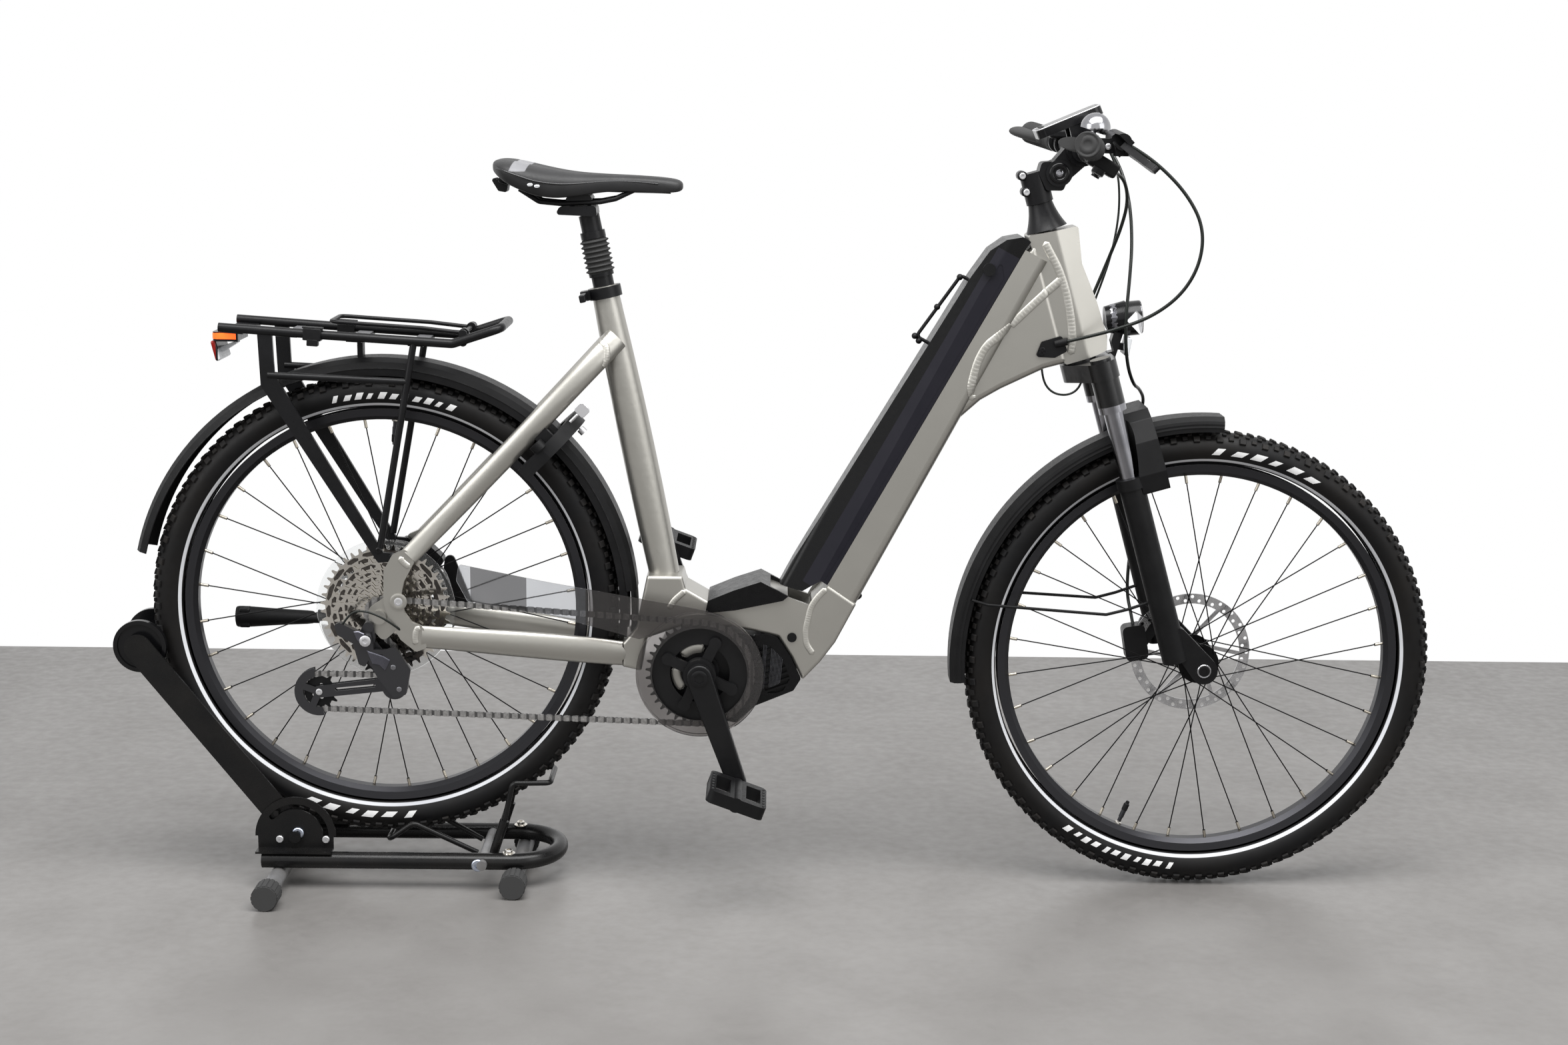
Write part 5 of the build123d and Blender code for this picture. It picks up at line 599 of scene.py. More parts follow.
class Form:
    """Mesh under construction: vertices and faces gathered from simple shapes."""

    def __init__(self) -> None:
        """Start with nothing."""
        self.verts: list[Vector] = []
        self.faces: list[tuple[int, ...]] = []

    def add(self, verts: Sequence[Vector], faces: Sequence[Sequence[int]]) -> "Form":
        """Take in vertices, and faces that count them from 0.

        Args:
            verts: Places of the vertices.
            faces: Rows of vertex numbers.

        Returns:
            The form itself.
        """
        base = len(self.verts)
        self.verts.extend(Vector(v) for v in verts)
        self.faces.extend(tuple(base + i for i in f) for f in faces)
        return self

    def skin(self, rows: Sequence[Sequence[Vector]], ring: bool = False) -> "Form":
        """Skin over closed rows of points, with both end rows filled.

        Args:
            rows: Rows of equally many points.
            ring: Whether the last row meets the first, so that nothing is filled.

        Returns:
            The form itself.
        """
        wide = len(rows[0])
        faces = []
        for i in range(len(rows) - (0 if ring else 1)):
            j = (i + 1) % len(rows)
            for k in range(wide):
                m = (k + 1) % wide
                faces.append((i * wide + k, i * wide + m, j * wide + m, j * wide + k))
        if not ring:
            faces.append(tuple(reversed(range(wide))))
            faces.append(tuple((len(rows) - 1) * wide + k for k in range(wide)))
        return self.add([v for row in rows for v in row], faces)

    def tube(self, line: Sequence[Vector], radius: float, sides: int = 12, closed: bool = False) -> "Form":
        """Round bar along a line.

        Args:
            line: Points of the line.
            radius: Its radius.
            sides: Faces round it.
            closed: Whether the line is a loop.

        Returns:
            The form itself.
        """
        around = [Vector((radius * c, radius * s, 0)) for c, s in circle(sides)]
        rows = [[place @ spot for spot in around] for place in rod_frames(line, closed)]
        return self.skin(rows, ring=closed)

    def lathe(self, profile: Pairs, place: Matrix, sides: int = 48,
              ring: bool = False) -> "Form":
        """Turn a profile about a frame's z axis.

        Args:
            profile: Points as (distance along z, radius).
            place: Frame of the axis.
            sides: Steps round the axis.
            ring: Whether the profile closes on itself, as a hollow ring's does.

        Returns:
            The form itself.
        """
        rows = [[place @ Vector((r * c, r * s, z)) for z, r in profile] for c, s in circle(sides)]
        wide = len(profile)
        faces = []
        for i in range(sides):
            j = (i + 1) % sides
            for k in range(wide if ring else wide - 1):
                m = (k + 1) % wide
                faces.append((i * wide + k, j * wide + k, j * wide + m, i * wide + m))
        if not ring:
            for end in (0, wide - 1):
                if profile[end][1] > 1e-6:
                    faces.append(tuple(i * wide + end for i in range(sides)))
        return self.add([v for row in rows for v in row], faces)

    def prism(self, outline: Pairs, place: Matrix, low: float, high: float,
              taper: float = 1.0) -> "Form":
        """Straight block over an outline in a frame's x and y, from low to high along its z.

        Args:
            outline: Points in the frame's x and y.
            place: Frame of the block.
            low: Start along z.
            high: End along z.
            taper: Size of the far end as a share of the near one's.

        Returns:
            The form itself.
        """
        rows = [[place @ Vector((x * s, y * s, z)) for x, y in outline] for z, s in ((low, 1.0),
                                                                                     (high, taper))]
        return self.skin(rows)

    def block(self, place: Matrix, size: Point) -> "Form":
        """Block centred on a frame."""
        a, b, c = (s / 2 for s in size)
        return self.prism([(-a, -b), (a, -b), (a, b), (-a, b)], place, -c, c)

    def bolt(self, at: Vector, out: Vector, head: float, rise: float, socket: float = 0.5) -> "Form":
        """Socket-head screw standing on a surface.

        Args:
            at: Point on the surface.
            out: Direction away from it.
            head: Radius of the head.
            rise: Height of the head.
            socket: Radius of the hexagon recess as a share of the head's.

        Returns:
            The form itself.
        """
        place = axes(at, out)
        profile = [(-rise * 0.4, head * 0.9), (rise * 0.15, head), (rise * 0.8, head), (rise, head * 0.86)]
        around = circle(24)
        rows = [[place @ Vector((r * c, r * s, z)) for c, s in around] for z, r in profile]
        hexagon = []
        for k, (c, s) in enumerate(around):
            reach = math.cos(math.pi / 6) / math.cos(math.pi * k / 12 % (math.pi / 3) - math.pi / 6)
            hexagon.append((c * reach * head * socket, s * reach * head * socket))
        rows += [[place @ Vector((x, y, z)) for x, y in hexagon] for z in (rise, rise * 0.35)]
        return self.skin(rows)

    def piece(self, name: str, body: str | None, finish: Finish, slot: str | None = None, sharp: float = 38.0,
              edge: float = 0.0, levels: int = 0) -> bpy.types.Object:
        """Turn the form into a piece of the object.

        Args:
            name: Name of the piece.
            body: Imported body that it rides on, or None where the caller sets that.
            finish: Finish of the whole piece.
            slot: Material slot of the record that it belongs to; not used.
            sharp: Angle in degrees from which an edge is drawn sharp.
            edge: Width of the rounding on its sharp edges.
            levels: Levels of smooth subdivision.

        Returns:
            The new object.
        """
        mesh = bpy.data.meshes.new(name)
        mesh.from_pydata([tuple(v) for v in self.verts], [], self.faces)
        shaped = bmesh.new()
        shaped.from_mesh(mesh)
        bmesh.ops.recalc_face_normals(shaped, faces=shaped.faces)
        shaped.to_mesh(mesh)
        shaped.free()
        mesh.shade_smooth()
        mesh.set_sharp_from_angle(angle=math.radians(sharp))
        mesh.materials.append(finish.material())
        made = bpy.data.objects.new(name, mesh)
        bpy.context.scene.collection.objects.link(made)
        if edge:
            bevel = made.modifiers.new("edge", "BEVEL")
            bevel.width, bevel.segments, bevel.limit_method = edge, 2, "ANGLE"
            bevel.angle_limit = math.radians(sharp)
        if levels:
            smooth = made.modifiers.new("smooth", "SUBSURF")
            smooth.levels = smooth.render_levels = levels
        if body:
            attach(made, body)
        LOG.info("%s: %d faces on %s", name, len(self.faces), body)
        return made


# ---- cords ----


@dataclass(frozen=True)
class Cord:
    """One hose or lead: its name, route, thickness and length, and the bodies that its ends follow."""

    node: str
    route: Sequence[Point]
    diameter: float
    length: float
    ends: tuple[str, ...]
    stiffness: Stiffness = Stiffness.MEDIUM
    lay: str = "loose"

    def centreline(self) -> list[Vector]:
        """Points along the smooth line that the route's points control.

        Returns:
            The points from one end to the other.
        """
        curve = bpy.data.curves.new(self.node + "_line", "CURVE")
        curve.dimensions = "3D"
        curve.resolution_u = 14
        spline = curve.splines.new("NURBS")
        spline.points.add(len(self.route) - 1)
        for control, place in zip(spline.points, self.route):
            control.co = (*place, 1.0)
        spline.order_u = 3
        spline.use_endpoint_u = True
        carrier = bpy.data.objects.new(curve.name, curve)
        bpy.context.scene.collection.objects.link(carrier)
        bpy.context.view_layer.update()
        line = bpy.data.meshes.new_from_object(carrier)
        points = [v.co.copy() for v in line.vertices]
        bpy.data.objects.remove(carrier)
        bpy.data.meshes.remove(line)
        return points

    def build(self) -> bpy.types.Object:
        """Returns:
            The jacket.
        """
        line = self.centreline()
        form = Form()
        form.tube(line, self.diameter / 2, 14)
        jacket = form.piece(self.node + "_jacket", None, HOSE_JACKET, "hose")
        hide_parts(self.node)
        if len(self.ends) == 2:
            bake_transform(jacket)
        else:
            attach(jacket, self.ends[0])
        return jacket


HOSE_D = 0.005
LEAD_D = 0.0032
CORDS = (
    Cord("rear_brake_hose",
         ((0.4563, -0.124, 1.1188), (0.462, -0.096, 1.117), (0.490, -0.078, 1.106), (0.530, -0.078, 1.080),
          (0.570, -0.084, 1.040), (0.594, -0.090, 0.995), (0.592, -0.090, 0.945), (0.570, -0.082, 0.900),
          (0.530, -0.070, 0.866), (0.480, -0.060, 0.846), (0.440, -0.050, 0.834), (0.404, -0.038, 0.8235)),
         HOSE_D, 0.5055, ("steered", "bike_frame"), Stiffness.STIFF),
    Cord("front_brake_hose",
         ((0.4563, 0.124, 1.1188), (0.461, 0.096, 1.117), (0.478, 0.072, 1.102), (0.496, 0.044, 1.068),
          (0.506, 0.016, 1.020), (0.508, -0.004, 0.965), (0.503, -0.026, 0.915), (0.498, -0.034, 0.855),
          (0.503, -0.028, 0.796), (0.518, -0.004, 0.760), (0.533, 0.032, 0.750), (0.547, 0.064, 0.728),
          (0.540, 0.086, 0.690), (0.534, 0.094, 0.645), (0.538, 0.093, 0.590), (0.544, 0.091, 0.530),
          (0.537, 0.089, 0.474), (0.534, 0.074, 0.430), (0.539, 0.056, 0.402), (0.543, 0.046, 0.378)),
         HOSE_D, 0.8878, ("steered", "lowers"), Stiffness.STIFF),
    Cord("shift_cable",
         ((0.455, -0.146, 1.074), (0.462, -0.122, 1.072), (0.480, -0.098, 1.058), (0.489, -0.072, 1.028),
          (0.485, -0.048, 0.992), (0.475, -0.028, 0.955), (0.463, -0.016, 0.918), (0.451, -0.012, 0.886)),
         HOSE_D, 0.2591, ("steered", "bike_frame"), Stiffness.STIFF),
    Cord("shift_cable_tail",
         ((-0.545, -0.078, 0.397), (-0.558, -0.087, 0.410), (-0.575, -0.091, 0.422), (-0.598, -0.091, 0.430),
          (-0.619, -0.089, 0.425), (-0.632, -0.087, 0.402)),
         LEAD_D, 0.1122, ("bike_frame",), Stiffness.STIFF),
    Cord("remote_lead",
         ((0.436, 0.004, 1.124), (0.462, 0.004, 1.112), (0.484, 0.003, 1.072), (0.489, 0.002, 1.020),
          (0.484, 0.003, 0.970), (0.473, 0.006, 0.922), (0.457, 0.008, 0.876)),
         LEAD_D, 0.2732, ("steered", "bike_frame")),
    Cord("light_lead",
         ((0.381, -0.018, 0.796), (0.382, -0.019, 0.770), (0.396, -0.021, 0.749), (0.420, -0.023, 0.745),
          (0.438, -0.024, 0.757), (0.441, -0.024, 0.773)),
         LEAD_D, 0.1102, ("bike_frame", "steered")),
)


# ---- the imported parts' own finishes ----


@dataclass
class PackedParts:
    """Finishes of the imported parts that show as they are."""

    crown_foot: float = -0.068
    tube_lean: float = math.radians(62.2)
    tube_foot: Point = (0.109, 0.0, 0.417)
    seam_height: float = 0.052
    seam_rise: float = 0.0219
    facet_height: float = 0.034

    def hub_finish(self, wheel: Wheel) -> Finish:
        """Black hub and spokes with pale nipples, and a bright braking band on the rotor.

        Args:
            wheel: Wheel that the hub is of.

        Returns:
            Finish with a zone for each metal.
        """
        rotor_y = 0.0395 if wheel is Wheel.FRONT else 0.0435
        return Finish(wheel.value + "_hub_metal", SPOKE_BLACK.colour, 0.34, 0.0, specular=0.12, zones=(
            (Within((AroundAxle(wheel.hub, 0.022, 0.0935), Layer(LEFT, rotor_y, 1.0))), STEEL),
            (AroundAxle(wheel.hub, 0.2685, 0.2850), NICKEL)))

    def cover_finish(self) -> Finish:
        """Gloss black covers with an anthracite facet along the lower flank of the battery's.

        Returns:
            Finish with a zone for the facet.
        """
        along = Vector((math.cos(self.tube_lean), 0.0, math.sin(self.tube_lean)))
        across = Vector((-math.sin(self.tube_lean), 0.0, math.cos(self.tube_lean)))
        seam = across + along * self.seam_rise
        low = seam.dot(Vector(self.tube_foot)) + self.seam_height
        start = along.dot(Vector(self.tube_foot))
        return Finish("battery_cover_black", (0.0030, 0.0030, 0.0033), 0.28, 0.0, specular=0.2, zones=(
            (Within((Layer(seam, low, low + self.facet_height), Layer(along, start + 0.012, start + 0.575))),
             ANTHRACITE),))

    def guard_finish(self) -> Finish:
        """Smoked guard with a clear rear end and a darker lap beside it.

        Returns:
            Finish with a zone for each lap.
        """
        return Clear("chain_guard_smoke", SMOKE.colour, 0.10, 0.0, SMOKE.shade, 8.0, 0.04, 500, 0.03,
                     passing=0.95, zones=((Layer(AHEAD, -0.4455, -0.3640), GUARD_DARK),
                                          (Layer(AHEAD, -0.3640, -0.2780), GUARD_CLEAR),
                                          (Layer(AHEAD, -0.60, -0.4455), GUARD_CLEAR)))

    def chain_finish(self) -> Finish:
        """Steel links with painted shade in the gaps between their plates."""
        return Finish("chain_links", CHAIN_STEEL.colour, 0.3, 1.0, CHAIN_STEEL.shade, 240.0, 0.1, 3000, 0.3,
                      zones=((Repeated(AHEAD, PITCH, 0.0042), LINK_GAP_SHADE),))

    def fork_finish(self) -> Finish:
        """Gloss crown over dark polished stanchions.

        Returns:
            Finish with a zone for the stanchions.
        """
        foot = HEAD_FOOT.dot(STEER_UP) + self.crown_foot
        return Finish("fork_crown_and_stanchions", GLOSS_BLACK.colour, 0.2, 0.0, zones=(
            (Layer(STEER_UP, -3.0, foot), DARK_CHROME),))

    def tail_finish(self) -> Finish:
        """Black housing and bracket with a red reflector face at the back.

        Returns:
            Finish with zones for both lenses.
        """
        return Finish("tail_light_housing", GLOSS_BLACK.colour, 0.22, 0.0, specular=0.3, zones=(
            (Within((Layer(UP, 0.7, 0.8125), Layer(AHEAD, -1.0, -0.8115))), RED_LENS),
            (Within((Layer(UP, 0.7, 0.8115), Layer(AHEAD, -0.8085, -0.7))), PALE_PLASTIC)))

    def headlight_finish(self) -> Finish:
        """Black housing over a pale hanging reflector."""
        return Finish("headlight_housing", GLOSS_BLACK.colour, 0.24, 0.0, specular=0.3, zones=(
            (Within((Layer(UP, 0.7, 0.8315), Layer(AHEAD, 0.5015, 0.6))), PALE_PLASTIC),))

    def bell_finish(self) -> Finish:
        """Bright dome on a black base.

        Returns:
            Finish with a zone for the dome.
        """
        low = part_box("bell")[0]
        return Finish("bell_dome", MATT_BLACK.colour, 0.5, 0.0, zones=(
            (Layer(UP, low.z + 0.024, 2.0), CHROME),))

    def choose(self) -> dict[str, Finish]:
        """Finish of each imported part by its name.

        Returns:
            Finishes by the names of the parts.
        """
        groups = (
            (STOVE_BLACK, "stand_frame swing_arms"),
            (GREY_TUBE, "stand_cross_tubes"),
            (FOOT_RUBBER, "stand_caps"),
            (CHAMPAGNE, "main_frame rear_triangle"),
            (GLOSS_BLACK, "spool display"),
            (MATT_BLACK, "battery_pack frame_fittings ring_lock rear_mudguard saddle_base bar_controls "
                         "shift_paddle fork_lowers front_mudguard right_pedal left_pedal guide_pulley "
                         "tension_pulley"),
            (ANODISED, "drive_unit rack seatpost_outer rear_caliper post_inner kickstand_leg rack_bail stem "
                       "handlebar right_lever left_lever front_caliper"),
            (GRAPHITE, "derailleur cage"),
            (RUBBER, "saddle_cover bellows grips"),
            (STEEL, "lock_shackle"),
            (TYRE_RUBBER, "front_tyre rear_tyre"),
            (RIM_BLACK, "front_rim rear_rim"),
            (NICKEL, "cassette"),
            (CRANK_BLACK, "crankset"),
            (self.cover_finish(), "frame_covers"),
            (self.guard_finish(), "chain_guard"),
            (self.tail_finish(), "tail_light"),
            (self.chain_finish(), "chain"),
            (self.fork_finish(), "fork_uppers"),
            (self.bell_finish(), "bell"),
            (self.headlight_finish(), "headlight"),
            (self.hub_finish(Wheel.FRONT), "front_hub"),
            (self.hub_finish(Wheel.REAR), "rear_hub"),
        )
        return {name: finish for finish, names in groups for name in names.split()}

    def dress(self) -> None:
        """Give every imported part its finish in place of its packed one."""
        for name, finish in self.choose().items():
            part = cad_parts[name]
            made = finish.material()
            if not part.material_slots:
                part.data.materials.append(made)
            for holder in part.material_slots:
                holder.link = "OBJECT"
                holder.material = made
            LOG.info("%s: %s", name, finish.name)


# ---- shared ways to place pieces ----


class Surface:
    """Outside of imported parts, on which other pieces are seated."""

    def __init__(self, *nodes: str) -> None:
        """Take in the parts by name."""
        graph = bpy.context.evaluated_depsgraph_get()
        self.trees = [BVHTree.FromObject(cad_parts[name], graph) for name in nodes]

    def meet(self, start: Vector, along: Vector) -> tuple[Vector, Vector] | None:
        """First point that a ray meets with the surface's outward direction there, or None.

        Args:
            start: Start of the ray.
            along: Direction of the ray.

        Returns:
            The point and the direction, or None where the ray meets nothing.
        """
        hits = [(hit[3], hit[0], hit[1]) for hit in (t.ray_cast(start, along) for t in self.trees) if hit[0]]
        if not hits:
            return None
        _, spot, out = min(hits, key=lambda hit: hit[0])
        return spot, -out if out.dot(along) > 0 else out

    def flank(self, x: float, z: float, side: int) -> tuple[Vector, Vector] | None:
        """Point and direction of the surface at a place in the side view, seen from one side."""
        return self.meet(Vector((x, side * 0.4, z)), Vector((0.0, -side, 0.0)))


def smooth_line(points: Sequence[Sequence[float]], step: float) -> list[Vector]:
    """Evenly spaced points on a smooth line through the given ones.

    Args:
        points: Points that the line passes.
        step: Distance between two points of the line.

    Returns:
        The points of the line.
    """
    knots = [Vector(p) for p in points]
    knots = [knots[0] * 2 - knots[1], *knots, knots[-1] * 2 - knots[-2]]
    line = []
    for a, b, c, d in zip(knots, knots[1:], knots[2:], knots[3:]):
        count = max(1, round((c - b).length / step))
        for k in range(count):
            t = k / count
            line.append(0.5 * (2 * b + (c - a) * t + (2 * a - 5 * b + 4 * c - d) * t ** 2
                               + (3 * b - a - 3 * c + d) * t ** 3))
    line.append(knots[-2])
    return line


def even_steps(start: float, end: float, steps: int = 90) -> list[float]:
    """Evenly spaced values from start to end."""
    return [start + (end - start) * k / steps for k in range(steps + 1)]


def on_circle(centre: Vector, radius: float, angle: float, y: float = 0.0) -> Vector:
    """Point round a crosswise axle, at an angle in degrees from straight ahead towards up."""
    t = math.radians(angle)
    return Vector((centre.x + radius * math.cos(t), y, centre.z + radius * math.sin(t)))


# ---- wheels ----


@dataclass
class Tyre:
    """Knobbly tyre with a pale line round each wall and plain printed bars on its chain side."""

    wheel: Wheel
    marks: Sequence[tuple[float, float, int]]
    middle: float = 0.3205
    height: float = 0.0235
    half_width: float = 0.0270
    wall: float = 0.003
    bead_turn: float = 149.0
    pitches: int = 62
    knob_rise: float = 0.0036
    line: tuple[float, float] = (0.3022, 0.3062)
    mark_band: tuple[float, float] = (108.0, 84.0)
    # of each tread block: share of the stagger, place in the pitch, length, inner and outer tilt, rise, ramp
    blocks: Sequence[tuple[float, float, float, float, float, float, float]] = (
        (1.0, 0.00, 0.0102, 43, 63, 1.00, 0.0), (1.0, 0.50, 0.0080, 41, 55, 0.85, 0.0),
        (1.0, 0.26, 0.0068, 24, 36, 0.80, 0.0), (1.0, 0.78, 0.0060, 25, 35, 0.80, 0.0),
        (0.0, 0.10, 0.0110, 4, 20, 1.00, 0.0012), (0.0, 0.60, 0.0090, 3, 15, 1.00, 0.0012))

    @property
    def name(self) -> str:
        """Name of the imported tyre, with which its pieces' names start."""
        return self.wheel.value + "_tyre"

    def at(self, turn: float, tilt: float, lift: float = 0.0) -> Vector:
        """Point on the tyre.

        Args:
            turn: Angle round the axle in degrees, from straight ahead towards up.
            tilt: Angle round the section in degrees, from the crown to the left wall.
            lift: Height above the casing.

        Returns:
            The point.
        """
        t = math.radians(tilt)
        radius = self.middle + (self.height + lift) * math.cos(t)
        return on_circle(self.wheel.hub, radius, turn, (self.half_width + lift) * math.sin(t))

    def casing(self) -> None:
        """Casing from bead to bead, hollow inside."""
        tilts = [self.bead_turn * k / 22 for k in range(-22, 23)]
        profile = []
        for lift, order in ((0.0, tilts), (-self.wall, tilts[::-1])):
            for tilt in order:
                t = math.radians(tilt)
                profile.append(((self.half_width + lift) * math.sin(t),
                                self.middle + (self.height + lift) * math.cos(t)))
        form = Form().lathe(profile, axes(self.wheel.hub, LEFT, AHEAD), 192, ring=True)
        finish = Finish(self.name + "_rubber", TYRE_RUBBER.colour, 0.48, 0.0, TYRE_RUBBER.shade, 9.0, 0.1,
                        2200, 0.2, specular=0.16, zones=((AroundAxle(self.wheel.hub, *self.line),
                                                          REFLECTIVE),))
        casing = form.piece(self.name + "_casing", self.wheel.body, finish, "tyre", sharp=50)
        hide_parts(self.name)

    def block(self, form: Form, turn: float, length: float, low: float, high: float, rise: float,
              ramp: float = 0.0) -> None:
        """One tread block.

        Args:
            form: Mesh that takes it in.
            turn: Its middle round the axle, in degrees.
            length: Its length round the tyre.
            low: Tilt of its inner edge in degrees.
            high: Tilt of its outer edge in degrees.
            rise: Its height.
            ramp: How much lower its leading edge is.
        """
        half = math.degrees(length / 2 / (self.middle + self.height))
        rows = []
        for lift, keep in ((-0.0012, 1.0), (rise * 0.8, 0.93), (rise, 0.8)):
            rows.append([self.at(turn + a * half * keep, (low + high) / 2 + b * (high - low) / 2 * keep,
                                 lift - (ramp if a < 0 < lift else 0.0))
                         for a, b in ((-1, -1), (1, -1), (1, 1), (-1, 1))])
        form.skin(rows)

    def tread(self) -> None:
        """Shoulder, side and crown blocks all round, those of the left side staggered but for the crown's."""
        form, step = Form(), 360.0 / self.pitches
        for i in range(self.pitches):
            for hand in SIDES:
                for staggered, share, length, low, high, rise, ramp in self.blocks:
                    shift = step * 0.25 * staggered if hand > 0 else 0.0
                    self.block(form, i * step + shift + step * share, length, hand * low, hand * high,
                               self.knob_rise * rise, ramp)
        form.piece(self.name + "_tread", self.wheel.body, TREAD, "tyre", sharp=25)

    def printing(self) -> None:
        """Slanted pale bars on the wall of the chain side."""
        form = Form()
        low, high = self.mark_band
        for start, end, count in self.marks:
            pitch = (end - start) / count
            for i in range(count):
                rows = []
                for k in range(7):
                    share = k / 6
                    left = start + pitch * (i + 0.30 * share)
                    right = left + pitch * (0.58 if i % 3 else 0.40)
                    tilt = -(low + (high - low) * share * (0.82 if i % 2 else 1.0))
                    rows.append([self.at(a, tilt, lift) for a, lift in (
                        (left, -0.0005), (right, -0.0005), (right, 0.0004), (left, 0.0004))])
                form.skin(rows)
        form.piece(self.name + "_printing", self.wheel.body, PRINT_WHITE, "tyre", sharp=60)

    def build(self) -> None:
        """Make the whole tyre."""
        self.casing()
        self.tread()
        self.printing()


@dataclass
class WheelTrim:
    """Small parts of both wheels, given for the front and the rear one in turn."""

    disc_r: float = 0.1025
    disc_y: float = -0.0180
    rotor_bolts: int = 6
    rotor_faces: tuple[float, float] = (0.0420, 0.0460)
    bolt_circle: float = 0.022
    fork_face: float = -0.076
    valve_turns: tuple[float, float] = (-112.0, 86.6)
    valve_radii: tuple[float, float] = (0.2795, 0.2560)
    rear_axle: tuple[float, float] = (-0.548, 0.441)
    cap_ring: Pairs = (
        (-0.001, 0.0078), (0.0012, 0.0082), (0.0014, 0.0094), (0.0008, 0.0102), (-0.001, 0.0102))
    boss_ring: Pairs = (
        (-0.001, 0.0060), (0.0006, 0.0062), (0.0012, 0.0095), (0.0004, 0.0122), (-0.001, 0.0124))
    valve_nut: Pairs = ((-0.001, 0.0055), (0.002, 0.0055), (0.0026, 0.0042), (0.0034, 0.0034))
    valve_cap: Pairs = (
        (-0.001, 0.0044), (0.009, 0.0044), (0.0105, 0.0030), (0.0135, 0.0028), (0.0145, 0.0016))

    def spoke_disc(self) -> None:
        """Clear disc between the sprockets and the spokes, with a thicker rim."""
        y = self.disc_y
        profile = [(y - 0.0006, 0.034), (y - 0.0006, self.disc_r - 0.003), (y - 0.0013, self.disc_r - 0.0022),
                   (y - 0.0010, self.disc_r), (y + 0.0006, self.disc_r), (y + 0.0006, 0.034)]
        form = Form().lathe(profile, axes(REAR_HUB, LEFT, AHEAD), 96, ring=True)
        form.piece("spoke_guard_disc", "rear_wheel", CLEAR_PLASTIC, "smoke", sharp=50)

    def rotor_screws(self) -> None:
        """Six screws that hold each brake disc."""
        for wheel, y in zip(Wheel, self.rotor_faces):
            form = Form()
            for k in range(self.rotor_bolts):
                turn = 360.0 / self.rotor_bolts * k + 15
                form.bolt(on_circle(wheel.hub, self.bolt_circle, turn, y), LEFT, 0.0042, 0.0026)
            form.piece(wheel.value + "_rotor_screws", wheel.body, STEEL, "steel")

    def axle_caps(self) -> None:
        """Bright ring and black plug at the front axle's end, and the rear axle's screw."""
        face = Vector((FRONT_HUB.x, self.fork_face, FRONT_HUB.z))
        ring = Form().lathe(self.cap_ring, axes(face, RIGHT, AHEAD), 40, ring=True)
        ring.piece("front_axle_ring", "lowers", CHROME, "steel")
        Form().bolt(face, RIGHT, 0.0080, 0.0010, 0.62).piece("front_axle_plug", "lowers", ANODISED,
                                                             "black_alloy")
        boss = Surface("rear_triangle").flank(*self.rear_axle, -1)
        if boss:
            cup = Form().lathe(self.boss_ring, axes(boss[0], RIGHT, AHEAD), 40, ring=True)
            cup.piece("rear_axle_ring", "bike_frame", CHAMPAGNE, "frame_silver")
            Form().bolt(boss[0], RIGHT, 0.0062, 0.0012, 0.6).piece("rear_axle_screw", "bike_frame", STEEL,
                                                                   "steel")

    def valve_caps(self) -> None:
        """Black cap and bright nut on each valve."""
        for wheel, turn in zip(Wheel, self.valve_turns):
            inward = (wheel.hub - on_circle(wheel.hub, 1.0, turn)).normalized()
            foot, tip = (axes(on_circle(wheel.hub, r, turn), inward, LEFT) for r in self.valve_radii)
            nut, cap = Form().lathe(self.valve_nut, foot, 6), Form().lathe(self.valve_cap, tip, 16)
            nut.piece(wheel.value + "_valve_nut", wheel.body, NICKEL, "nickel")
            cap.piece(wheel.value + "_valve_cap", wheel.body, MATT_BLACK, "black_matte")

    def build(self) -> None:
        """Make every small part."""
        self.spoke_disc()
        self.rotor_screws()
        self.axle_caps()
        self.valve_caps()


# ---- frame ----


@dataclass
class Weld:
    """One bead along a joint of the frame, given by points of the side view."""

    name: str
    route: Pairs
    half_width: float = 0.0048
    rise: float = 0.0020
    ripple: float = 0.0036
    step: float = 0.0009
    arc: int = 7
    sunk: float = 0.0003
    root: float = 0.0015
    fade: int = 5

    def ring(self, spot: Vector, out: Vector, along: Vector, run: float, size: float) -> list[Vector]:
        """Section of the bead: a low arch with the ripple of its stage.

        Args:
            spot: Point of the route on the frame.
            out: Direction away from the frame.
            along: Direction of the route.
            run: Length laid so far.
            size: Share of the full size.

        Returns:
            Points of the section.
        """
        across = out.cross(along).normalized()
        ring = []
        for k in range(self.arc):
            t = math.pi * k / (self.arc - 1)
            stage = ((run - 1.1 * self.half_width * math.sin(t)) / self.ripple) % 1.0
            swell = 0.74 + 0.26 * math.sqrt(1.0 - stage)
            ring.append(spot + across * (-math.cos(t) * self.half_width * size * (0.9 + 0.1 * swell))
                        + out * (math.sin(t) * self.rise * size * swell - self.sunk))
        ring.append(spot - out * self.root)
        return ring

    def lay(self, form: Form, surface: Surface, side: int) -> None:
        """Lay the bead on one side of the frame.

        Args:
            form: Form that takes the bead in.
            surface: Outside of the frame.
            side: -1 for the right side and 1 for the left.
        """
        spots = [surface.flank(p.x, p.y, side) for p in smooth_line(self.route, self.step)]
        spots = [s for s in spots if s]
        if len(spots) <= self.fade:
            return
        rows, run = [], 0.0
        for i, (spot, out) in enumerate(spots):
            after, before = spots[min(i + 1, len(spots) - 1)][0], spots[max(i - 1, 0)][0]
            run += (spot - before).length
            ease = min(1.0, (i + 1) / self.fade, (len(spots) - i) / self.fade)
            rows.append(self.ring(spot, out, (after - before).normalized(), run, ease))
        form.skin(rows)


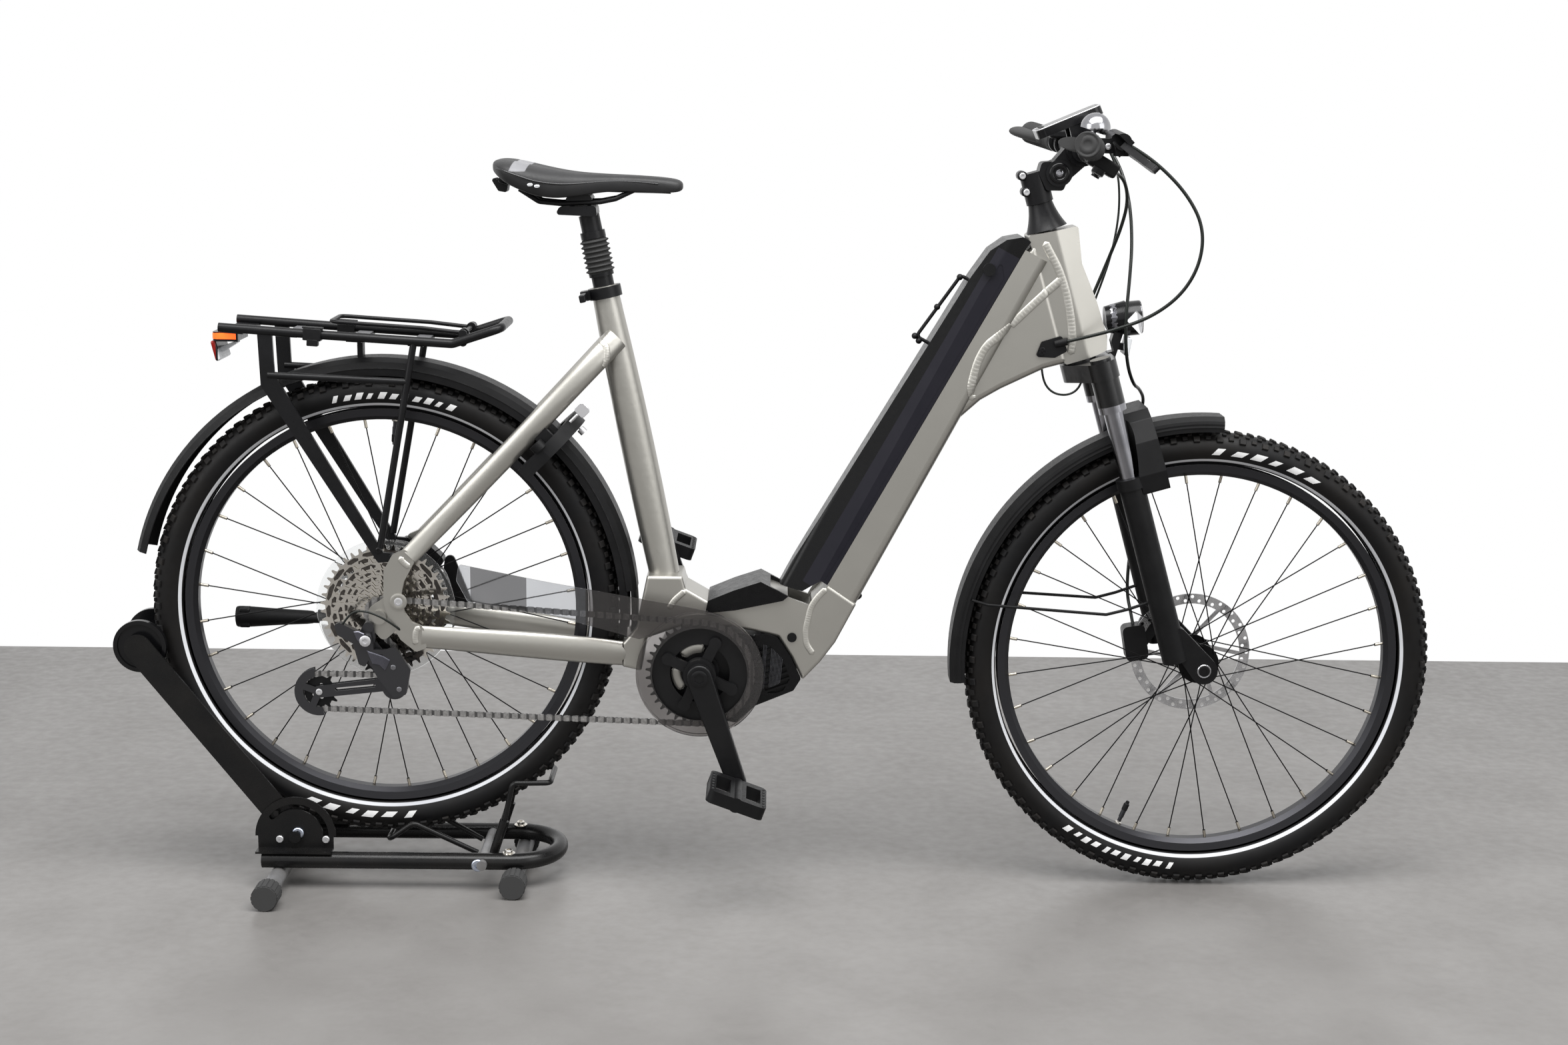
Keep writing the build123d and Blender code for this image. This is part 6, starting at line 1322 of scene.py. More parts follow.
@dataclass
class FrameTrim:
    """Weld beads, port screws and small fittings of the frame."""

    welds: Sequence[Weld] = (
        Weld("head", ((0.378, 0.968), (0.387, 0.952), (0.397, 0.934), (0.406, 0.913), (0.414, 0.887),
                      (0.420, 0.857), (0.423, 0.827), (0.421, 0.806)), half_width=0.0062, ripple=0.0056),
        Weld("gusset_top", ((0.409, 0.919), (0.380, 0.893), (0.359, 0.873), (0.339, 0.8535), (0.319, 0.835),
                            (0.301, 0.820), (0.290, 0.802), (0.283, 0.781), (0.279, 0.759), (0.280, 0.738)),
             half_width=0.0064, ripple=0.0058),
        Weld("cradle_tube", ((0.074, 0.458), (0.062, 0.446), (0.052, 0.430), (0.047, 0.410), (0.044, 0.392),
                             (0.046, 0.374), (0.056, 0.358))),
        Weld("seat_foot", ((-0.158, 0.424), (-0.150, 0.437), (-0.142, 0.445), (-0.133, 0.453))),
        Weld("seat_stay_top", ((-0.2585, 0.8200), (-0.2500, 0.8118), (-0.2472, 0.8020), (-0.2484, 0.7905),
                               (-0.2527, 0.7791))),
        Weld("seat_stay_foot", ((-0.5450, 0.5080), (-0.5405, 0.5000), (-0.5320, 0.4930), (-0.5250, 0.4890))),
        Weld("chain_stay_foot", ((-0.5170, 0.4070), (-0.5230, 0.3970), (-0.5250, 0.3860), (-0.5240, 0.3760))),
    )
    port_screw: tuple[float, float] = (0.3785, 0.8085)

    def beads(self) -> None:
        """Every weld bead, on both sides."""
        surface = Surface("main_frame", "rear_triangle")
        for weld in self.welds:
            form = Form()
            for side in SIDES:
                weld.lay(form, surface, side)
            form.piece("weld_" + weld.name, "bike_frame", WELD, "frame_silver", sharp=70)

    def screws(self) -> None:
        """Screws of the cable ports."""
        surface = Surface("frame_fittings")
        form = Form()
        for side in SIDES:
            met = surface.flank(*self.port_screw, side)
            if met:
                form.bolt(*met, 0.0040, 0.0012, 0.55)
        form.piece("port_screws", "bike_frame", ANODISED, "black_alloy")

    def build(self) -> None:
        """Make all of it."""
        self.beads()
        self.screws()


# ---- seat ----


@dataclass
class Saddle:
    """Padded saddle top: crowned, with a shallow channel, a turned-under edge and piping."""

    # from nose to tail: x, half width, and the heights of crown, edge and underside
    stations: Sequence[tuple[float, float, float, float, float]] = (
        (-0.1400, 0.010, 1.0425, 1.0390, 1.0360), (-0.1425, 0.016, 1.0465, 1.0385, 1.0325),
        (-0.1500, 0.022, 1.0500, 1.0390, 1.0300), (-0.1750, 0.023, 1.0530, 1.0420, 1.0285),
        (-0.2100, 0.0245, 1.0550, 1.0450, 1.0310), (-0.2500, 0.031, 1.0562, 1.0450, 1.0300),
        (-0.2850, 0.044, 1.0580, 1.0420, 1.0240), (-0.3150, 0.059, 1.0620, 1.0410, 1.0195),
        (-0.3450, 0.073, 1.0680, 1.0450, 1.0230), (-0.3700, 0.0785, 1.0735, 1.0530, 1.0330),
        (-0.3900, 0.0740, 1.0765, 1.0600, 1.0430), (-0.4020, 0.0600, 1.0760, 1.0640, 1.0530),
        (-0.4090, 0.0380, 1.0730, 1.0655, 1.0590), (-0.4110, 0.0160, 1.0690, 1.0655, 1.0625))
    channel: float = 0.0032

    def section(self, x: float, half: float, top: float, edge: float, low: float) -> list[Vector]:
        """Closed section: over the top, down the skirt, and back under the padding.

        Args:
            x: Place along the saddle.
            half: Half width.
            top: Height of the crown.
            edge: Height of the edge.
            low: Height of the underside.

        Returns:
            Points of the section.
        """
        dip = self.channel * max(0.0, min(1.0, (-0.165 - x) / 0.04)) * max(0.0, min(1.0, (x + 0.405) / 0.02))
        over = []
        for k in range(17):
            u = -1 + k / 8
            z = top - (top - edge) * abs(u) ** 2.6 - dip * math.exp(-(u / 0.2) ** 2)
            over.append(Vector((x, half * math.sin(u * math.pi / 2), z)))
        skirt = [(0.985, 0.62), (0.93, 0.25), (0.86, 0.0)]
        right = [Vector((x, half * s, low + (edge - low) * f)) for s, f in skirt]
        left = [Vector((x, -half * s, low + (edge - low) * f)) for s, f in reversed(skirt)]
        under = [Vector((x, half * s, edge - 0.004 - (edge - 0.004 - low) * abs(s) ** 1.5))
                 for s in (0.62, 0.3, 0.0, -0.3, -0.62)]
        return over + right + under + left

    def top(self) -> None:
        """Cover and padding as one crowned form."""
        form = Form().skin([self.section(*s) for s in self.stations])
        finish = Finish("saddle_skin", (0.012, 0.012, 0.0125), 0.50, 0.0, (0.018, 0.018, 0.019), 30.0, 0.05,
                        1900, 0.45, specular=0.35,
                        zones=((Within((Layer(Vector((0.93, 0.0, -0.36)), -0.7375, -0.7165, 0.0006),
                                        Layer(UP, 1.0605, 2.0, 0.001))), SADDLE_GREY),))
        cover = form.piece("saddle_padding", "seat", finish, "saddle_black", sharp=80, levels=2)
        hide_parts("saddle_cover")

    def piping(self) -> None:
        """Welted seam on each flank, from the rear wing to the nose."""
        form = Form()
        for side in SIDES:
            line = [(x, side * half, edge + (top - edge) * 0.10) for x, half, top, edge,
                    _ in self.stations[3:12]]
            form.tube(smooth_line(line, 0.004), 0.0011, 8)
        form.piece("saddle_welt", "seat", SADDLE_TRIM, "saddle_black")

    def rear_slots(self) -> None:
        """Two small oval openings in each rear wing, lined with bright plastic."""
        form = Form()
        for side in SIDES:
            for x, z in ((-0.3520, 1.0420), (-0.3425, 1.0400)):
                half = 0.0775 if x < -0.35 else 0.0755
                place = axes(Vector((x, side * half * 0.985, z)), Vector((0.22, side, -0.45)), AHEAD)
                form.prism([(0.0040 * c, 0.0018 * s) for c, s in circle(20)], place, -0.002, 0.0009, 0.92)
        form.piece("saddle_wing_slots", "seat", PALE_PLASTIC, "saddle_black")

    def build(self) -> None:
        """Make the saddle's soft parts."""
        self.top()
        self.piping()
        self.rear_slots()


@dataclass
class SeatBellows:
    """Pleated rubber sleeve over the suspension post."""

    foot: Point = (-0.25866, 0.0, 0.91428)
    lean: float = math.radians(11.8)
    length: float = 0.0494
    pleats: int = 7
    inner: float = 0.0166
    outer: float = 0.0212
    lip: float = 0.0015

    def build(self) -> None:
        """Make the sleeve, which rides on the seat."""
        up = Vector((-math.sin(self.lean), 0.0, math.cos(self.lean)))
        profile = [(0.0, self.inner - 0.001), (0.0, self.inner + self.lip)]
        for k in range(self.pleats):
            for share in (0.15, 0.35, 0.5, 0.65, 0.85):
                swell = (self.outer - self.inner) * math.sin(math.pi * share) ** 2.2
                profile.append((self.length * (k + share) / self.pleats, self.inner + swell))
        profile += [(self.length, self.inner + self.lip), (self.length, self.inner - 0.001)]
        form = Form().lathe(profile, axes(Vector(self.foot), up, AHEAD), 40)
        sleeve = form.piece("seat_bellows", "seat", RUBBER, "rubber", sharp=60)
        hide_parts("bellows")
        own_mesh(sleeve)


# ---- fasteners ----


@dataclass(frozen=True)
class RailBolts:
    """Upright bolts seated on top of the stand's rails, and a button below the down tube."""

    rails: Sequence[Point] = ((-0.3945, -0.066, 0.2), (-0.3905, 0.066, 0.2))
    button: Point = (0.150, 0.0, 0.380)
    button_out: Point = (0.47, 0.0, -0.88)
    bolt: Pairs = (
        (-0.0008, 0.0001), (-0.0008, 0.0098), (0.0006, 0.0100), (0.0008, 0.0062), (0.0048, 0.0060),
        (0.0056, 0.0052), (0.0056, 0.0030), (0.0036, 0.0028), (0.0036, 0.0001))
    knob: Pairs = (
        (-0.0010, 0.0001), (-0.0010, 0.0088), (0.0022, 0.0086), (0.0040, 0.0066), (0.0046, 0.0001))

    def build(self) -> None:
        """Seat the bolts and the button."""
        surface, form = Surface("stand_frame"), Form()
        for place in self.rails:
            met = surface.meet(Vector(place), -UP)
            if met:
                form.lathe(self.bolt, axes(met[0], UP), 18)
        if form.verts:
            form.piece("stand_rail_bolts", "stand", NICKEL, "steel", sharp=40)
        out = Vector(self.button_out)
        met = Surface("main_frame").meet(Vector(self.button), -out)
        if met:
            knob = Form().lathe(self.knob, axes(met[0], out), 24)
            knob.piece("down_tube_button", "bike_frame", MATT_BLACK, "black_matte", sharp=60)


@dataclass(frozen=True)
class Screws:
    """Screws of one kind, seated where rays across the bicycle meet the parts named."""

    name: str
    body: str
    nodes: tuple[str, ...]
    places: tuple[tuple[float, float], ...]
    head: float
    rise: float
    finish: Finish
    slot: str = "steel"
    side: int = -1
    socket: float = 0.5

    def build(self) -> None:
        """Seat every screw of the kind."""
        surface, form = Surface(*self.nodes), Form()
        for x, z in self.places:
            met = surface.flank(x, z, self.side)
            if met:
                form.bolt(met[0], LEFT * self.side, self.head, self.rise, self.socket)
        if form.verts:
            form.piece(self.name, self.body, self.finish, self.slot)


SCREWS = (
    Screws("stand_pivot_nut", "stand", ("stand_frame",), ((-0.7076, 0.0814),), 0.0085, 0.0050, ZINC,
           socket=0.55),
    Screws("stand_plate_screws", "stand", ("stand_frame",), ((-0.7353, 0.0715), (-0.6667, 0.0715)), 0.0055,
           0.0040, STEEL, socket=0.3),
    Screws("stand_rail_nut", "stand", ("stand_frame",), ((-0.4383, 0.0415),), 0.0092, 0.0055, ZINC,
           socket=0.5),
    Screws("rack_foot_screw", "bike_frame", ("rack",), ((-0.5786, 0.5130),), 0.0042, 0.0020, GLOSS_BLACK,
           "black_alloy"),
    Screws("derailleur_bolt", "bike_frame", ("derailleur",), ((-0.5952, 0.3852),), 0.0082, 0.0030, STEEL),
    Screws("derailleur_pivot_pins", "bike_frame", ("derailleur",), ((-0.5560, 0.3450), (-0.5480, 0.3120)),
           0.0038, 0.0012, DARK_CHROME, socket=0.4),
    Screws("tension_pulley_bolt", "pulley_cage", ("cage",), ((-0.6706, 0.2990),), 0.0048, 0.0016, STEEL),
    Screws("guide_pulley_bolt", "pulley_cage", ("cage",), ((-0.5800, 0.3510),), 0.0040, 0.0014, STEEL),
    Screws("crank_bolt", "cranks", ("crankset",), ((-0.1110, 0.3320),), 0.0125, 0.0030, GLOSS_BLACK,
           "black_alloy", socket=0.62),
    Screws("port_screw", "bike_frame", ("frame_fittings",), ((0.3795, 0.8135),), 0.0040, 0.0014, ANODISED,
           "black_alloy"),
    Screws("stem_pivot_bolt", "steered", ("stem",), ((0.3970, 1.0650),), 0.0052, 0.0014, DARK_CHROME),
    Screws("lever_clamp_bolt", "steered", ("bar_controls",), ((0.4400, 1.1080),), 0.0042, 0.0020, STEEL),
    Screws("caliper_bolts", "lowers", ("front_caliper", "fork_lowers"), ((0.5790, 0.3900), (0.5690, 0.3500)),
           0.0040, 0.0020, STEEL, side=1),
)


# ---- steered parts ----


@dataclass
class Cockpit:
    """Trim of the bar, its stem, the display and the headlight."""

    bar_end: Point = (0.3941, -0.3280, 1.1140)
    bar_inner: Point = (0.4187, -0.2000, 1.1050)
    stem_bolts: Pairs = ((0.3455, 1.0600), (0.3520, 1.0370))
    stem_pivot: Point = (0.397, -0.024, 1.065)
    display_place: Point = (0.409, 0.0, 1.137)
    display_tilt: float = -23.0
    display_half: tuple[float, float] = (0.0490, 0.0310)
    lamp_place: Point = (0.488, 0.0, 0.856)
    lamp_tilt: float = 84.0
    lamp_front: Point = (0.5243, 0.0, 0.8588)
    ribs: int = 22
    rib_start: float = 0.012
    rib_step: float = 0.0052
    rib: Pairs = ((-0.0012, 0.0160), (-0.0008, 0.0171), (0.0008, 0.0171), (0.0012, 0.0160))
    end_cap: Pairs = (
        (-0.002, 0.0168), (0.0012, 0.0170), (0.0020, 0.0160), (0.0020, 0.0142), (0.0011, 0.0136),
        (0.0011, 0.0118), (0.0018, 0.0112), (0.0020, 0.0060), (0.0012, 0.0052), (0.0012, 0.0008))
    lug: Pairs = (
        (-0.0150, 0.0010), (-0.0150, 0.0058), (-0.0138, 0.0070), (0.0138, 0.0070), (0.0150, 0.0058),
        (0.0150, 0.0010))
    joint_ring: Pairs = (
        (-0.001, 0.0080), (0.0014, 0.0084), (0.0020, 0.0100), (0.0020, 0.0132), (0.0012, 0.0146),
        (-0.001, 0.0150))
    corner_in: float = 0.012
    corner_r: float = 0.0115
    collar: Pairs = (
        (-0.0115, 0.0184), (-0.0110, 0.0194), (-0.0050, 0.0216), (0.0010, 0.0224), (0.0014, 0.0208))
    bowl: Pairs = ((0.0, 0.0236), (0.0004, 0.0236), (0.0004, 0.0150), (-0.0002, 0.0148), (0.0003, 0.0010))
    lens: Pairs = ((0.0006, 0.0240), (0.0014, 0.0238), (0.0020, 0.0200), (0.0024, 0.0120), (0.0026, 0.0010))

    def grips(self) -> None:
        """Ribbed sleeves and moulded end caps."""
        ribs, caps = Form(), Form()
        for side in SIDES:
            end, inner = (Vector((p[0], -side * p[1], p[2])) for p in (self.bar_end, self.bar_inner))
            run = (end - inner).normalized()
            for k in range(self.ribs):
                at = inner + run * (self.rib_start + self.rib_step * k)
                ribs.lathe(self.rib, axes(at, run), 28, ring=True)
            caps.lathe(self.end_cap, axes(end, run), 40)
        ribs.piece("grip_ribs", "steered", RUBBER, "rubber", sharp=60)
        caps.piece("grip_end_caps", "steered", RUBBER, "rubber", sharp=60)

    def stem(self) -> None:
        """Clamp lugs with bright screws behind the steerer, and the ring round the tilting joint."""
        lugs, heads, ring = Form(), Form(), Form()
        for x, z in self.stem_bolts:
            lugs.lathe(self.lug, axes(Vector((x, 0.0, z)), RIGHT), 24)
            heads.bolt(Vector((x, -0.0148, z)), RIGHT, 0.0046, 0.0026)
        lugs.piece("stem_clamp_lugs", "steered", ANODISED, "black_alloy", sharp=50)
        heads.piece("stem_clamp_screws", "steered", STEEL, "steel")
        ring.lathe(self.joint_ring, axes(Vector(self.stem_pivot), RIGHT), 40, ring=True)
        ring.piece("stem_joint_ring", "steered", GLOSS_BLACK, "black_alloy", sharp=60)

    def screen(self) -> None:
        """Dark glass and bright frame of the display, with its push buttons."""
        turn = math.radians(self.display_tilt)
        out = Vector((math.sin(turn), 0.0, math.cos(turn)))
        place = axes(Vector(self.display_place), out, AHEAD)
        a, b = self.display_half
        corner = []
        for qx, qy, start in ((1, 1, 0), (-1, 1, 90), (-1, -1, 180), (1, -1, 270)):
            for t in (math.radians(start + 18 * k) for k in range(6)):
                corner.append((qx * (a - self.corner_in) + self.corner_r * math.cos(t),
                               qy * (b - self.corner_in) + self.corner_r * math.sin(t)))
        glass = Form().prism([(x * 0.93, y * 0.90) for x, y in corner], place, 0.0060, 0.0072, 0.99)
        glass.piece("display_glass", "steered", GLOSS_BLACK, "black_gloss", sharp=50)
        frame_line = [place @ Vector((x, y, 0.0062)) for x, y in corner]
        Form().tube(frame_line, 0.0010, 8, closed=True).piece("display_frame", "steered", STEEL, "steel",
                                                              sharp=60)
        buttons = Form()
        for k in (-1, 0, 1):
            buttons.block(place @ Matrix.Translation((-a * 0.78, 0.013 * k, 0.0074)), (0.006, 0.009, 0.0016))
        buttons.piece("display_buttons", "steered", RUBBER, "black_matte", edge=0.0006)

    def headlight(self) -> None:
        """Faceted bright collar behind the lamp, its lens, and bowl."""
        turn = math.radians(self.lamp_tilt)
        ahead = Vector((math.sin(turn), 0.0, math.cos(turn)))
        place = axes(Vector(self.lamp_place), ahead, UP)
        collar = Form().lathe(self.collar, place, 18, ring=True)
        collar.piece("headlight_collar", "steered", DARK_CHROME, "steel", sharp=4)
        front = axes(Vector(self.lamp_front), ahead, UP)
        bowl = Form().lathe(self.bowl, front, 36)
        bowl.piece("headlight_bowl", "steered", DARK_CHROME, "steel", sharp=20)
        lens = Form().lathe(self.lens, front, 36)
        lens.piece("headlight_lens", "steered", SMOKE, "smoke", sharp=50)

    def build(self) -> None:
        """Make all the trim."""
        self.grips()
        self.stem()
        self.screen()
        self.headlight()


# ---- drive ----


@dataclass
class DriveTrim:
    """Sprocket windows filled with painted shade, derailleur plates of painted highlight, the motor's bright
    bracket and cooling fins, and pedal studs.
    """

    bracket: tuple[float, float] = (0.0285, 0.0425)
    bracket_y: float = -0.0480
    arcs: Pairs = ((80.0, 138.0), (170.0, 226.0))
    fins: int = 15
    fin_start: float = -0.0190
    fin_run: float = 0.0275
    fin_lean: float = 0.0035
    fin_half: float = 0.00045
    sprocket_y: float = -0.056
    sprocket_step: float = 0.0035
    pierced_from: int = 5
    pedals: Sequence[tuple[str, int, float, float]] = (("pedal_right", -1, -0.0548, 0.1716),
                                                       ("pedal_left", 1, -0.1672, 0.4924))
    pedal_y: float = 0.138
    pedal_tilt: float = 20.0
    stud_r: float = 0.0022
    stud_step: float = 0.0125
    stud_rows: Sequence[float] = (-0.0385, 0.0, 0.0385)
    sprockets: Sequence[int] = (11, 13, 15, 17, 19, 21, 24, 28, 32, 37, 46)
    # Outlines of the painted highlights on the derailleur, in the side view
    plates: Sequence[Pairs] = (
        ((-0.6120, 0.3990), (-0.6050, 0.4000), (-0.5960, 0.3960), (-0.6000, 0.3800), (-0.6070, 0.3860)),
        ((-0.5940, 0.3700), (-0.5700, 0.3620), (-0.5600, 0.3560), (-0.5680, 0.3400), (-0.5760, 0.3480),
         (-0.5860, 0.3500)))

    def bracket_arcs(self) -> None:
        """Bracket seen through the spider, as two crescents."""
        section = ((-1, 0.0030), (1, 0.0030), (1, -0.0002), (0.8, -0.0010), (-0.8, -0.0010), (-1, -0.0002))
        form = Form()
        low, high = self.bracket
        for start, end in self.arcs:
            rows = []
            for k in range(25):
                share = k / 24
                around = math.sqrt(max(0.0, 1 - (2 * share - 1) ** 8))
                middle, half = (low + high) / 2, (high - low) / 2 * max(0.12, around)
                turn = start + (end - start) * share
                rows.append([on_circle(CRANK_AXIS, middle + half * a, turn, self.bracket_y + b) for a,
                             b in section])
            form.skin(rows)
        form.piece("motor_bracket", "bike_frame", CHAMPAGNE, "frame_silver", sharp=50)

    def cooling_fins(self) -> None:
        """Fine upright fins in the window of the motor cover."""
        surface = Surface("frame_covers", "drive_unit", "main_frame")
        form = Form()
        for k in range(self.fins):
            share = k / (self.fins - 1)
            x = self.fin_start + self.fin_run * share
            top, low = 0.3735 - 0.0215 * share ** 1.6, 0.3070 + 0.0090 * share ** 2
            ends = [surface.flank(x + self.fin_lean * s, z, -1) for s, z in ((0.5, top), (-0.5, low))]
            if not all(ends):
                continue
            (a, _), (b, _) = ends
            y = min(a.y, b.y)
            place = axes(Vector(((a.x + b.x) / 2, y, (a.z + b.z) / 2)), RIGHT, a - b)
            half, thin = (a - b).length / 2, self.fin_half
            corners = [(-half, -thin), (half, -thin), (half, thin), (-half, thin)]
            form.prism(corners, place, -0.0010, 0.0012)
        form.piece("motor_cooling_fins", "bike_frame", FIN_GREY, "black_alloy", sharp=30)

    def pedal_treads(self) -> None:
        """Rows of small studs on both faces of each pedal."""
        stud = [(self.stud_r * c, self.stud_r * s) for c, s in circle(6)]
        for body, side, x, z in self.pedals:
            turn = Matrix.Rotation(math.radians(self.pedal_tilt), 4, "Y")
            place = Matrix.Translation((x, side * self.pedal_y, z)) @ turn
            form = Form()
            for face in (-1, 1):
                for row in self.stud_rows:
                    for k in range(-3, 4):
                        at = place @ Matrix.Translation((row, self.stud_step * k, face * 0.0092))
                        form.prism(stud, at, -0.0008, face * 0.0014, 0.8)
            form.piece(body + "_studs", body, RUBBER, "rubber", sharp=30)

    def sprocket_window_shade(self) -> None:
        """Painted shade where the openings lie, in rows round each sprocket of the cassette."""
        form = Form()
        radii = [PITCH / 2 / math.sin(math.pi / teeth) for teeth in self.sprockets]
        for k in range(self.pierced_from, len(radii)):
            low, high = radii[k - 1] - 0.0010, radii[k] - 0.0052
            face = self.sprocket_y + self.sprocket_step * k - 0.0008
            count = max(7, round(self.sprockets[k] / 2.6))
            middle = (low + high) / 2
            split = ((low, middle - 0.0007), (middle + 0.0007, high))
            for row, (a, b) in enumerate(((low, high),) if high - low < 0.0075 else split):
                if b - a < 0.0012:
                    continue
                for i in range(count):
                    middle = 360 * (i + 0.37 * k + 0.5 * row) / count
                    half = 360 / count * (0.30 + 0.07 * ((i + k) % 3))
                    corners = ((a, -half), (a, half * 0.5), ((a + b) / 2, half), (b, half * 0.8),
                               (b, -half * 0.5), ((a + b) / 2, -half * 1.1))
                    rows = [[on_circle(REAR_HUB, r, middle + t, y) for r, t in corners]
                            for y in (face + 0.0002, face - 0.00025)]
                    form.skin(rows)
        form.piece("cassette_window_shade", "sprockets", WINDOW_SHADE, "nickel", sharp=30)

    def derailleur_highlight_plates(self) -> None:
        """Grey-blue faces on the derailleur's arm and link, which are painted highlight."""
        surface, form = Surface("derailleur"), Form()
        for outline in self.plates:
            spots = [surface.flank(x, z, -1) for x, z in outline]
            y = min((met[0].y for met in spots if met), default=None)
            if y is None:
                continue
            face = [Vector((x, y, z)) for x, z in outline]
            middle = sum(face, Vector()) / len(face)
            form.skin([[middle + (v - middle) * keep + LEFT * lift for v in face]
                       for keep, lift in ((1.0, 0.0004), (1.0, -0.0012), (0.86, -0.0020))])
        form.piece("derailleur_highlight_plates", "bike_frame", GREY_BLUE_HIGHLIGHT, "graphite", sharp=30)

    def build(self) -> None:
        """Make all the trim."""
        self.sprocket_window_shade()
        self.derailleur_highlight_plates()
        self.bracket_arcs()
        self.cooling_fins()
        self.pedal_treads()


# ---- rack, lights and guards ----


@dataclass
class RearTrim:
    """Lamp strip, rack clips, lock key, kickstand foot, strap knobs, and the mudguards' edges and tail."""

    lamp_path: Pairs = (
        (-0.781, -0.0374), (-0.8085, -0.0374), (-0.8130, -0.0355), (-0.8152, -0.0310), (-0.8152, 0.0310),
        (-0.8130, 0.0355), (-0.8085, 0.0374), (-0.781, 0.0374))
    lamp_low: float = 0.8150
    lamp_high: float = 0.8245
    strap_corners: Pairs = ((0.2609, 0.9136), (0.2290, 0.8700), (0.1975, 0.8275), (0.2035, 0.8205))
    guard_r: tuple[float, float] = (0.369, 0.373)
    guard_depth: float = 0.015
    guard_half: float = 0.032
    # of each section of the kickstand's foot: x, half height and half width
    foot: Sequence[Point] = ((-0.8310, 0.0140, 0.0085), (-0.8290, 0.0166, 0.0102), (-0.8220, 0.0172, 0.0106),
                             (-0.8000, 0.0158, 0.0100), (-0.7600, 0.0125, 0.0096), (-0.7150, 0.0108, 0.0094),
                             (-0.7080, 0.0094, 0.0090))
    foot_place: tuple[float, float] = (0.1135, 0.3695)
    key: Point = (-0.2815, -0.0660, 0.7225)
    key_bow: Pairs = (
        (-0.0085, -0.0070), (-0.0055, -0.0092), (0.0055, -0.0092), (0.0085, -0.0060), (0.0085, 0.0060),
        (0.0055, 0.0092), (-0.0055, 0.0092), (-0.0085, 0.0070))
    key_blade: Sequence[Point] = ((-0.2880, -0.0660, 0.7160), (-0.2990, -0.0660, 0.7050))
    # of each clip: side, x and z; of each of a clip's blocks: offset and size
    clips: Sequence[Point] = ((-1, -0.6660, 0.8265), (1, -0.6385, 0.8250))
    clip_y: float = 0.058
    clip_tilt: float = 3.6
    clip_blocks: Sequence[tuple[Point, Point]] = (((0.0, 0.0, 0.0), (0.026, 0.0175, 0.0175)),
                                                  ((0.001, 0.003, -0.0115), (0.016, 0.012, 0.010)),
                                                  ((0.0, 0.0015, 0.0095), (0.030, 0.010, 0.0025)))
    pads: Pairs = ((-0.700, 0.8255), (-0.608, 0.8195), (-0.520, 0.8145))
    pad_y: float = 0.033
    pad_tilt: float = 2.6
    pad_size: Point = (0.0205, 0.030, 0.0022)
    skirt: Pairs = ((0.3590, 0.0312), (0.3590, 0.0304), (0.3475, 0.0306), (0.3470, 0.0312))
    rear_skirt: tuple[float, float] = (-6.0, 104.0)

    def lamp_strip(self) -> None:
        """Glowing strip round the back of the tail light."""
        low, high, rows = self.lamp_low, self.lamp_high, []
        section = ((-0.0010, low), (0.0009, low + 0.0008), (0.0009, high - 0.0008), (-0.0010, high))
        for x, y in self.lamp_path:
            out = Vector((x + 0.797, y, 0.0))
            out = Vector((0.0, math.copysign(1, y), 0.0)) if x > -0.810 else out.normalized()
            at = Vector((x, y, 0.0))
            rows.append([at + out * d + UP * z for d, z in section])
        Form().skin(rows).piece("tail_light_strip", "bike_frame", TAIL_GLOW, "red_lens", sharp=60)

    def rack_clips(self) -> None:
        """Moulded clips on the rack's rails."""
        form = Form()
        turn = Matrix.Rotation(math.radians(self.clip_tilt), 4, "Y")
        for side, x, z in self.clips:
            place = Matrix.Translation((x, side * self.clip_y, z)) @ turn
            for (dx, dy, dz), size in self.clip_blocks:
                form.block(place @ Matrix.Translation((dx, side * dy, dz)), size)
        form.piece("rack_clips", "bike_frame", MATT_BLACK, "black_matte", edge=0.0014)
        pads = Form()
        turn = Matrix.Rotation(math.radians(self.pad_tilt), 4, "Y")
        for x, z in self.pads:
            place = Matrix.Translation((x, 0.0, z)) @ turn
            for side in SIDES:
                pads.block(place @ Matrix.Translation((0.0, side * self.pad_y, 0.0)), self.pad_size)
        pads.piece("rack_plate_pads", "bike_frame", PAD_GREY, "graphite", edge=0.0006)

    def lock_key(self) -> None:
        """Key left in the ring lock."""
        place = axes(Vector(self.key), RIGHT, UP + AHEAD)
        bow = Form().prism(self.key_bow, place, -0.0013, 0.0013)
        bow.tube([Vector(p) for p in self.key_blade], 0.0022, 10)
        bow.piece("lock_key", "bike_frame", STEEL, "steel", edge=0.0005)

    def kickstand_foot(self) -> None:
        """Moulded sleeve and foot of the folded leg."""
        rows, turns, (y, z) = [], [math.pi * k / 12 for k in range(24)], self.foot_place
        for x, high, wide in self.foot:
            rows.append([Vector((x, y + wide * math.cos(t) * (1 + 0.12 * math.cos(2 * t)),
                                 z + high * math.sin(t))) for t in turns])
        Form().skin(rows).piece("kickstand_foot", "kick_leg", MATT_BLACK, "rubber", sharp=60, levels=1)

    def strap_knobs(self) -> None:
        """Knobs of the strap bracket on the battery cover."""
        form = Form()
        profile = [(0.0055 * math.cos(math.pi * k / 10), 0.0046 * math.sin(math.pi * k / 10) + 0.0001)
                   for k in range(10, -1, -1)]
        for x, z in self.strap_corners:
            form.lathe(profile, axes(Vector((x, 0.0, z)), LEFT), 20)
        form.piece("strap_bracket_knobs", "bike_frame", MATT_BLACK, "black_matte", sharp=60)

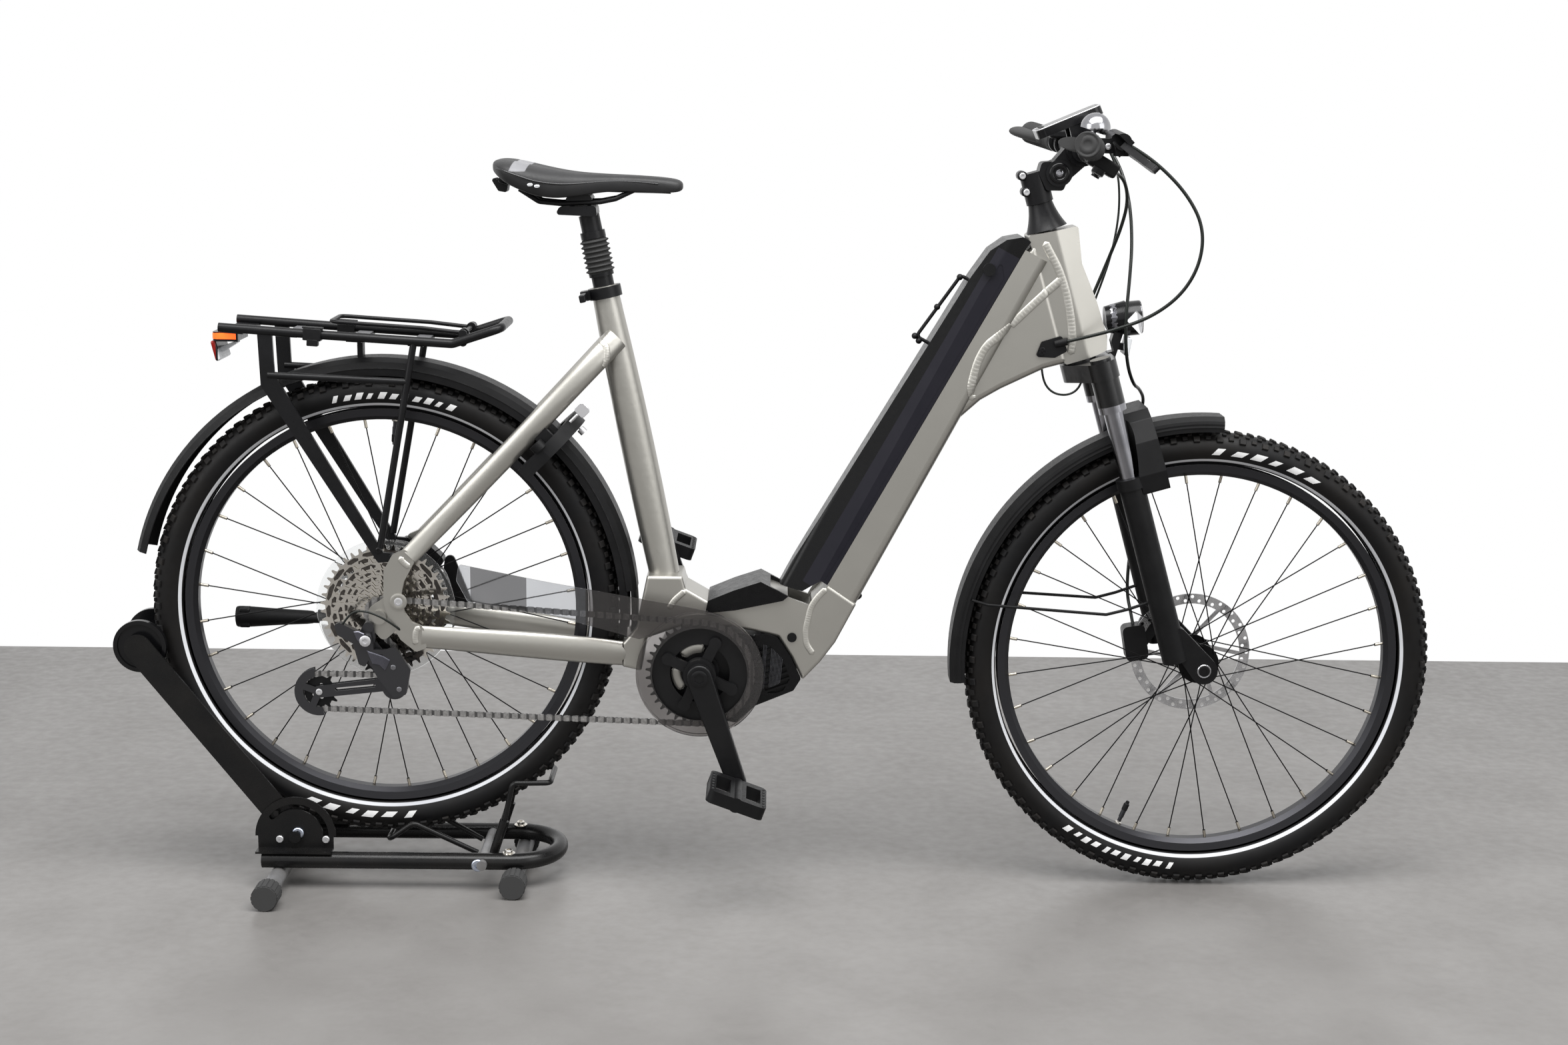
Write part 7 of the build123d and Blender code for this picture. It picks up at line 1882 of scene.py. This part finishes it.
    def guard_beads(self) -> None:
        """Thin polished edge along both mudguards."""
        for wheel, radius, span in zip(Wheel, self.guard_r, (FRONT_GUARD_SPAN, REAR_GUARD_SPAN)):
            form = Form()
            for hand in SIDES:
                low, out = radius - self.guard_depth - 0.0002, hand * (self.guard_half - 0.0012)
                form.tube([on_circle(wheel.hub, low, turn, out) for turn in even_steps(*span)], 0.0013, 8)
            form.piece(wheel.value + "_mudguard_beads", wheel.carrier, GLOSS_BLACK, "black_gloss", sharp=60)

    def guard_skirts(self) -> None:
        """Skirts inside both mudguards."""
        for wheel, span in zip(Wheel, (FRONT_GUARD_SPAN, self.rear_skirt)):
            form = Form()
            for hand in SIDES:
                form.skin([[on_circle(wheel.hub, r, turn, hand * y) for r, y in self.skirt]
                           for turn in even_steps(*span)])
            form.piece(wheel.value + "_mudguard_skirts", wheel.carrier, MATT_BLACK, "black_matte", sharp=60)

    def guard_tail(self) -> None:
        """Lower end of the rear mudguard, behind the seat tube."""
        rows = []
        for k in range(13):
            turn = REAR_GUARD_SPAN[0] + 0.06 - k
            half = self.guard_half * (1.0 if k < 10 else 1.0 - 0.12 * (k - 9) ** 1.5)
            rim = [(self.guard_r[1] - self.guard_depth * (1 - math.cos(a)) * 0.5, half * math.sin(a))
                   for a in (math.radians(90 * m / 6) for m in range(-6, 7))]
            rows.append([on_circle(REAR_HUB, r, turn, y) for r, y in rim]
                        + [on_circle(REAR_HUB, r - 0.0014, turn, y * 0.98) for r, y in reversed(rim)])
        Form().skin(rows).piece("rear_mudguard_tail", "bike_frame", MATT_BLACK, "black_matte", sharp=60)

    def build(self) -> None:
        """Make all of it."""
        self.lamp_strip()
        self.rack_clips()
        self.lock_key()
        self.kickstand_foot()
        self.strap_knobs()
        self.guard_beads()
        self.guard_skirts()
        self.guard_tail()


# ---- stage ----


@dataclass
class Studio:
    """Floor, white surroundings, soft lamps and the camera."""

    back_edge: float = 1.35
    floor_half: float = 9.0
    floor_colour: Colour = (0.182, 0.175, 0.169)
    fill: float = 0.55
    # of each lamp: name, place, aim, size and watts
    lamps: Sequence[tuple[str, Point, Point, tuple[float, float], float]] = (
        ("top_box", (0.2, -0.9, 2.9), (0.0, 0.0, 0.5), (3.2, 1.6), 142.0),
        ("front_box", (2.4, -2.2, 1.9), (0.1, 0.0, 0.6), (2.0, 2.0), 24.0),
        ("rear_box", (-2.6, -1.8, 1.8), (-0.2, 0.0, 0.5), (2.0, 2.0), 36.0))
    camera_place: Point = (-0.012, -3.28631, 1.1935)
    camera_yaw: float = -0.006862
    camera_pitch: float = 0.193815
    camera_roll: float = 0.0122258
    lens: float = 52.005

    def floor(self) -> None:
        """Grey satin floor that ends at the white backdrop."""
        half, form = self.floor_half, Form()
        form.add([Vector((x, y, 0.0)) for x, y in ((-half, -half), (half, -half), (half, self.back_edge),
                                                   (-half, self.back_edge))], [(0, 1, 2, 3)])
        finish = Finish("studio_floor", self.floor_colour, 0.38, 0.0, (0.150, 0.143, 0.137), 5.5, 0.08, 60,
                        0.02)
        form.piece("studio_floor", None, finish)

    def surroundings(self) -> None:
        """White world for camera, mirror and glass rays, and a plain pale light for the rest."""
        world = bpy.data.worlds.new("studio")
        bpy.context.scene.world = world
        world.use_nodes = True
        nodes, links = world.node_tree.nodes, world.node_tree.links
        nodes.clear()
        out = nodes.new("ShaderNodeOutputWorld")
        rays = nodes.new("ShaderNodeLightPath")
        mix = nodes.new("ShaderNodeMixShader")
        for slot, strength in ((1, self.fill), (2, 1.0)):
            light = nodes.new("ShaderNodeBackground")
            light.inputs[0].default_value, light.inputs[1].default_value = (1.0, 1.0, 1.0, 1.0), strength
            links.new(light.outputs[0], mix.inputs[slot])
        share = rays.outputs["Is Camera Ray"]
        for other in ("Is Glossy Ray", "Is Transmission Ray"):
            either = nodes.new("ShaderNodeMath")
            either.operation = "MAXIMUM"
            links.new(share, either.inputs[0])
            links.new(rays.outputs[other], either.inputs[1])
            share = either.outputs[0]
        links.new(share, mix.inputs[0])
        links.new(mix.outputs[0], out.inputs[0])

    def lamp(self, name: str, place: Point, aim: Point, size: tuple[float, float], power: float) -> None:
        """One soft box that looks from a place at a point.

        Args:
            name: Name of the lamp.
            place: Its place.
            aim: Point that it looks at.
            size: Its width and height.
            power: Its power in watts.
        """
        light = bpy.data.lights.new(name, "AREA")
        light.shape, light.size, light.size_y, light.energy = "RECTANGLE", *size, power
        holder = bpy.data.objects.new(name, light)
        bpy.context.scene.collection.objects.link(holder)
        holder.location = place
        holder.rotation_euler = (Vector(aim) - Vector(place)).to_track_quat("-Z", "Y").to_euler()

    def camera(self) -> None:
        """Camera on the chain side, a little above the bar."""
        lens = bpy.data.cameras.new("camera")
        lens.sensor_width, lens.lens = 36.0, self.lens
        lens.clip_start, lens.clip_end = 0.05, 60.0
        holder = bpy.data.objects.new("camera", lens)
        bpy.context.scene.collection.objects.link(holder)
        turn = (Matrix.Rotation(self.camera_yaw, 4, "Z")
                @ Matrix.Rotation(math.pi / 2 - self.camera_pitch, 4, "X")
                @ Matrix.Rotation(self.camera_roll, 4, "Z"))
        holder.matrix_world = Matrix.Translation(self.camera_place) @ turn
        bpy.context.scene.camera = holder

    def build(self) -> None:
        """Put up the whole stage."""
        self.floor()
        self.surroundings()
        for lamp in self.lamps:
            self.lamp(*lamp)
        self.camera()
        bpy.context.scene.view_settings.view_transform = "Standard"


def main() -> None:
    """Build the object's looks in order, then the stage round it."""
    logging.basicConfig(level=logging.INFO, format="%(message)s")
    PackedParts().dress()
    for cord in CORDS:
        cord.build()
    Tyre(Wheel.FRONT, ((89.0, 58.0, 6), (-94.0, -127.0, 11))).build()
    Tyre(Wheel.REAR, ((103.0, 69.5, 11), (-82.5, -114.0, 6))).build()
    WheelTrim().build()
    FrameTrim().build()
    Saddle().build()
    SeatBellows().build()
    for screws in SCREWS:
        screws.build()
    RailBolts().build()
    Cockpit().build()
    DriveTrim().build()
    RearTrim().build()
    Studio().build()


if __name__ == "__main__":
    main()
